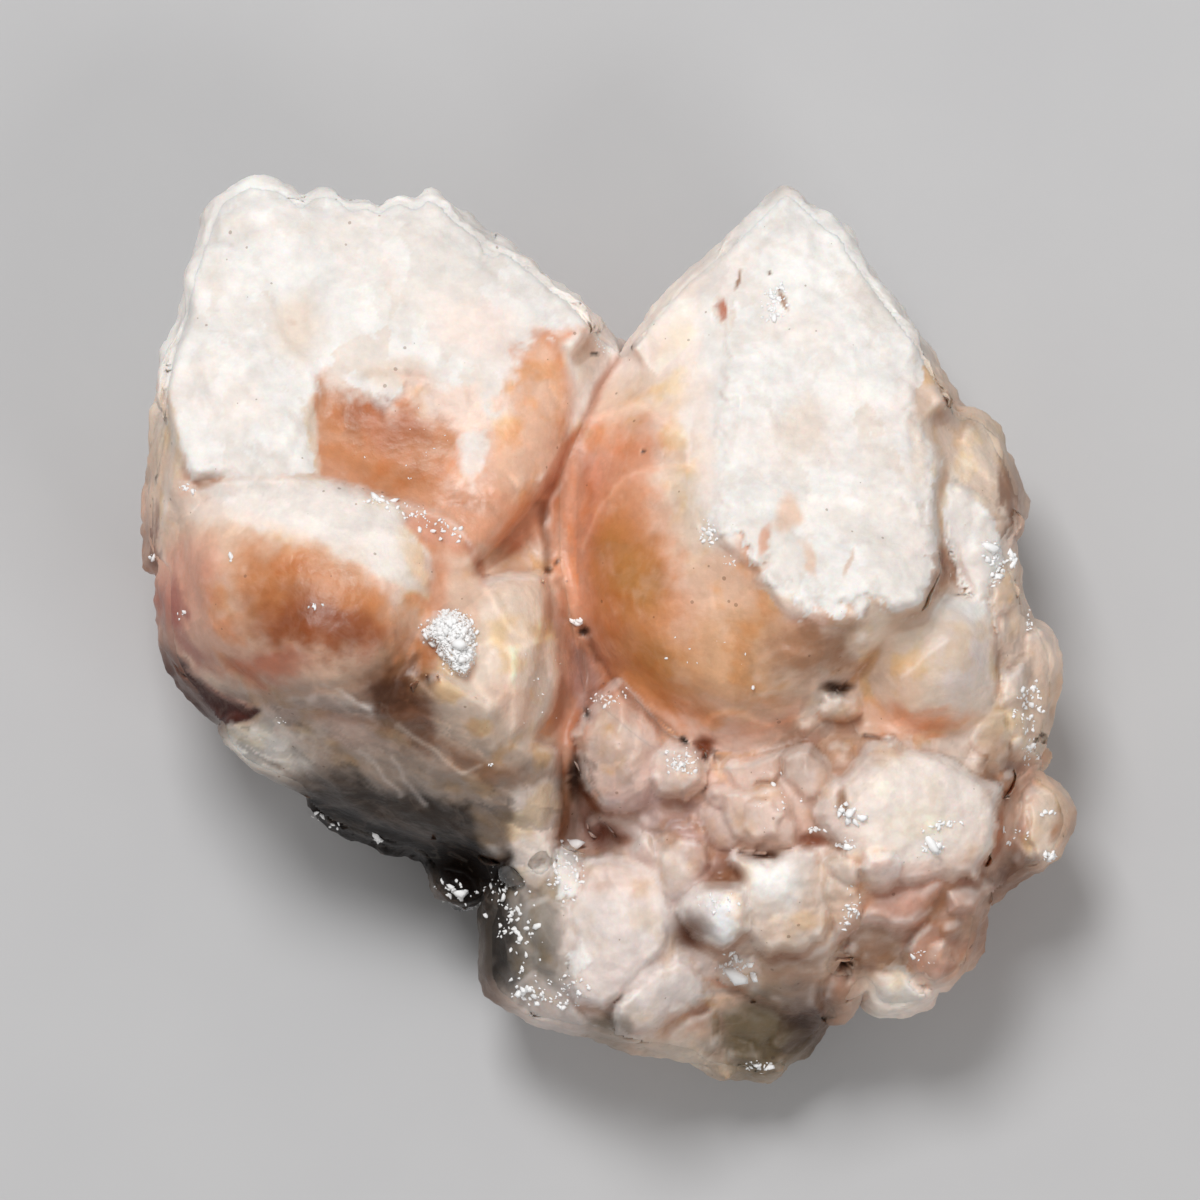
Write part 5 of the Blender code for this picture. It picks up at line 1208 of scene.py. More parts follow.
@dataclass(frozen=True)
class Block:
    """One crystal of the crust, with the outline that the photograph shows.

    Its top is the lowest of several tilted planes that lean away from its middle, rounded off towards
    the rim. It either rises from the grid of the upper face or is a closed surface with a skirt below
    its rim.

    Attributes:
        name: which crystal it is.
        outline: the corners of its rim, in pixels.
        rise: millimetres from its rim to its top.
        top: colour of its top; on a crystal stamped into the face, also of its upper side, which faces the
            light.
        low: colour towards its rim; on a crystal stamped into the face, also the painted shade of its lower
            side.
        lift: millimetres from the skin to its rim.
        planes: how many facets its top has.
        lean: slope of the whole top along X and Y.
        frost: how frosty it is, 0 to 1.
        rough: height of its grain in millimetres.
        shift: where its top is, as a share of its size along X and Y.
    """

    name: str
    outline: Path
    rise: float
    top: Tone
    low: Tone
    lift: float = 0.5
    planes: int = 5
    lean: tuple[float, float] = (0.0, 0.0)
    frost: float = 0.4
    rough: float = 0.1
    shift: tuple[float, float] = (0.0, 0.0)

    def stamp(self, relief: Relief, ground: np.ndarray, seed: int) -> None:
        """Lets the crystal stick out of the face inside its ragged outline, and colours what sticks out.

        At a depth d inside the rim it stands at its lift, plus its rise times
        1 - exp(-d / 0.16 of its size) times its lowest facet, over a plane laid through the face;
        outside the rim it dives. The face and the crystal are joined by a soft maximum.

        Args:
            relief: the upper face.
            ground: its softened heights.
            seed: picks the facets' directions.
        """
        part = relief.window(self.outline, 2.0)
        x, y = relief.x[part], relief.y[part]
        rim = to_millimetres(self.outline)
        middle = rim.mean(axis=0)
        size = math.sqrt(np.ptp(rim[:, 0]) * np.ptp(rim[:, 1])) / 2.0
        flat = np.stack([x.ravel(), y.ravel(), np.full(x.size, seed * 3.7)], axis=1)
        stray = strayed(flat, 2.6, 4, 80)
        depth = depth_inside(to_pixels(flat) + 4.5 * stray, self.outline).reshape(x.shape) / PIXELS_PER_MM
        within = depth > 0.0
        design = np.stack([x[within] - middle[0], y[within] - middle[1], np.ones(within.sum())], axis=1)
        slope_x, slope_y, base = np.linalg.lstsq(design, ground[part][within], rcond=None)[0]
        slope = np.clip(np.array([slope_x, slope_y]) * 0.85 + np.array(self.lean), -1.2, 1.2)

        draw = np.random.default_rng(900 + seed)
        turns = (np.arange(self.planes) + draw.uniform(-0.3, 0.3, self.planes)) * math.tau / self.planes
        turns = turns + draw.uniform(0.0, math.tau)
        ways = np.stack([np.cos(turns), np.sin(turns)], axis=1)
        away = np.stack([x, y], axis=2) - middle
        along = (away / size - np.array(self.shift)) @ ways.T
        spans = np.maximum((((rim - middle) / size) @ ways.T).max(axis=0), 0.3)
        falls, starts = draw.uniform(0.5, 1.0, self.planes), draw.uniform(-0.1, 0.35, self.planes)
        facets = 1.0 - falls * np.maximum(along / spans - starts, 0.0) / (1.0 - starts)
        lowest = -np.log(np.exp(-60.0 * facets).sum(axis=2) + math.exp(-60.0)) / 60.0
        bank = 1.0 - np.exp(-np.maximum(depth, 0.0) / (0.16 * size))
        height = base + away @ slope + self.lift + self.rise * bank * np.clip(lowest, 0.0, 1.0)
        height -= 2.2 * (1.0 - ramp(depth, -0.7, 0.45)) + 30.0 * ramp(-depth, 0.5, 1.6)
        spot = np.stack([x.ravel(), y.ravel(), height.ravel()], axis=1)
        lumps, shade = Crystallites(2.3, 300 + seed, 0.8).at(spot)
        small, small_shade = Crystallites(1.0, 400 + seed, 0.8).at(spot)
        crumbs = self.rough * (2.3 * (lumps + 0.3) + 1.5 * (small + 0.3))
        grain = 0.10 * Noise(2.4, 4, 85 + seed).at(spot) + crumbs
        height += grain.reshape(x.shape)
        face = relief.height[part]
        relief.height[part] = joined(face, height, 9.0)
        cover = ramp(height - face, -0.12, 0.22)

        # Towards its lower side the crystal turns to its low tone: painted shade on the side away from the
        # light.
        cloud = 0.40 * Noise(3.2, 4, 90).at(spot).reshape(x.shape)
        painted_shade_downward = (0.25 * away[..., 0] - away[..., 1]) / size
        outward = 0.25 * (1.0 - np.maximum(depth, 0.0) / size)
        tint = ramp(0.75 * painted_shade_downward + outward + cloud, -0.1, 1.0)[..., None]
        own = self.top.light * (1.0 - tint) + self.low.light * tint
        glow = 1.0 + 0.08 * Noise(1.8, 3, 91).at(spot)
        glow += self.rough * (1.2 * (shade - 0.5) + 0.7 * (small_shade - 0.5))
        own = own * glow.reshape(x.shape)[..., None]
        relief.colour[part] += (own - relief.colour[part]) * cover[..., None]
        relief.frost[part] += (self.frost - relief.frost[part]) * cover

    def add_to(self, shell: Shell, skin: Relief, ground: np.ndarray, seed: int) -> None:
        """Works out the crystal's surface and adds it to a mesh.

        The point at share s of the way from the middle to the rim and at angle u stands at
        rise times the lowest facet there, and follows a plane laid through the skin under the rim.

        Args:
            shell: the mesh.
            skin: height map of the skin.
            ground: its softened grid.
            seed: picks the facets' directions.
        """
        rim_mm = to_millimetres(self.outline)
        size = math.sqrt(np.ptp(rim_mm[:, 0]) * np.ptp(rim_mm[:, 1])) / 2.0
        around = int(np.clip(size * 16, 28, 110))
        rings = int(np.clip(size * 4, 7, 26))
        rim = resampled(rim_mm, around)
        flat = np.concatenate([rim, np.full((around, 1), seed * 3.7)], axis=1)
        middle = rim.mean(axis=0)
        outward = (rim - middle) / np.maximum(np.hypot(*(rim - middle).T), 0.1)[:, None]
        rim = rim + outward * (0.16 * Noise(1.4, 3, 80).at(flat) * min(1.0, size / 2.0))[:, None]
        level = skin.read(ground, rim[:, 0], rim[:, 1])
        design = np.concatenate([rim - middle, np.ones((around, 1))], axis=1)
        slope_x, slope_y, base = np.linalg.lstsq(design, level, rcond=None)[0]
        slope = np.clip(np.array([slope_x, slope_y]), -1.1, 1.1)

        share = np.sin(np.linspace(0.06, 1.0, rings) * math.pi / 2.0)
        offset = share[:, None, None] * (rim - middle)[None]
        place = middle + offset
        draw = np.random.default_rng(900 + seed)
        turns = (np.arange(self.planes) + draw.uniform(-0.3, 0.3, self.planes)) * math.tau / self.planes
        turns = turns + draw.uniform(0.0, math.tau)
        ways = np.stack([np.cos(turns), np.sin(turns)], axis=1)
        reach = offset / size - np.array(self.shift)
        spans = np.maximum((reach[-1] @ ways.T).max(axis=0), 0.3)
        falls = draw.uniform(0.5, 1.0, self.planes)
        starts = draw.uniform(0.0, 0.4, self.planes)
        along = (reach @ ways.T) / spans
        facets = 1.0 - falls * np.maximum(along - starts, 0.0) / (1.0 - starts)
        soft = -np.log(np.exp(-9.0 * facets).sum(axis=2) + math.exp(-9.0)) / 9.0 + 0.03
        rounded = (1.0 - share**7)[:, None] * np.clip(soft, 0.0, 1.0)
        height = base + offset @ (slope + np.array(self.lean)) + self.lift + self.rise * rounded

        top = np.concatenate([place, height[..., None]], axis=2).reshape(-1, 3)
        lumps, shade = Crystallites(1.3, 300 + seed, 0.8).at(top)
        grain = 0.12 * Noise(3.0, 2, 85 + seed).at(top) + self.rough * (lumps + 0.3)
        top[:, 2] += grain * np.repeat(1.0 - 0.7 * share**6, around)
        edge = top[-around:]
        skirts = []
        for spread_by, drop in ((0.02, 0.35), (0.0, 0.9), (-0.05, 1.8), (-0.14, 3.4)):
            skirt = edge.copy()
            skirt[:, :2] += (edge[:, :2] - middle) * spread_by
            skirt[:, 2] -= drop
            skirts.append(skirt)
        poles = np.array([[*middle, top[:around, 2].mean()], [*middle, skirts[-1][:, 2].mean() - 0.4]])
        points = np.concatenate([top, *skirts, poles])

        depth = np.concatenate([np.repeat(share, around), np.full(4 * around, 1.15), [0.0, 1.15]])
        tint = ramp(depth + 0.22 * Noise(2.6, 3, 90).at(points), 0.35, 1.15)[:, None]
        colours = self.top.light * (1.0 - tint) + self.low.light * tint
        shade = np.append(shade, np.zeros(4 * around + 2))
        glow = 1.0 + 0.10 * Noise(1.8, 3, 91).at(points) + 0.06 * (shade - 0.5)
        colours = colours * glow[:, None]
        shell.add(points, ring_faces(rings + 4, around), colours, self.frost)


@dataclass(frozen=True)
class Crust:
    """A sheet of frost on the face, with a ragged edge.

    Attributes:
        name: which sheet it is.
        outline: its corners, in pixels.
        thickness: its height over the face, in millimetres.
        ragged: how far its edge strays, in pixels.
        lumps: height of its relief in millimetres.
        thin: how far its edge thins out, in pixels.
        grain: millimetres from one scallop of its edge to the next.
        fade: pixels over which its colour comes in.
        flatten: how far the face under it is smoothed, 0 to 1.
        cloudy: how dense the frost is, 0 to 1.
    """

    name: str
    outline: Path
    thickness: float
    ragged: float = 5.0
    lumps: float = 0.25
    thin: float = 5.0
    grain: float = 2.2
    fade: float = 3.0
    flatten: float = 0.5
    cloudy: float = 1.0

    def cover(self, relief: Relief) -> None:
        """Raises the face inside the ragged outline by the sheet's thickness and lumps, and whitens it.

        Args:
            relief: the upper face.
        """
        part = relief.window(self.outline, 2.5)
        x, y = relief.x[part], relief.y[part]
        spot = np.stack([x.ravel(), y.ravel(), relief.first[part].ravel()], axis=1)
        stray = strayed(spot, self.grain, 4, 201)
        depth = depth_inside(to_pixels(spot) + self.ragged * stray, self.outline)
        depth = (depth + 0.7 * self.ragged * Noise(0.45 * self.grain, 4, 203).at(spot)).reshape(x.shape)
        lumps, _ = Crystallites(2.6, 210, 0.7).at(spot)
        small, _ = Crystallites(1.1, 220, 0.7).at(spot)
        waves = self.lumps * (0.6 * Noise(7.0, 3, 205).at(spot) + 0.55 * lumps + 0.40 * small)
        inside = ramp(depth, -1.5, self.thin)
        under = relief.soft(relief.height, 1.2)[part]
        height = relief.height[part]
        height = height + (under - height) * self.flatten * inside
        relief.height[part] = height + (self.thickness + waves.reshape(x.shape)) * inside
        share = self.cloudy * ramp(depth, -0.5 * self.fade, 0.6 * self.fade)[..., None]
        own = frost_colour(spot).reshape(*x.shape, 3)
        relief.colour[part] += (own - relief.colour[part]) * share
        relief.frost[part] = np.maximum(relief.frost[part], share[..., 0])


def frost_colour(points: np.ndarray) -> np.ndarray:
    """White frost with soft grey, beige and rosy mottling and a few named stains.

    Args:
        points: places in millimetres, three to a row.

    Returns:
        Red, green and blue as light, three to a row.
    """
    colour = np.tile(Tone.FROST.light, (len(points), 1))
    turned_points = points @ turned(math.radians(65.0), 0.0, 0.0).T
    turned_points = turned_points + 0.8 * Noise(2.5, 4, 404).at(points)[:, None]
    _, facet = Crystallites(5.0, 405, 0.6, (1.7, 1.0, 1.0)).at(turned_points)
    _, chip = Crystallites(1.6, 406, 0.7, (1.5, 1.0, 1.0)).at(turned_points)
    for tone, share in (
        (Tone.GREY_FROST, 0.75 * ramp(facet, 0.62, 0.7)), (Tone.BEIGE_FROST, 0.45 * ramp(facet, 0.86, 0.9)),
        (Tone.GREY_FROST, 0.5 * ramp(chip, 0.7, 0.8)),
        (Tone.PINK_FROST, 0.35 * ramp(Noise(6.0, 4, 401).at(points), 0.0, 0.7)),
    ):
        colour += (tone.light - colour) * share[:, None]
    pixels = to_pixels(points)
    drift = 6.0 * strayed(points, 2.5, 3, 411)
    for stain in FROST_STAINS:
        colour += (stain.tone.light - colour) * stain.cover(pixels + drift)[:, None]
    return colour


# Bits named sparks and sparkles are white bits that stand for glints: painted highlights.
@dataclass(frozen=True)
class Specks:
    """Many small bits strewn over an area: white flakes, crumbs or glints.

    Attributes:
        name: what is strewn.
        centre: the area's middle, in pixels.
        radii: its half width and half height, in pixels.
        number: how many bits.
        size: their typical size in millimetres.
        tone: their colour.
        turn: degrees that the area is turned, clockwise as the photograph shows it.
        flat: how flat they are, thickness over width.
    """

    name: str
    centre: tuple[float, float]
    radii: tuple[float, float]
    number: int
    size: float
    tone: Tone = Tone.SNOW
    turn: float = 0.0
    flat: float = 0.35

    def add_to(self, shell: Shell, face: Relief, seed: int) -> None:
        """Strews the bits, thickest in the area's middle.

        Args:
            shell: the mesh that takes them.
            face: the upper face, which they lie on.
            seed: picks the scatter.
        """
        draw = np.random.default_rng(seed)
        angle = math.radians(self.turn)
        spot = draw.normal(size=(self.number, 2)) * 0.5
        spot = spot / np.maximum(np.hypot(*spot.T), 1.0)[:, None] * np.array(self.radii)
        across = spot[:, 0] * math.cos(angle) - spot[:, 1] * math.sin(angle)
        down = spot[:, 0] * math.sin(angle) + spot[:, 1] * math.cos(angle)
        pixels = np.stack([self.centre[0] + across, self.centre[1] + down], axis=1)
        add_bits(shell, face, to_millimetres(pixels), self.size, self.flat, self.tone, draw, 0.1)


def add_bits(
    shell: Shell, face: Relief, place: np.ndarray, size: float, flat: float, tone: Tone,
    draw: np.random.Generator, lift: float,
) -> None:
    """Adds small bits: each is a turned, leaning, uneven rhomb with its corners cut.

    Args:
        shell: the mesh that takes them.
        face: the upper face, which they lie on.
        place: X and Y of each in millimetres.
        size: their typical size in millimetres.
        flat: how flat they are, thickness over width.
        tone: their colour.
        draw: the source of chance.
        lift: how far they stand above the face, as a share of their size.
    """
    levels = face.read(face.height, place[:, 0], place[:, 1])
    sizes = size * draw.lognormal(0.0, 0.5, len(place))
    around = 6
    for at, level, scale in zip(place, levels, sizes):
        turns = (np.arange(around) + draw.uniform(-0.35, 0.35, around)) * math.tau / around
        reach = draw.uniform(0.55, 1.15, around) * scale / 2.0
        long = draw.uniform(0.6, 1.6)
        rim = np.stack([np.cos(turns) * reach * long, np.sin(turns) * reach / long, np.zeros(around)], axis=1)
        thick = np.array([0.0, 0.0, flat * scale])
        poles = np.stack([thick * 0.62, -thick * 0.62])
        bit = np.concatenate([rim * 0.62 + thick / 2.0, rim, rim * 0.62 - thick / 2.0, poles])
        spin, tip = draw.uniform(0.0, math.tau), draw.normal(0.0, 0.45, 2)
        bit = bit @ turned(spin, tip[0], tip[1]).T
        bit += np.array([at[0], at[1], level + lift * scale])
        shell.add(bit, ring_faces(3, around), tone.light * draw.uniform(0.9, 1.0), 1.0)


def turned(spin: float, tip_x: float, tip_y: float) -> np.ndarray:
    """A turn about Z after tips about X and Y.

    Args:
        spin: radians about Z.
        tip_x: radians about X.
        tip_y: radians about Y.

    Returns:
        The 3 by 3 matrix.
    """
    cx, sx, cy, sy = math.cos(tip_x), math.sin(tip_x), math.cos(tip_y), math.sin(tip_y)
    cz, sz = math.cos(spin), math.sin(spin)
    about_x = np.array([[1, 0, 0], [0, cx, -sx], [0, sx, cx]])
    about_y = np.array([[cy, 0, sy], [0, 1, 0], [-sy, 0, cy]])
    about_z = np.array([[cz, -sz, 0], [sz, cz, 0], [0, 0, 1]])
    return about_z @ about_y @ about_x


@dataclass(frozen=True)
class StoneFinish:
    """Waxy calcite: its colour comes from the mesh, its veils, grain and sheen from noise.

    Attributes:
        name: the material's name.
        subsurface: how much light goes in and spreads.
        spread_mm: how far it spreads.
        grain: height of the fine grain in millimetres.
        mottle: how much the colour varies in small clouds, 0 to 1.
        veils: how strong the pale inner veils are, 0 to 1.
        gloss: roughness where there is no frost.
        chips: height of the tiny chips as a share of the grain.
        specks: how dark the tiny specks are, 0 to 1.
    """

    name: str
    subsurface: float
    spread_mm: float
    grain: float
    mottle: float
    veils: float
    gloss: float
    chips: float = 0.5
    specks: float = 0.5

    def build(self) -> bpy.types.Material:
        """Mottled and veiled colour, frost-driven roughness and a grain bump on one Principled shader.

        Returns:
            The material.
        """
        material = bpy.data.materials.new(self.name)
        material.use_nodes = True
        nodes, links = material.node_tree.nodes, material.node_tree.links
        shader = nodes["Principled BSDF"]
        shader.subsurface_method = "RANDOM_WALK"
        shader.inputs["Subsurface Weight"].default_value = self.subsurface
        shader.inputs["Subsurface Radius"].default_value = (1.0, 0.55, 0.38)
        shader.inputs["Subsurface Scale"].default_value = self.spread_mm * MM
        shader.inputs["IOR"].default_value = 1.56

        place = add_node(nodes, "ShaderNodeTexCoord")
        tone = add_node(nodes, "ShaderNodeAttribute", attribute_name="tone")
        frost = add_node(nodes, "ShaderNodeAttribute", attribute_name="frost")

        clouds = add_node(nodes, "ShaderNodeTexNoise", {"Scale": 520.0, "Detail": 5.0, "Roughness": 0.62})
        links.new(place.outputs["Object"], clouds.inputs["Vector"])
        brighten = add_node(
            nodes, "ShaderNodeMapRange",
            {
                "From Min": 0.3, "From Max": 0.7,
                "To Min": 1.0 - self.mottle, "To Max": 1.0 + self.mottle,
            },
        )
        links.new(clouds.outputs["Fac"], brighten.inputs["Value"])
        broad = add_node(nodes, "ShaderNodeTexNoise", {"Scale": 190.0, "Detail": 7.0, "Roughness": 0.68})
        links.new(place.outputs["Object"], broad.inputs["Vector"])
        swell = add_node(
            nodes, "ShaderNodeMapRange",
            {
                "From Min": 0.3, "From Max": 0.7,
                "To Min": 1.0 - 1.6 * self.mottle, "To Max": 1.0 + 1.2 * self.mottle,
            },
        )
        links.new(broad.outputs["Fac"], swell.inputs["Value"])
        both = add_node(nodes, "ShaderNodeMath", operation="MULTIPLY")
        links.new(brighten.outputs["Result"], both.inputs[0])
        links.new(swell.outputs["Result"], both.inputs[1])
        scaled = add_node(nodes, "ShaderNodeVectorMath", operation="SCALE")
        links.new(tone.outputs["Color"], scaled.inputs[0])
        links.new(both.outputs["Value"], scaled.inputs["Scale"])

        # Pale veils lie where a broad noise passes its middle value
        curtain = add_node(
            nodes, "ShaderNodeTexNoise",
            {"Scale": 150.0, "Detail": 6.0, "Roughness": 0.55, "Distortion": 0.8},
        )
        links.new(place.outputs["Object"], curtain.inputs["Vector"])
        centred = add_node(nodes, "ShaderNodeMath", {1: 0.5}, operation="SUBTRACT")
        links.new(curtain.outputs["Fac"], centred.inputs[0])
        folded = add_node(nodes, "ShaderNodeMath", operation="ABSOLUTE")
        links.new(centred.outputs["Value"], folded.inputs[0])
        veil = add_node(
            nodes, "ShaderNodeMapRange",
            {"From Min": 0.0, "From Max": 0.05, "To Min": self.veils, "To Max": 0.0},
            interpolation_type="SMOOTHSTEP",
        )
        links.new(folded.outputs["Value"], veil.inputs["Value"])
        veiled = add_node(
            nodes, "ShaderNodeMix",
            {"B": (0.55, 0.45, 0.38, 1.0)},
            data_type="RGBA", blend_type="SCREEN",
        )
        links.new(veil.outputs["Result"], veiled.inputs["Factor"])
        links.new(scaled.outputs["Vector"], veiled.inputs["A"])

        # Tiny dark specks: the middles of a few cells, thinned out by a coarser noise
        cells = add_node(nodes, "ShaderNodeTexVoronoi", {"Scale": 560.0})
        links.new(place.outputs["Object"], cells.inputs["Vector"])
        gate = add_node(nodes, "ShaderNodeMath", {1: -0.55}, operation="MULTIPLY_ADD")
        links.new(curtain.outputs["Fac"], gate.inputs[0])
        gate.inputs[2].default_value = 0.31
        near = add_node(nodes, "ShaderNodeMath", operation="LESS_THAN")
        links.new(cells.outputs["Distance"], near.inputs[0])
        links.new(gate.outputs["Value"], near.inputs[1])
        dark = add_node(nodes, "ShaderNodeMath", {1: self.specks}, operation="MULTIPLY")
        links.new(near.outputs["Value"], dark.inputs[0])
        speckled = add_node(
            nodes, "ShaderNodeMix",
            {"B": (0.30, 0.20, 0.13, 1.0)},
            data_type="RGBA", blend_type="MULTIPLY",
        )
        links.new(dark.outputs["Value"], speckled.inputs["Factor"])
        links.new(veiled.outputs["Result"], speckled.inputs["A"])
        links.new(speckled.outputs["Result"], shader.inputs["Base Color"])

        matt = add_node(nodes, "ShaderNodeMapRange", {"To Min": self.gloss, "To Max": self.gloss + 0.22})
        links.new(frost.outputs["Fac"], matt.inputs["Value"])
        uneven = add_node(nodes, "ShaderNodeMath", {1: 0.2}, operation="MULTIPLY_ADD")
        links.new(clouds.outputs["Fac"], uneven.inputs[0])
        links.new(matt.outputs["Result"], uneven.inputs[2])
        links.new(uneven.outputs["Value"], shader.inputs["Roughness"])

        sheen = add_node(
            nodes, "ShaderNodeMapRange",
            {"From Min": 0.0, "From Max": 0.12, "To Min": 0.06, "To Max": 0.42},
        )
        links.new(tone.outputs["Fac"], sheen.inputs["Value"])
        links.new(sheen.outputs["Result"], shader.inputs["Specular IOR Level"])

        grain = add_node(nodes, "ShaderNodeTexNoise", {"Scale": 1100.0, "Detail": 5.0, "Roughness": 0.7})
        links.new(place.outputs["Object"], grain.inputs["Vector"])
        chips = add_node(nodes, "ShaderNodeTexVoronoi", {"Scale": 1250.0})
        links.new(place.outputs["Object"], chips.inputs["Vector"])
        relief = add_node(nodes, "ShaderNodeMath", {1: -self.chips}, operation="MULTIPLY_ADD")
        links.new(chips.outputs["Distance"], relief.inputs[0])
        links.new(grain.outputs["Fac"], relief.inputs[2])
        bump = add_node(nodes, "ShaderNodeBump", {"Strength": 1.0, "Distance": self.grain * MM})
        links.new(relief.outputs["Value"], bump.inputs["Height"])
        links.new(bump.outputs["Normal"], shader.inputs["Normal"])
        return material


@dataclass(frozen=True)
class ClearFinish:
    """Clear calcite: light passes through, is bent, and fades with the way that it goes inside.

    Attributes:
        name: the material's name.
        tint: the colour that is left after the fade length.
        fade_mm: the fade length.
    """

    name: str
    tint: tuple[float, float, float]
    fade_mm: float

    def build(self) -> bpy.types.Material:
        """A plain transmitting surface with an absorbing inside.

        Returns:
            The material.
        """
        material = bpy.data.materials.new(self.name)
        material.use_nodes = True
        nodes, links = material.node_tree.nodes, material.node_tree.links
        shader = nodes["Principled BSDF"]
        shader.inputs["Base Color"].default_value = (0.96, 0.96, 0.96, 1.0)
        shader.inputs["Transmission Weight"].default_value = 1.0
        shader.inputs["IOR"].default_value = 1.6
        shader.inputs["Roughness"].default_value = 0.12
        inside = add_node(
            nodes, "ShaderNodeVolumeAbsorption",
            {"Color": (*self.tint, 1.0), "Density": 1.0 / (self.fade_mm * MM)},
        )
        output = nodes["Material Output"]
        links.new(inside.outputs["Volume"], output.inputs["Volume"])
        place = add_node(nodes, "ShaderNodeTexCoord")
        waves = add_node(nodes, "ShaderNodeTexNoise", {"Scale": 700.0, "Detail": 3.0})
        links.new(place.outputs["Object"], waves.inputs["Vector"])
        bump = add_node(nodes, "ShaderNodeBump", {"Strength": 0.5, "Distance": 0.08 * MM})
        links.new(waves.outputs["Fac"], bump.inputs["Height"])
        links.new(bump.outputs["Normal"], shader.inputs["Normal"])
        return material


@dataclass(frozen=True)
class SkinPart:
    """One stretch of the specimen's skin, cut out of the solid with room to overlap the next.

    Attributes:
        name: the piece's name.
        outline: its extent seen from above, in pixels.
        low: its lowest height in millimetres.
        high: its highest height in millimetres.
        pitch: millimetres between its points.
    """

    name: str
    outline: Path
    low: float
    high: float
    pitch: float


SKIN_PARTS = [
    SkinPart("left_crystal_skin", [(90, 120), (652, 120), (651, 345), (621, 395), (603, 430), (590, 480),
        (587, 560), (597, 640), (600, 700), (593, 760), (587, 885), (440, 885), (400, 900), (90, 900)],
        12.5, 60.0, 0.55),
    SkinPart("right_crystal_skin", [(600, 120), (601, 345), (571, 395), (553, 430), (540, 480),
        (537, 560), (547, 640), (572, 690), (596, 720), (622, 742), (655, 765), (690, 782), (740, 788),
        (790, 776), (830, 755), (860, 765), (905, 776), (960, 770), (1005, 758), (1110, 778),
        (1110, 120)], 12.5, 60.0, 0.55),
    SkinPart("foot_skin", [(537, 610), (580, 618), (610, 640), (635, 668), (655, 690), (680, 712),
        (705, 730), (740, 735), (775, 722), (805, 700), (830, 672), (860, 690), (910, 722), (960, 716),
        (1000, 704), (1110, 722), (1110, 1130), (380, 1130), (380, 850), (425, 835), (480, 830),
        (530, 825), (537, 800)], 7.0, 60.0, 0.55),
    SkinPart("back_skin", [(90, 120), (1110, 120), (1110, 1130), (90, 1130)], -1.0, 17.0, 0.56),
]


def character(pixels: np.ndarray) -> tuple[np.ndarray, np.ndarray, np.ndarray]:
    """Blends the surfaces' waxiness, crumbliness and undulation over pixels.

    Args:
        pixels: pixel coordinates, two to a row.

    Returns:
        Three numbers for each pixel.
    """
    waxy = np.full(len(pixels), OPEN_SURFACE.waxy)
    crumbly = np.full(len(pixels), OPEN_SURFACE.crumbly)
    swell = np.full(len(pixels), OPEN_SURFACE.undulation)
    for surface in SURFACES:
        share = ramp(depth_inside(pixels, surface.outline), -14.0, 14.0)
        waxy += (surface.waxy - waxy) * share
        crumbly += (surface.crumbly - crumbly) * share
        swell += (surface.undulation - swell) * share
    return waxy, crumbly, swell


def grown(points: np.ndarray, crumbly: np.ndarray, swell: np.ndarray) -> tuple[np.ndarray, np.ndarray]:
    """Height and brightness of the small forms that cover every face: swells, grain and little crystals.

    Args:
        points: places in millimetres, three to a row.
        crumbly: how broken each place is, 0 to 1.
        swell: how much it undulates, in millimetres.

    Returns:
        Height in millimetres, and how much each point is lightened.
    """
    height = swell * Noise(9.0, 3, 5).at(points) + 0.07 * Noise(2.4, 4, 12).at(points)
    calm = 1.0 - crumbly
    broad, broad_shade = Crystallites(7.5, 50, 0.55, (1.4, 1.0, 1.0)).at(points)
    middle, middle_shade = Crystallites(3.2, 40, 0.8).at(points)
    small, small_shade = Crystallites(1.4, 60).at(points)
    height += (0.32 * calm + 0.25 * crumbly) * broad
    fine = (0.025 * calm + 0.34 * crumbly) * (small + 0.3)
    height += (0.09 * calm + 0.85 * crumbly) * (middle + 0.3) + fine
    lighter = (0.16 * calm + 0.14 * crumbly) * (broad_shade - 0.5)
    lighter += (0.05 * calm + 0.22 * crumbly) * (middle_shade - 0.5)
    lighter += (0.02 * calm + 0.14 * crumbly) * (small_shade - 0.5)
    return height, lighter


@dataclass(frozen=True)
class Growth:
    """Overlapping growth scales on a face, drawn out one way.

    Attributes:
        name: where they are.
        outline: the area's corners, in pixels.
        way: the way in which they are drawn out, in degrees anticlockwise from +X.
        size: their width in millimetres.
        stretch: how much longer than wide they are.
        height: their height in millimetres.
        tone: how much they differ in brightness.
        seed: picks their scatter.
    """

    name: str
    outline: Path
    way: float
    size: float
    stretch: float
    height: float
    tone: float
    seed: int

    def at(self, pixels: np.ndarray, points: np.ndarray) -> tuple[np.ndarray, np.ndarray]:
        """Large and small little crystals along the turned axis, strong in some places and gone in others.

        Args:
            pixels: the pixels over the points.
            points: places in millimetres, three to a row.

        Returns:
            Height in millimetres, and how much each point is lightened.
        """
        there = ramp(depth_inside(pixels, self.outline), -12.0, 22.0)
        near = there > 0.0
        spot = points[near] @ turned(-math.radians(self.way), 0.0, 0.0).T
        swirl = [Noise(3.0, 3, self.seed + k).at(points[near]) for k in range(3)]
        spot = spot + 0.5 * np.stack(swirl, axis=1)
        drawn = (self.stretch, 1.0, 1.0)
        broad, shade = Crystallites(self.size, self.seed, 0.7, drawn).at(spot)
        small, small_shade = Crystallites(0.42 * self.size, self.seed + 9, 0.7, drawn).at(spot)
        strong = there[near] * (0.35 + 0.65 * ramp(Noise(7.0, 2, self.seed + 5).at(points[near]), -0.5, 0.4))
        height, lighter = np.zeros(len(points)), np.zeros(len(points))
        height[near] = self.height * strong * (broad + 0.45 * small)
        lighter[near] = self.tone * strong * (shade + 0.5 * small_shade - 0.75)
        return height, lighter


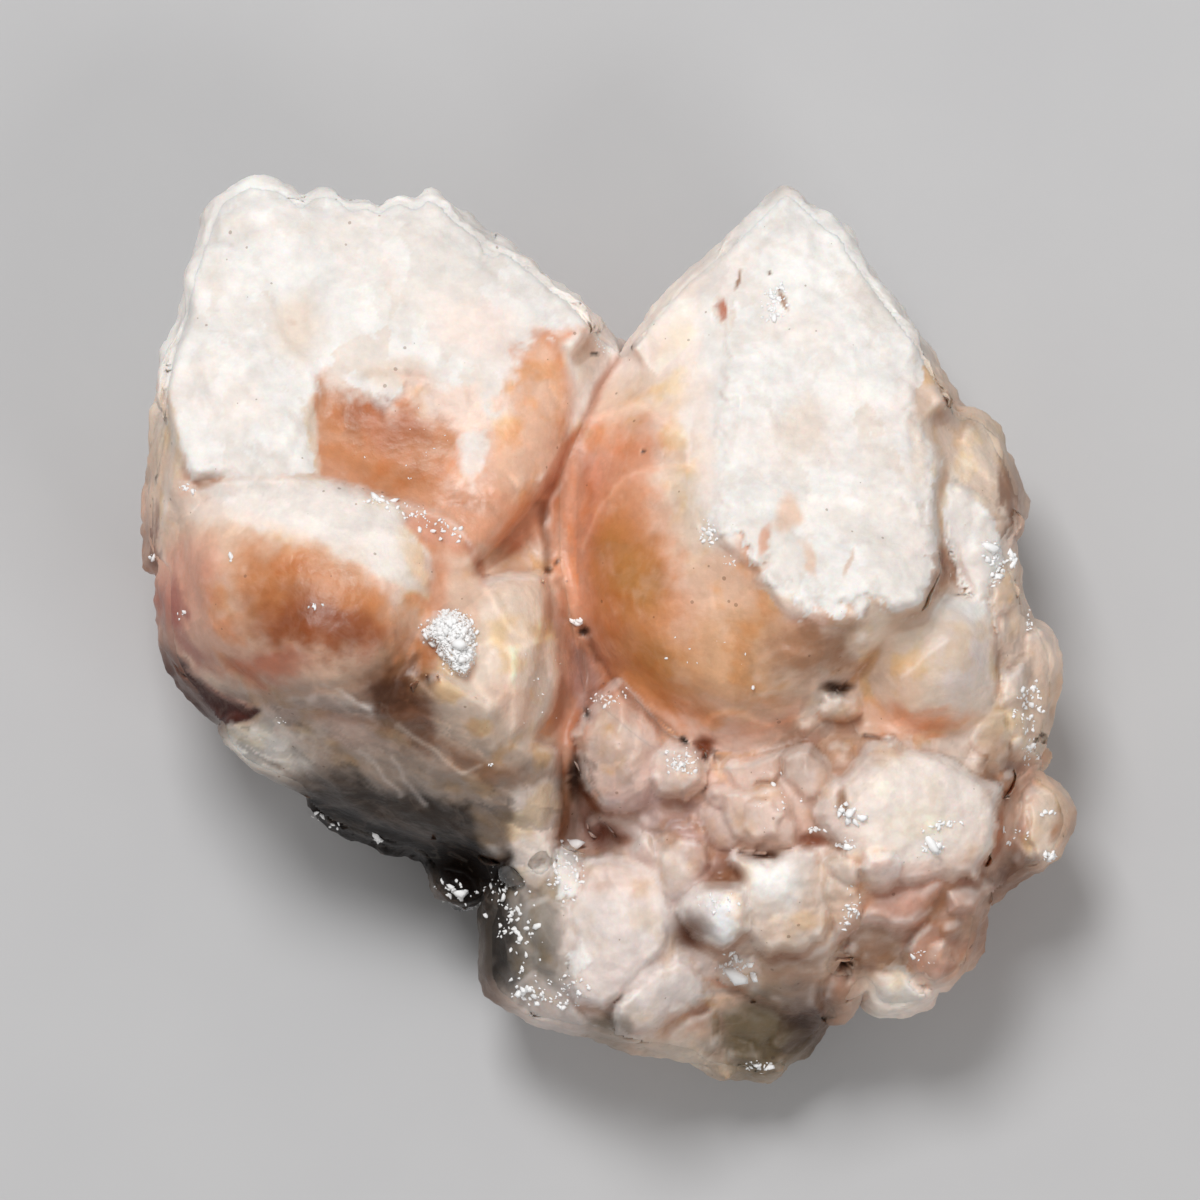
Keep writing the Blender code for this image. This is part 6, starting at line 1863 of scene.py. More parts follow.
def painted(pixels: np.ndarray, points: np.ndarray) -> np.ndarray:
    """Lays the stains and fields over each other, their places shifted a little by noise.

    Args:
        pixels: the pixels over the points.
        points: places in millimetres, three to a row.

    Returns:
        Red, green and blue as light, three to a row.
    """
    drift = strayed(points, 6.0, 3, 71) + 0.75 * strayed(points, 1.5, 4, 76)
    moved = pixels + 10.0 * drift
    colour = np.tile(Tone.TAN.light, (len(points), 1))
    for tone, size, seed in ((Tone.PALE_PEACH, 9.0, 73), (Tone.SMOKY_LIGHT, 7.0, 74), (Tone.SALMON, 8.0, 75)):
        share = 0.8 * ramp(Noise(size, 3, seed).at(points), 0.0, 0.6)[:, None]
        colour += (tone.light - colour) * share
    for stain in STAINS:
        colour += (stain.tone.light - colour) * stain.cover(moved)[:, None]
    for area in FIELDS:
        colour += (area.tone.light - colour) * area.cover(pixels + area.drift * drift)[:, None]
    puffs = 0.13 * ramp(Noise(2.4, 5, 78).at(points), 0.1, 0.8) * ramp(colour.mean(axis=1), 0.06, 0.25)
    colour += (Tone.PINK_FROST.light - colour) * puffs[:, None]
    depth = 0.04 + 0.26 * ramp(Noise(3.2, 5, 79).at(points), 0.0, 0.8)
    return colour * (1.0 - depth[:, None] * np.array([0.4, 0.8, 1.5]) * ramp(1.0 - colour, 0.15, 0.6))


@dataclass
class Face:
    """Works the upper face: smooths, grows, covers and colours it, and cuts it into closed sheets.

    Attributes:
        relief: the heights and colours.
        depth: thickness of the sheets in millimetres.
        margin: millimetres from the specimen's edge to the sheets' edge.
    """

    relief: Relief
    depth: float = 3.2
    margin: float = 0.9

    def shape(self) -> None:
        """Smooths the waxy faces, grows small forms, and adds plates, blocks, seams, pits and frost."""
        relief = self.relief
        form = relief.height.shape
        pixels, places = relief.pixels, relief.places
        waxy, crumbly, swell = (values.reshape(form) for values in character(pixels))
        crisp = relief.soft(relief.height, 0.3)
        melted = relief.soft(relief.soft(relief.height, 1.5), 1.2)
        height = crisp + (melted - crisp) * waxy * ramp(relief.inside, 0.6, 3.2)
        calm = relief.soft(relief.soft(relief.height, 3.0), 2.4)
        for outline in HEALED.values():
            height += (calm - height) * ramp(depth_inside(pixels, outline), -4.0, 14.0).reshape(form)
        rise, lighter = grown(places, crumbly.ravel(), swell.ravel())
        height += rise.reshape(form)
        ragged = pixels + 3.4 * strayed(places, 3.0, 3, 21)
        for plate in PLATES:
            depth = depth_inside(ragged, plate.outline)
            height += (plate.rise * ramp(depth, -plate.bank, plate.bank)).reshape(form)
            lighter += plate.lift_tone * np.exp(-(((depth - 1.5) / 3.5) ** 2))
        for growth in GROWTHS:
            step, brighter = growth.at(pixels, places)
            height += step.reshape(form)
            lighter += brighter
        relief.height = height
        colour = painted(pixels, places) * (1.0 + lighter)[:, None]
        relief.colour = colour.reshape(*form, 3)
        ground = relief.soft(relief.height, 0.9)
        for number, block in enumerate(BLOCKS):
            block.stamp(relief, ground, number)
        floor = relief.soft(relief.height, 2.4) - 0.22 - 0.42 * crumbly
        relief.height = joined(relief.height, floor, 7.0)
        # Seams lay their tones along them; the browns in the valley and the slits are painted shade.
        for seam in SEAMS:
            share = seam.cover(ragged).reshape(form)
            relief.height += seam.rise * share
            relief.colour += (seam.tone.light - relief.colour) * (seam.strength * share)[..., None]
        # Each pit's floor takes its tone; the browns and blacks are painted shade in the hollow.
        for pit in PITS:
            share = pit.cover(ragged).reshape(form)
            relief.height -= pit.depth * share
            relief.colour += (pit.tone.light - relief.colour) * (0.95 * share)[..., None]
        for crust in CRUSTS:
            crust.cover(relief)
        self.shade()
        whiteness = relief.colour.min(axis=2)
        relief.frost = np.maximum(relief.frost, ramp(whiteness, 0.4, 0.8))

    def shade(self) -> None:
        """Deepens and warms what lies below a higher neighbour towards +Y, and pales what faces that way.

        The light of the photograph comes from there and goes into the stone, so that the far sides of
        the crystals and the gaps stay warm and dark. Only the fine relief counts, not the large forms.
        """
        relief = self.relief
        well_in = ramp(relief.inside, 0.8, 3.0)
        light = relief.colour.mean(axis=2)
        near, wide = (relief.soft(relief.height, width) for width in (0.9, 3.2))
        smooth = relief.soft(relief.height, 0.35)
        detail, form = smooth - near, smooth - wide
        over = np.maximum(*(np.roll(form, (step, -3 * step), (0, 1)) - 0.25 * step for step in (1, 2))) - form
        facing = detail - np.roll(detail, (1, -2), (0, 1))
        bright = well_in * ramp(facing, 0.02, 0.22) * ramp(light, 0.03, 0.2)
        relief.colour += (Tone.FROST.light - relief.colour) * (0.34 * bright)[..., None]
        sunk = 0.34 * ramp(over, 0.0, 0.9) + 0.20 * ramp(near - relief.height, 0.08, 0.7)
        sunk += 0.22 * ramp(wide - relief.height, 0.5, 3.0)
        relief.colour *= 1.0 - (well_in * sunk)[..., None] * np.array([0.60, 0.90, 1.06])

    def sheets(self, material: bpy.types.Material) -> list[bpy.types.Object]:
        """Cuts the face into three closed sheets that pass under each other where they meet.

        Args:
            material: the stone's finish.

        Returns:
            The finished pieces.
        """
        relief = self.relief
        form = relief.height.shape
        edge = blurred(relief.inside, 1) - self.margin
        pieces = []
        for name, outline in SHEETS.items():
            limit = depth_inside(relief.pixels, outline).reshape(form) / PIXELS_PER_MM
            room = np.minimum(edge, limit + 1.0)
            top = relief.height - 0.3 * (1.0 - ramp(edge, 0.0, 0.55))
            top = top - 0.3 * (1.0 - ramp(limit + 1.0, 0.0, 1.3))
            keep_point = room > 0.0
            keep = keep_point[:-1, :-1] & keep_point[1:, :-1] & keep_point[:-1, 1:] & keep_point[1:, 1:]
            pieces.append(self.close(name, top, keep, material))
        return pieces

    def close(
        self, name: str, top: np.ndarray, keep: np.ndarray, material: bpy.types.Material
    ) -> bpy.types.Object:
        """Gives a sheet an underside and walls, and joins them in one closed mesh.

        Args:
            name: the piece's name.
            top: the sheet's height.
            keep: which cells of the grid belong to it.
            material: its finish.

        Returns:
            The finished piece.
        """
        relief = self.relief
        rows, columns = top.shape
        number = np.arange(rows * columns).reshape(rows, columns)
        quads = np.stack([number[:-1, :-1], number[1:, :-1], number[1:, 1:], number[:-1, 1:]], axis=2)[keep]
        total = rows * columns
        padded = np.pad(keep, 1)
        walls = []
        for (right, up), (first, second) in {
            (0, -1): (0, 1), (1, 0): (1, 2), (0, 1): (2, 3), (-1, 0): (3, 0)
        }.items():
            beyond = padded[1 + right : rows + right, 1 + up : columns + up]
            bare = (keep & ~beyond)[keep]
            start, end = quads[bare][:, first], quads[bare][:, second]
            walls.append(np.stack([start, start + total, end + total, end], axis=1))
        faces = np.concatenate([quads, quads[:, ::-1] + total, *walls])
        above = np.stack([relief.x.ravel(), relief.y.ravel(), top.ravel()], axis=1)
        points = np.concatenate([above, above - np.array([0.0, 0.0, self.depth])])
        colours = np.tile(relief.colour.reshape(-1, 3), (2, 1))
        frost = np.tile(relief.frost.ravel(), 2)
        used = np.unique(faces)
        renumber = np.full(2 * total, -1)
        renumber[used] = np.arange(len(used))
        shell = Shell(name)
        shell.add(points[used], renumber[faces], colours[used], frost[used])
        return shell.build(material)


SHEETS = {
    "left_face": [(90, 120), (626, 120), (626, 345), (598, 392), (580, 430), (560, 480), (560, 560),
        (575, 640), (585, 700), (580, 760), (575, 862), (480, 880), (420, 870), (90, 870)],
    "right_face": [(626, 120), (626, 345), (598, 392), (580, 430), (560, 480), (560, 560), (575, 640),
        (585, 690), (612, 715), (650, 745), (690, 768), (740, 768), (800, 740), (840, 705), (860, 740),
        (920, 752), (990, 760), (1110, 770), (1110, 120)],
    "foot_face": [(575, 862), (580, 760), (585, 690), (612, 715), (650, 745), (690, 768), (740, 768),
        (800, 740), (840, 705), (860, 740), (920, 752), (990, 760), (1110, 770), (1110, 1130),
        (380, 1130), (400, 870), (420, 870), (480, 880)],
}


@dataclass
class Skin:
    """The specimen's surface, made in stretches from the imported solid.

    Attributes:
        seam_sink: how deep a stretch dips at its cut, in millimetres, so that the next one covers it.
        seam_width: millimetres over which it dips.
        melt_passes: how often the facets are smoothed where the crystal is waxiest.
    """

    seam_sink: float = 0.16
    seam_width: float = 2.0
    melt_passes: int = 30

    def source(self) -> bpy.types.Object:
        """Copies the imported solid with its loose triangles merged.

        Returns:
            A hidden object to cut the stretches from.
        """
        shape = bmesh.new()
        shape.from_mesh(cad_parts[NODE].data)
        bmesh.ops.remove_doubles(shape, verts=shape.verts, dist=1e-7)
        mesh = bpy.data.meshes.new("solid_copy")
        shape.to_mesh(mesh)
        shape.free()
        copy = bpy.data.objects.new("solid_copy", mesh)
        bpy.context.scene.collection.objects.link(copy)
        return copy

    def cutter(self, part: SkinPart) -> bpy.types.Object:
        """A straight-sided block over a stretch's outline.

        Args:
            part: the stretch.

        Returns:
            The block.
        """
        shape = bmesh.new()
        corners = to_millimetres(part.outline)
        floor = [shape.verts.new((x * MM, y * MM, part.low * MM)) for x, y in corners]
        base = shape.faces.new(floor)
        risen = bmesh.ops.extrude_face_region(shape, geom=[base])
        moved = [item for item in risen["geom"] if isinstance(item, bmesh.types.BMVert)]
        bmesh.ops.translate(shape, vec=(0, 0, (part.high - part.low) * MM), verts=moved)
        bmesh.ops.recalc_face_normals(shape, faces=shape.faces)
        mesh = bpy.data.meshes.new(part.name + "_cutter")
        shape.to_mesh(mesh)
        shape.free()
        block = bpy.data.objects.new(part.name + "_cutter", mesh)
        bpy.context.scene.collection.objects.link(block)
        return block

    def cut(self, part: SkinPart, source: bpy.types.Object) -> bpy.types.Mesh:
        """Cuts a stretch out of the solid and remeshes it evenly.

        Args:
            part: the stretch.
            source: the merged solid.

        Returns:
            Its closed mesh of small quads.
        """
        block = self.cutter(part)
        keep = source.modifiers.new("keep", "BOOLEAN")
        keep.operation = "INTERSECT"
        keep.solver = "EXACT"
        keep.object = block
        even = source.modifiers.new("even", "REMESH")
        even.mode = "VOXEL"
        even.voxel_size = part.pitch * MM
        bpy.context.view_layer.update()
        evaluated = source.evaluated_get(bpy.context.evaluated_depsgraph_get())
        mesh = bpy.data.meshes.new_from_object(evaluated)
        mesh.name = part.name
        source.modifiers.clear()
        bpy.data.objects.remove(block, do_unlink=True)
        return mesh

    def close_floor(self, mesh: bpy.types.Mesh, part: SkinPart) -> None:
        """Swaps the many small faces of a stretch's hidden flat side for a few large ones.

        Args:
            mesh: the stretch's mesh.
            part: the stretch.
        """
        heights = read_vectors(mesh.vertices, "co")[:, 2] / MM
        level = part.low if part.low > 0 else part.high
        near = np.abs(heights - level) < 0.04
        shape = bmesh.new()
        shape.from_mesh(mesh)
        shape.verts.ensure_lookup_table()
        flat = [face for face in shape.faces if all(near[v.index] for v in face.verts)]
        bmesh.ops.delete(shape, geom=flat, context="FACES")
        rim = [edge for edge in shape.edges if edge.is_boundary]
        bmesh.ops.triangle_fill(shape, use_beauty=False, use_dissolve=False, edges=rim)
        bmesh.ops.recalc_face_normals(shape, faces=shape.faces)
        shape.to_mesh(mesh)
        shape.free()

    def melt(self, points: np.ndarray, edges: np.ndarray, waxy: np.ndarray) -> np.ndarray:
        """Moves each point towards the middle of its neighbours, again and again, as far as it is waxy.

        Args:
            points: places in millimetres, three to a row.
            edges: pairs of neighbours.
            waxy: share of the way that each point goes, 0 to 1.

        Returns:
            The smoothed places.
        """
        count = len(points)
        ends = np.concatenate([edges[:, 0], edges[:, 1]])
        others = np.concatenate([edges[:, 1], edges[:, 0]])
        neighbours = np.maximum(np.bincount(ends, minlength=count), 1)
        pull = (0.55 * waxy)[:, None]
        smooth = points.copy()
        for _ in range(self.melt_passes):
            middle = np.stack(
                [np.bincount(ends, weights=smooth[others, axis], minlength=count) for axis in range(3)],
                axis=1,
            )
            smooth += (middle / neighbours[:, None] - smooth) * pull
        return smooth

    def build_part(
        self, part: SkinPart, source: bpy.types.Object, face: Relief, material: bpy.types.Material
    ) -> bpy.types.Object:
        """Cuts, smooths, raises and colours one stretch, and keeps it below the sheets of the upper face.

        Args:
            part: the stretch.
            source: the merged solid.
            face: the upper face.
            material: the stone's finish.

        Returns:
            The finished piece.
        """
        mesh = self.cut(part, source)
        self.close_floor(mesh, part)
        points = read_vectors(mesh.vertices, "co") / MM
        edges = np.empty(len(mesh.edges) * 2, dtype=np.int64)
        mesh.edges.foreach_get("vertices", edges)
        pixels = to_pixels(points)
        waxy, crumbly, swell = character(pixels)
        grounded = ramp(points[:, 2], 0.2, 2.0)
        smooth = self.melt(points, edges.reshape(-1, 2), 0.5 * waxy * grounded)
        mesh.vertices.foreach_set("co", (smooth * MM).ravel())
        mesh.update()
        normal = read_vectors(mesh.vertices, "normal")

        height, lighter = grown(smooth, crumbly, swell)
        edge = np.minimum(part.high - smooth[:, 2], depth_inside(pixels, part.outline) / PIXELS_PER_MM)
        if part.low > 0:
            edge = np.minimum(edge, smooth[:, 2] - part.low)
        height -= self.seam_sink * (1.0 - ramp(edge, 0.0, self.seam_width))
        placed = smooth + normal * (height * grounded)[:, None]
        x, y, z = placed.T
        room = face.read(blurred(face.inside, 1), x, y)
        roof = face.read(face.height, x, y) - 0.05 * ramp(room, 1.0, 1.3) - 0.9 * ramp(room, 1.4, 2.3)
        upward = ramp(normal[:, 2], 0.0, 0.35) * ramp(room, 0.2, 0.8) * (1.0 - ramp(room, 2.2, 2.8))
        upward *= 1.0 - ramp(np.abs(roof - z), 2.0, 4.5)
        above = (room > 1.0) & (z > roof) & (normal[:, 2] > -0.2)
        placed[:, 2] = np.where(above, roof, z + (roof - z) * upward)
        placed[:, 2] = np.maximum(placed[:, 2], 0.0)

        colour = painted(pixels, points)
        rim_tone = np.stack([face.read(face.spread(face.colour[..., k]), x, y) for k in range(3)], axis=1)
        colour += (rim_tone - colour) * (0.8 * ramp(rim_tone.sum(axis=1), 0.0, 0.1))[:, None]
        colour *= (1.0 + lighter)[:, None]
        mesh.vertices.foreach_set("co", (placed * MM).ravel())
        colour_points(mesh, "tone", np.clip(colour, 0.003, 0.95))
        number_points(mesh, "frost", ramp(colour.min(axis=1), 0.4, 0.8))
        LOG.info("%s: %d faces", part.name, len(mesh.polygons))
        return dress(mesh, part.name, material)

    def build(self, face: Relief, material: bpy.types.Material) -> list[bpy.types.Object]:
        """Builds every stretch and hides the plain solid.

        Args:
            face: the upper face.
            material: the stone's finish.

        Returns:
            The finished pieces.
        """
        source = self.source()
        pieces = [self.build_part(part, source, face, material) for part in SKIN_PARTS]
        bpy.data.objects.remove(source, do_unlink=True)
        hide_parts(NODE)
        return pieces


@dataclass(frozen=True)
class Tuft:
    """The snowy tuft beside the valley: tiny white blades over a heap.

    Attributes:
        outline: its rim, in pixels.
        number: how many blades it has.
        size: their typical length in millimetres.
    """

    outline: Path
    number: int = 1900
    size: float = 0.24

    def build(self, face: Relief, material: bpy.types.Material) -> bpy.types.Object:
        """Sets blades at random spots inside the outline, some a little above the heap.

        Args:
            face: the upper face with the heap.
            material: the frost's finish.

        Returns:
            The finished piece.
        """
        shell = Shell("snowy_tuft")
        draw = np.random.default_rng(77)
        corners = np.array(self.outline)
        tries = draw.uniform(corners.min(axis=0) - 4, corners.max(axis=0) + 4, size=(self.number * 4, 2))
        depth = depth_inside(tries, self.outline) + draw.normal(0.0, 2.0, len(tries))
        chosen = tries[depth > 0.0][: self.number]
        add_bits(shell, face, to_millimetres(chosen), self.size, 0.4, Tone.SNOW, draw, 0.35)
        return shell.build(material)


GROWTHS = [
    Growth("smoky slope", [(190, 690), (300, 690), (400, 690), (470, 720), (580, 760), (580, 880),
        (430, 870), (300, 820), (200, 750)], -38.0, 2.6, 2.4, 0.55, 0.55, 610),
    Growth("peach blocks", [(430, 520), (545, 500), (590, 560), (600, 760), (520, 780), (430, 740)],
        -75.0, 4.0, 1.8, 0.25, 0.16, 620),
    Growth("amber body", [(590, 400), (700, 400), (720, 540), (850, 620), (850, 700), (740, 770),
        (640, 720), (570, 600)], -50.0, 6.0, 1.6, 0.16, 0.14, 630),
    Growth("left crystal's face", [(310, 350), (560, 330), (610, 400), (550, 520), (430, 520),
        (310, 490)], -60.0, 3.2, 2.0, 0.16, 0.18, 640),
    Growth("left frost", [(140, 180), (560, 180), (560, 330), (430, 390), (318, 390), (318, 490),
        (140, 490)], -65.0, 4.6, 2.2, 0.34, 0.12, 650),
    Growth("hump", [(150, 480), (400, 490), (450, 560), (430, 690), (200, 690)], -20.0, 4.5, 1.6, 0.13,
        0.14, 660),
    Growth("right frost", [(700, 180), (860, 180), (930, 360), (930, 620), (760, 620), (690, 500)], -65.0,
        3.0, 1.6, 0.30, 0.08, 670),
    Growth("right side", [(930, 380), (1080, 420), (1080, 880), (990, 880), (980, 620), (930, 560)],
        -60.0, 2.4, 1.8, 0.5, 0.30, 680),
]

HEALED: dict[str, Path] = {
    "lower border of the left frost": [(322, 345), (400, 350), (500, 322), (548, 335), (540, 400),
        (505, 440), (400, 430), (322, 425)],
    "facet groove of the right crystal": [(632, 322), (700, 300), (722, 330), (722, 560), (690, 570),
        (672, 450), (640, 400)],
}

CRUSTS = [
    Crust("left frost", [(140, 330), (150, 200), (230, 140), (470, 150), (600, 270), (582, 326),
        (566, 336), (545, 332), (530, 335), (508, 345), (514, 378), (500, 390), (500, 408), (490, 413),
        (480, 405), (470, 388), (440, 384), (430, 380), (405, 374), (400, 388), (392, 400), (380, 396),
        (362, 396), (346, 396), (330, 392), (316, 384), (304, 410), (300, 440), (210, 440)],
        thickness=0.05, ragged=12.0, lumps=0.20, thin=26.0, grain=2.8, fade=22.0, flatten=0.1),
    Crust("left slab", [(204, 252), (232, 246), (264, 264), (279, 318), (290, 346), (318, 366),
        (316, 395), (304, 410), (312, 440), (316, 474), (260, 480), (196, 481), (185, 450), (176, 398),
        (182, 350), (196, 300)], thickness=0.12, ragged=3.0, lumps=0.14, thin=6.0, grain=2.4, fade=4.0,
        flatten=0.1),
    Crust("right frost", [(775, 150), (830, 190), (880, 240), (910, 310), (930, 350), (912, 388),
        (917, 440), (930, 452), (934, 464), (924, 505), (929, 566), (914, 610), (893, 612), (872, 600),
        (858, 616), (842, 600), (830, 621), (812, 602), (792, 615), (782, 586), (764, 590), (762, 562),
        (744, 556), (740, 534), (722, 540), (712, 520), (716, 490), (720, 400), (722, 320), (722, 268),
        (734, 238), (750, 190)], thickness=0.4, ragged=9.0, lumps=0.75, thin=9.0, grain=1.8, flatten=0.2),
    Crust("soft left side of the right frost", [(700, 260), (740, 240), (760, 400), (740, 560),
        (712, 540), (694, 500), (696, 400)], thickness=0.05, ragged=6.0, lumps=0.15, thin=24.0, grain=3.0,
        fade=26.0, flatten=0.2, cloudy=0.9),
    Crust("frosty tongue", [(462, 438), (486, 432), (492, 448), (482, 470), (474, 486), (464, 474),
        (458, 456)], thickness=0.04, ragged=5.0, lumps=0.05, thin=12.0, grain=1.6, fade=14.0, flatten=0.0,
        cloudy=0.75),
    Crust("right strip", [(944, 486), (962, 490), (978, 505), (996, 530), (1003, 560), (996, 575),
        (986, 590), (984, 612), (972, 600), (955, 580), (944, 545), (938, 510)], thickness=0.4,
        ragged=4.0, lumps=0.35, thin=5.0, grain=1.4),
    Crust("upper crust of the lump", [(554, 846), (568, 843), (583, 862), (577, 874), (581, 888),
        (572, 897), (557, 893), (556, 868)], thickness=0.35, ragged=4.0, lumps=0.3, thin=4.0, grain=1.1),
    Crust("lower crust of the lump", [(567, 966), (568, 952), (582, 936), (590, 958), (584, 970),
        (574, 974)], thickness=0.3, ragged=4.0, lumps=0.3, thin=4.0, grain=1.1),
]

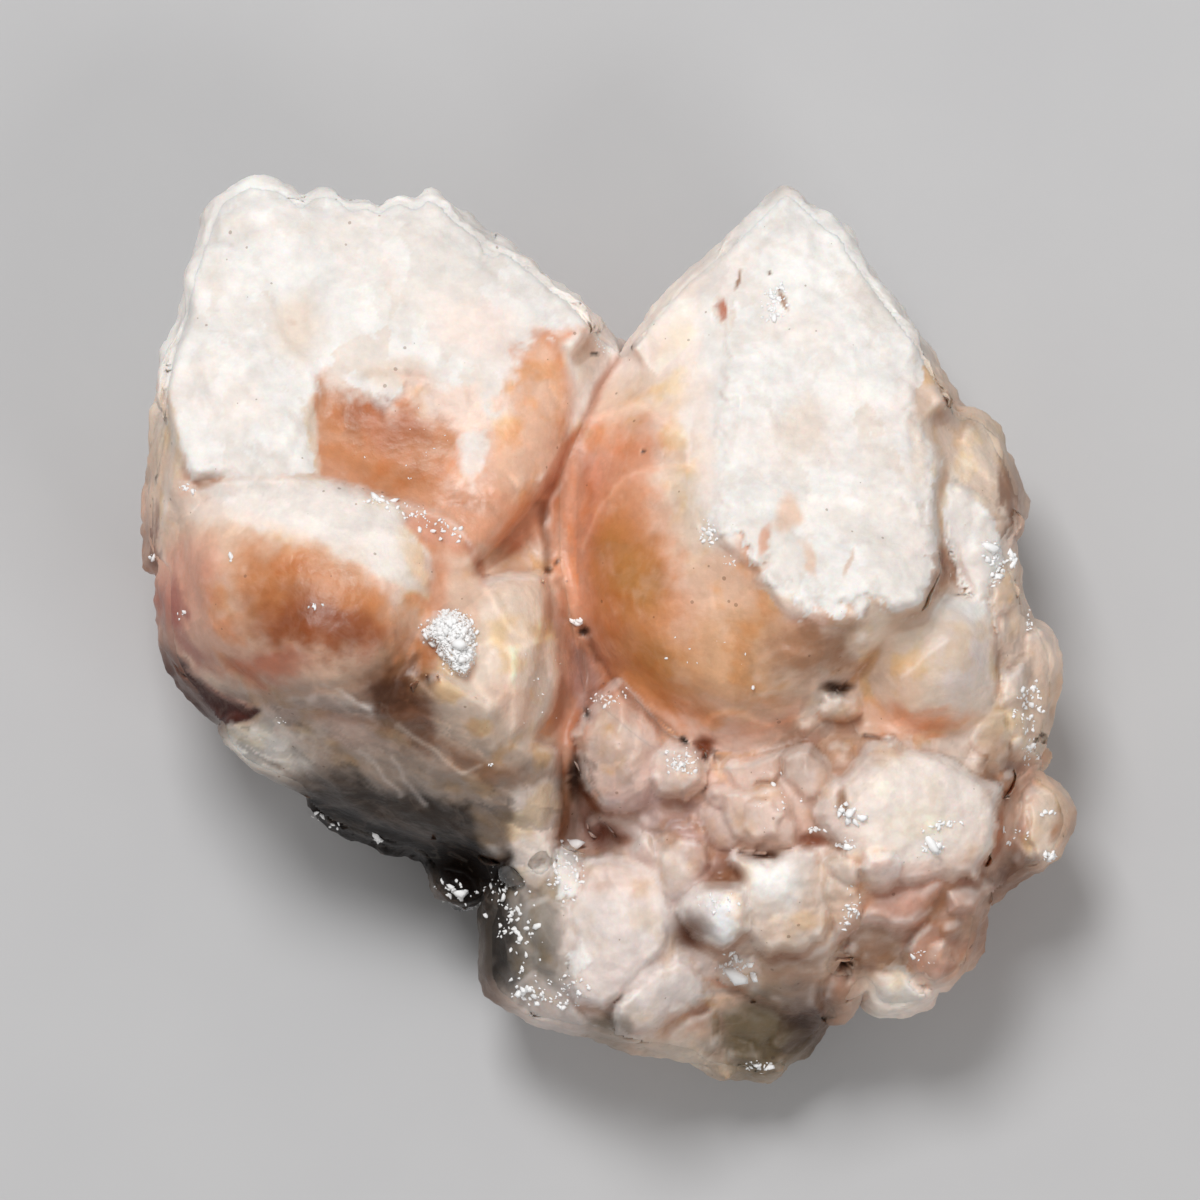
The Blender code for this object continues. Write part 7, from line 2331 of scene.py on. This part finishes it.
BLOCKS = [
    # Right side of the specimen, from the top down
    Block("tan lump", [(936, 412), (960, 404), (985, 414), (1002, 436), (1012, 458), (1016, 490),
        (1004, 522), (980, 520), (962, 488), (945, 455)], 1.2, Tone.TAN, Tone.BROWN_TAN, 0.3),
    Block("grey-tan block", [(987, 577), (1004, 568), (1014, 578), (1016, 598), (1004, 610), (993, 617),
        (986, 600)], 0.9, Tone.CREAM, Tone.TAN, 0.4, 4),
    Block("block beside the egg", [(993, 618), (1004, 604), (1020, 598), (1030, 616), (1026, 642),
        (1018, 663), (998, 667)], 1.1, Tone.CREAM, Tone.TAN, 0.5, 4),
    Block("right block", [(1025, 632), (1044, 629), (1057, 652), (1056, 686), (1052, 728), (1043, 741),
        (1026, 734), (1021, 705), (1017, 684), (1024, 656)], 1.2, Tone.TAN, Tone.BROWN_TAN, 0.4, 4),
    Block("white facet", [(1002, 675), (1018, 670), (1020, 698), (999, 704)], 0.6, Tone.FROST, Tone.CREAM,
        0.8, 4),
    Block("crumb by the facet", [(1004, 712), (1020, 706), (1030, 722), (1022, 742), (1006, 740)], 0.7,
        Tone.CREAM, Tone.TAN, 0.4, 5),
    Block("crumb below it", [(1024, 742), (1038, 738), (1042, 752), (1034, 768), (1020, 762)], 0.6,
        Tone.CREAM, Tone.BROWN_TAN, 0.4, 5),
    Block("pale ground by the egg", [(985, 706), (1002, 708), (1010, 740), (1000, 775), (978, 768),
        (966, 742)], 0.8, Tone.CREAM, Tone.TAN, 0.3, 5),
    Block("corner crystal", [(1031, 790), (1054, 781), (1068, 795), (1075, 816), (1071, 836), (1058, 852),
        (1046, 859), (1034, 851), (1027, 828), (1026, 806)], 1.3, Tone.CREAM, Tone.TAN, 0.5, 4),
    Block("crystal left of the corner", [(1004, 806), (1022, 802), (1030, 830), (1034, 856), (1016, 868),
        (1000, 862), (998, 832)], 0.7, Tone.TAN, Tone.BROWN_TAN, 0.3, 5),
    # Round the egg
    Block("small white ball", [(817, 706), (824, 696), (836, 692), (850, 698), (857, 708), (849, 720),
        (834, 721), (821, 715)], 0.9, Tone.PINK_FROST, Tone.PALE_PEACH, 0.9, 6, frost=0.8),
    Block("block left of the slit", [(797, 718), (807, 712), (818, 718), (818, 734), (806, 742),
        (796, 734)], 0.7, Tone.PALE_PEACH, Tone.ROSE_BLOCK, 0.6, 5),
    Block("crumb under the small ball", [(822, 722), (838, 724), (852, 730), (855, 742), (842, 748),
        (826, 742)], 0.6, Tone.PALE_PEACH, Tone.BROWN_TAN, 0.2, 4),
    Block("tan block", [(822, 744), (838, 738), (854, 746), (855, 764), (842, 778), (826, 770)], 0.9,
        Tone.PALE_PEACH, Tone.ROSE_BLOCK, 0.5, 5),
    Block("white triangle block", [(780, 757), (793, 750), (807, 748), (822, 757), (831, 770), (829, 790),
        (815, 799), (802, 798), (790, 789), (779, 779)], 1.1, Tone.FROST, Tone.PINK_FROST, 0.8, 5,
        frost=0.8),
    Block("peach block", [(723, 765), (736, 755), (750, 757), (766, 751), (780, 752), (781, 772),
        (772, 784), (757, 782), (745, 791), (730, 781)], 1.0, Tone.PINK_FROST, Tone.RUBBLE, 0.6, 5),
    # The pink ball and its neighbours
    Block("pink ball", [(579, 732), (590, 713), (605, 700), (620, 688), (634, 699), (650, 720),
        (662, 740), (655, 762), (656, 782), (646, 797), (622, 803), (604, 799), (591, 786), (582, 760)],
        2.6, Tone.DOME, Tone.RUBBLE_MAUVE, 0.3, 7, shift=(0.05, 0.2)),
    Block("frosted ball", [(654, 750), (668, 741), (684, 743), (698, 752), (704, 767), (700, 781),
        (684, 794), (664, 791), (652, 775)], 1.5, Tone.FROST, Tone.PINK_FROST, 1.0, 7, frost=0.9,
        rough=0.22),
    Block("knob under the balls", [(702, 789), (709, 781), (728, 781), (737, 792), (727, 807),
        (711, 811)], 0.8, Tone.RUBBLE, Tone.RUBBLE_MAUVE, 0.4, 5),
    Block("mauve slope", [(628, 806), (650, 794), (680, 796), (700, 806), (694, 824), (668, 834),
        (640, 830)], 0.8, Tone.RUBBLE_MAUVE, Tone.HOLLOW_MAUVE, 0.2, 5),
    Block("mauve knob", [(589, 822), (596, 814), (604, 820), (605, 832), (597, 839), (589, 833)], 0.6,
        Tone.RUBBLE, Tone.RUBBLE_MAUVE, 0.5, 5),
    Block("mauve wedge", [(629, 856), (633, 844), (639, 833), (649, 836), (656, 855), (652, 864)], 0.6,
        Tone.RUBBLE, Tone.RUBBLE_MAUVE, 0.4, 4),
    Block("grey-pink facet", [(657, 856), (675, 836), (690, 838), (703, 844), (711, 861), (697, 885),
        (682, 899), (669, 901), (661, 879)], 1.0, Tone.PINK_FROST, Tone.RUBBLE_MAUVE, 0.7, 4),
    Block("left lobe of the pink block", [(700, 808), (716, 803), (734, 814), (738, 834), (728, 847),
        (712, 845), (703, 830)], 0.9, Tone.PINK_FROST, Tone.RUBBLE, 0.5, 5),
    Block("broad pink block", [(722, 790), (745, 788), (773, 784), (788, 796), (795, 822), (793, 842),
        (776, 850), (752, 848), (732, 840), (724, 815)], 1.5, Tone.TAN, Tone.ROSE_BLOCK, 0.8, 6,
        lean=(0.05, 0.15)),
    Block("second lobe of the pink block", [(742, 800), (770, 796), (782, 812), (776, 834), (752, 838),
        (740, 822)], 0.7, Tone.PINK_FROST, Tone.RUBBLE, 1.6, 5),
    Block("tan rubble by the orange pit", [(788, 800), (806, 802), (822, 812), (824, 826), (808, 832),
        (792, 822)], 0.6, Tone.PALE_PEACH, Tone.DEEP_AMBER, 0.2, 5),
    # The white-topped block and what hangs below it
    Block("white-topped block", [(853, 758), (867, 746), (888, 742), (897, 749), (924, 757), (953, 767),
        (974, 776), (990, 794), (989, 818), (985, 850), (972, 872), (940, 872), (905, 880), (870, 884),
        (850, 872), (842, 845), (826, 830), (816, 810), (826, 786), (842, 772)], 3.0, Tone.FROST,
        Tone.PINK_FROST, 0.7, 6, frost=0.8, rough=0.10, shift=(-0.15, 0.15)),
    Block("white lump", [(861, 862), (872, 850), (890, 850), (902, 860), (900, 876), (884, 886),
        (868, 882)], 1.0, Tone.SNOW, Tone.PINK_FROST, 2.0, 5, frost=0.9),
    Block("white knob", [(827, 862), (836, 852), (850, 852), (858, 864), (854, 878), (840, 882),
        (829, 874)], 0.9, Tone.FROST, Tone.PINK_FROST, 1.3, 6, frost=0.8),
    Block("narrow ribbed block", [(826, 872), (844, 872), (857, 880), (860, 898), (849, 926), (837, 938),
        (827, 920), (823, 896)], 1.0, Tone.CREAM, Tone.ROSE_BLOCK, 0.7, 5, rough=0.2),
    Block("rose facet", [(859, 889), (882, 888), (912, 880), (926, 856), (942, 856), (949, 869),
        (941, 886), (930, 906), (916, 919), (890, 921), (862, 916)], 0.8, Tone.ROSE_BLOCK, Tone.ROSE, 1.0,
        4, lean=(0.0, -0.25)),
    Block("pink right end", [(930, 906), (941, 886), (958, 874), (976, 872), (984, 886), (981, 912),
        (974, 948), (970, 968), (950, 984), (934, 991), (914, 970), (904, 944), (914, 922)], 1.6,
        Tone.ROSE_BLOCK, Tone.BROWN_TAN, 0.6, 5, shift=(-0.1, 0.15)),
    Block("pink brow", [(944, 884), (962, 872), (980, 872), (984, 892), (972, 904), (950, 904)], 0.7,
        Tone.PINK_FROST, Tone.ROSE_BLOCK, 1.9, 5),
    Block("prism", [(906, 944), (924, 938), (942, 944), (946, 964), (934, 990), (916, 972)], 1.1,
        Tone.PALE_PEACH, Tone.ROSE_BLOCK, 1.2, 3),
    Block("brown facet", [(846, 924), (862, 919), (890, 922), (914, 921), (902, 936), (905, 966),
        (884, 968), (860, 960), (846, 946)], 0.5, Tone.BROWN_TAN, Tone.BROWN, 0.3, 4, lean=(0.0, -0.3)),
    Block("almond", [(856, 990), (864, 977), (880, 974), (897, 969), (912, 981), (930, 993), (924, 1008),
        (902, 1016), (880, 1016), (864, 1007)], 1.4, Tone.FROST, Tone.TAN, 0.8, 4, shift=(0.1, 0.2)),
    Block("upper ball lobe", [(820, 984), (828, 973), (842, 969), (855, 976), (858, 992), (850, 1006),
        (834, 1008), (820, 1000)], 1.2, Tone.ROSE_BLOCK, Tone.BROWN_TAN, 0.5, 6),
    Block("lower ball lobe", [(826, 1004), (840, 998), (853, 1004), (847, 1015), (836, 1023),
        (827, 1015)], 0.6, Tone.ROSE_BLOCK, Tone.BROWN_TAN, 0.3, 5),
    # The beige block, the pointer and the knob
    Block("beige block", [(737, 868), (732, 855), (749, 855), (764, 863), (780, 854), (795, 846),
        (813, 848), (818, 866), (825, 906), (820, 936), (800, 946), (770, 948), (746, 930), (740, 895)],
        2.0, Tone.SNOW, Tone.CREAM, 0.9, 6, frost=0.6, lean=(0.0, 0.0), shift=(0.0, 0.2), rough=0.14),
    # This block is the beige block's lower side; its browns are painted shade, as it faces away from the
    # light.
    Block("beige block's foot in painted shade", [(748, 940), (790, 930), (822, 934), (828, 960), (816, 984),
        (815, 1006), (798, 1011), (780, 1008), (768, 998), (750, 994), (742, 980), (758, 962)], 1.4,
        Tone.TAN, Tone.BROWN, 0.5, 5, lean=(0.0, -0.1)),
    Block("pointer", [(681, 908), (685, 900), (694, 892), (706, 888), (724, 886), (741, 890), (745, 908),
        (743, 926), (731, 935), (722, 942), (710, 934), (698, 928), (685, 917)], 1.5, Tone.SNOW,
        Tone.FROST, 1.8, 5, frost=0.8, rough=0.16),
    Block("flecked knob", [(716, 962), (726, 954), (742, 950), (758, 950), (762, 968), (748, 978),
        (734, 988), (722, 986), (714, 974)], 1.0, Tone.DOME, Tone.RUBBLE, 0.7, 6),
    # The bottom lump
    Block("pale dome", [(576, 890), (588, 866), (612, 856), (640, 862), (658, 880), (668, 905),
        (666, 935), (652, 958), (632, 984), (604, 1000), (580, 996), (566, 975), (578, 940), (570, 912)],
        2.2, Tone.FROST, Tone.DOME, 0.4, 7, frost=0.7, shift=(0.1, 0.1)),
    Block("white lobe", [(618, 1018), (620, 1002), (630, 990), (640, 982), (658, 968), (677, 959),
        (690, 966), (700, 978), (708, 992), (695, 1003), (676, 1000), (665, 1018), (650, 1032),
        (632, 1033), (622, 1026)], 1.0, Tone.FROST, Tone.DOME, 0.9, 5, frost=0.7),
    Block("grey block of the flank", [(525, 900), (548, 892), (566, 905), (566, 940), (556, 970),
        (534, 966), (524, 935)], 0.9, Tone.DOME_GREY, Tone.SMOKY_DARK, 0.3, 5),
    Block("pale top of the flank", [(513, 846), (530, 838), (552, 842), (556, 866), (556, 892),
        (540, 898), (524, 884), (513, 866)], 0.9, Tone.SMOKY_LIGHT, Tone.SMOKY, 0.4, 5),
    Block("foot of the flank", [(512, 985), (530, 972), (556, 980), (580, 1002), (586, 1022), (560, 1030),
        (530, 1016)], 0.9, Tone.DOME, Tone.DOME_GREY, 0.3, 5),
    Block("beige foot", [(645, 1030), (665, 1018), (690, 1008), (712, 1012), (716, 1040), (700, 1058),
        (672, 1050)], 0.8, Tone.CREAM, Tone.TAN, 0.3, 5),
    Block("small foot block", [(704, 1036), (716, 1030), (724, 1042), (716, 1056), (704, 1054)], 0.7,
        Tone.CREAM, Tone.OLIVE, 0.3, 4),
    Block("olive lump", [(722, 1008), (748, 1000), (776, 1008), (780, 1034), (756, 1046), (728, 1038)],
        0.8, Tone.OLIVE_LIGHT, Tone.OLIVE, 0.2, 5),
    # This lump lies in painted shadow: its deep browns stand for shade.
    Block("lump in painted shadow past the olive", [(782, 1012), (806, 1012), (822, 1024), (806, 1050), (786, 1056),
        (776, 1036)], 0.8, Tone.DEEP_BROWN, Tone.DARK_BROWN, 0.2, 5),
    # The heap under the snowy tuft and the peach blocks beside the valley
    Block("snowy heap", [(432, 620), (446, 612), (458, 611), (472, 620), (477, 636), (474, 656),
        (468, 672), (456, 670), (444, 656), (436, 640), (424, 634)], 1.5, Tone.SNOW, Tone.SNOW, 0.9, 7,
        frost=1.0, rough=0.34),
]

TUFT = Tuft([(434, 622), (446, 612), (458, 611), (472, 620), (477, 636), (474, 656), (468, 672), (456, 668),
             (444, 656), (438, 640), (428, 632)])

SHARDS = [
    Block("clear shard", [(420, 857), (440, 865), (473, 877), (491, 888), (478, 902), (467, 912),
        (455, 914), (442, 899), (430, 879)], 0.9, Tone.SNOW, Tone.SNOW, 0.8, 4, rough=0.04),
    Block("second clear block", [(497, 867), (507, 864), (516, 867), (529, 884), (514, 888), (499, 881)],
        0.7, Tone.SNOW, Tone.SNOW, 0.7, 4, rough=0.04),
]

# The specks called sparks and sparkles are white bits that stand for glints of light: painted highlights; the
# others are white flakes and crumbs.
SPECKS = [
    Specks("ledge flecks", (428, 522), (42, 12), 60, 0.32, turn=24.0),
    Specks("bright rim chips", (378, 502), (12, 5), 16, 0.4),
    Specks("tuft crumbs", (434, 632), (14, 12), 26, 0.35),
    Specks("tuft's lower crumbs", (458, 668), (12, 8), 16, 0.35),
    Specks("hump sparks", (318, 606), (10, 8), 5, 0.32, turn=20.0),
    Specks("left flank sparks", (184, 620), (8, 12), 6, 0.26),
    Specks("pale streak", (235, 560), (2, 10), 5, 0.22),
    Specks("slope flecks", (283, 718), (10, 4), 6, 0.24),
    Specks("hem flecks", (322, 820), (24, 8), 12, 0.34, turn=30.0),
    Specks("big hem fleck", (378, 838), (5, 4), 6, 0.6),
    Specks("fleck over the shard", (492, 764), (4, 4), 3, 0.3),
    Specks("shard's clouds", (458, 896), (24, 14), 46, 0.42, turn=20.0),
    Specks("flank flecks", (520, 930), (22, 60), 70, 0.42, turn=-6.0),
    Specks("dark flank flecks", (498, 900), (16, 34), 26, 0.36, turn=-10.0),
    Specks("crust's crumbs", (566, 870), (18, 30), 50, 0.4),
    Specks("lower crust's crumbs", (566, 990), (24, 16), 46, 0.4),
    Specks("foot flecks", (528, 994), (16, 10), 30, 0.42),
    Specks("knob flecks", (735, 966), (20, 16), 46, 0.36),
    Specks("sparkles at the foot", (757, 1068), (16, 7), 26, 0.4),
    Specks("fleck in the orange pit", (814, 828), (9, 4), 14, 0.45),
    Specks("white crumbs by the pit", (842, 841), (11, 6), 20, 0.42),
    Specks("crumbs on the block", (932, 846), (13, 7), 22, 0.45),
    Specks("long crumbs on the block", (940, 822), (22, 5), 16, 0.4, turn=-14.0),
    Specks("flake on the block's side", (846, 812), (16, 8), 20, 0.6, turn=38.0),
    Specks("right strip crumbs", (992, 566), (10, 26), 40, 0.42, turn=-16.0),
    Specks("bright top of the strip", (1010, 560), (8, 8), 24, 0.5),
    Specks("edge chips", (1028, 622), (4, 12), 14, 0.36),
    Specks("crumbly strip", (1028, 706), (16, 26), 60, 0.4, turn=14.0),
    Specks("lower crumbly strip", (1030, 752), (10, 14), 26, 0.34, turn=20.0),
    Specks("corner sparks", (1012, 832), (16, 12), 12, 0.34),
    Specks("corner's foot flecks", (1052, 856), (9, 7), 18, 0.4),
    Specks("corner's face sparks", (1048, 812), (8, 6), 4, 0.4),
    Specks("frost sparkles", (707, 534), (10, 14), 34, 0.34, turn=-20.0),
    Specks("lower frost crumbs", (728, 562), (14, 10), 12, 0.28, turn=30.0),
    Specks("white patch at the apex", (773, 306), (13, 20), 46, 0.4, turn=20.0),
    Specks("frosted ball's crumbs", (680, 760), (20, 14), 50, 0.36),
    Specks("valley fleck", (577, 622), (4, 5), 7, 0.36, turn=40.0),
    Specks("ball's top crumbs", (606, 702), (26, 8), 26, 0.26, turn=-30.0),
    Specks("fleck by the black pit", (595, 698), (5, 4), 6, 0.3),
    Specks("pink block flecks", (770, 800), (30, 30), 18, 0.24),
    Specks("ribbed block crumbs", (846, 908), (10, 26), 36, 0.36, turn=14.0),
    Specks("prism's line", (923, 956), (11, 12), 12, 0.26),
    Specks("pointer's crumbs", (716, 900), (22, 12), 20, 0.26),
    Specks("left facet sparks", (604, 348), (14, 8), 10, 0.22, turn=40.0),
    Specks("rim by the slash", (192, 490), (12, 4), 12, 0.3, turn=30.0),
    Specks("sliver's fleck", (155, 557), (3, 6), 6, 0.34),
    Specks("amber sparks", (700, 660), (60, 50), 10, 0.24),
    Specks("peach sparks", (420, 440), (60, 40), 12, 0.2),
    Specks("plate sparks", (530, 690), (30, 60), 10, 0.2),
]


@dataclass
class Studio:
    """The plain pale floor, the soft lights and the camera over the specimen.

    Attributes:
        lens_mm: the camera's long lens, which keeps the view straight down nearly parallel.
        sensor_mm: the width of its sensor.
        focus_height: height in millimetres where the photograph's scale holds.
    """

    lens_mm: float = 500.0
    sensor_mm: float = 36.0
    focus_height: float = 20.0

    def camera(self) -> None:
        """Hangs the camera straight over the photograph's middle, at the distance that fits its width."""
        view_mm = PHOTO_SIDE / PIXELS_PER_MM
        middle = to_millimetres([MIDDLE_PIXEL])[0]
        data = bpy.data.cameras.new("camera")
        data.lens = self.lens_mm
        data.sensor_width = self.sensor_mm
        data.clip_end = 50.0
        camera = bpy.data.objects.new("camera", data)
        height = self.focus_height + view_mm * self.lens_mm / self.sensor_mm
        camera.location = (middle[0] * MM, middle[1] * MM, height * MM)
        bpy.context.scene.collection.objects.link(camera)
        bpy.context.scene.camera = camera

    def floor(self) -> None:
        """A wide pale floor with a faint grain."""
        shape = bmesh.new()
        bmesh.ops.create_grid(shape, x_segments=1, y_segments=1, size=6.0)
        mesh = bpy.data.meshes.new("floor")
        shape.to_mesh(mesh)
        shape.free()
        material = bpy.data.materials.new("pale_floor")
        material.use_nodes = True
        nodes, links = material.node_tree.nodes, material.node_tree.links
        shader = nodes["Principled BSDF"]
        shader.inputs["Roughness"].default_value = 0.7
        place = add_node(nodes, "ShaderNodeTexCoord")
        grain = add_node(nodes, "ShaderNodeTexNoise", {"Scale": 60.0})
        links.new(place.outputs["Object"], grain.inputs["Vector"])
        pale = add_node(
            nodes, "ShaderNodeMix",
            {"A": (0.50, 0.50, 0.51, 1.0), "B": (0.53, 0.53, 0.535, 1.0)},
            data_type="RGBA",
        )
        links.new(grain.outputs["Fac"], pale.inputs["Factor"])
        links.new(pale.outputs["Result"], shader.inputs["Base Color"])
        mesh.materials.append(material)
        floor = bpy.data.objects.new("floor", mesh)
        bpy.context.scene.collection.objects.link(floor)

    def lamp(self, name: str, place: tuple[float, float, float], size: float, power: float) -> None:
        """A square soft light that faces the specimen.

        Args:
            name: the light's name.
            place: where it hangs, in metres.
            size: its side in metres.
            power: its power in watts.
        """
        data = bpy.data.lights.new(name, "AREA")
        data.shape = "SQUARE"
        data.size = size
        data.energy = power
        light = bpy.data.objects.new(name, data)
        light.location = place
        aim = Vector((0.0, 0.0, 0.02)) - Vector(place)
        light.rotation_euler = aim.to_track_quat("-Z", "Y").to_euler()
        bpy.context.scene.collection.objects.link(light)

    def build(self) -> None:
        """Sets up floor, lights, surroundings and camera."""
        self.floor()
        self.camera()
        self.lamp("key", (-0.24, 0.66, 1.30), 0.42, 14.2)
        self.lamp("side", (0.75, -0.75, 1.0), 0.60, 4.0)
        world = bpy.data.worlds.new("surroundings")
        world.use_nodes = True
        sky = world.node_tree.nodes["Background"]
        sky.inputs["Color"].default_value = (1.0, 0.98, 0.96, 1.0)
        sky.inputs["Strength"].default_value = 0.36
        bpy.context.scene.world = world
        bpy.context.scene.view_settings.view_transform = "Standard"
        LOG.info("studio: floor, two soft lights and camera")


def main() -> None:
    """Builds the specimen's looks piece by piece."""
    logging.basicConfig(level=logging.INFO, format="%(name)s: %(message)s")
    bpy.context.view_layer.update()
    Studio().build()
    stone = StoneFinish("waxy_calcite", 0.45, 1.1, grain=0.07, mottle=0.07, veils=0.06, gloss=0.3).build()
    frost = StoneFinish(
        "calcite_frost", 0.0, 0.5, grain=0.05, mottle=0.02, veils=0.0, gloss=0.25, specks=0.0
    ).build()
    clear = ClearFinish("clear_calcite", tint=(0.55, 0.55, 0.56), fade_mm=3.0).build()
    relief = Relief()
    relief.project(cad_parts[NODE].data)
    face = Face(relief)
    face.shape()
    face.sheets(stone)
    Skin().build(relief, stone)
    TUFT.build(relief, frost)
    ground = relief.soft(relief.height, 1.0)
    shards = Shell("clear_shards")
    for number, shard in enumerate(SHARDS):
        shard.add_to(shards, relief, ground, 60 + number)
    shards.build(clear)
    # The white bits are flakes and crumbs, and also painted highlights where they stand for glints.
    flecks = Shell("white_flecks_and_painted_glints")
    for number, specks in enumerate(SPECKS):
        specks.add_to(flecks, relief, 500 + number)
    flecks.build(frost)


if __name__ == "__main__":
    main()
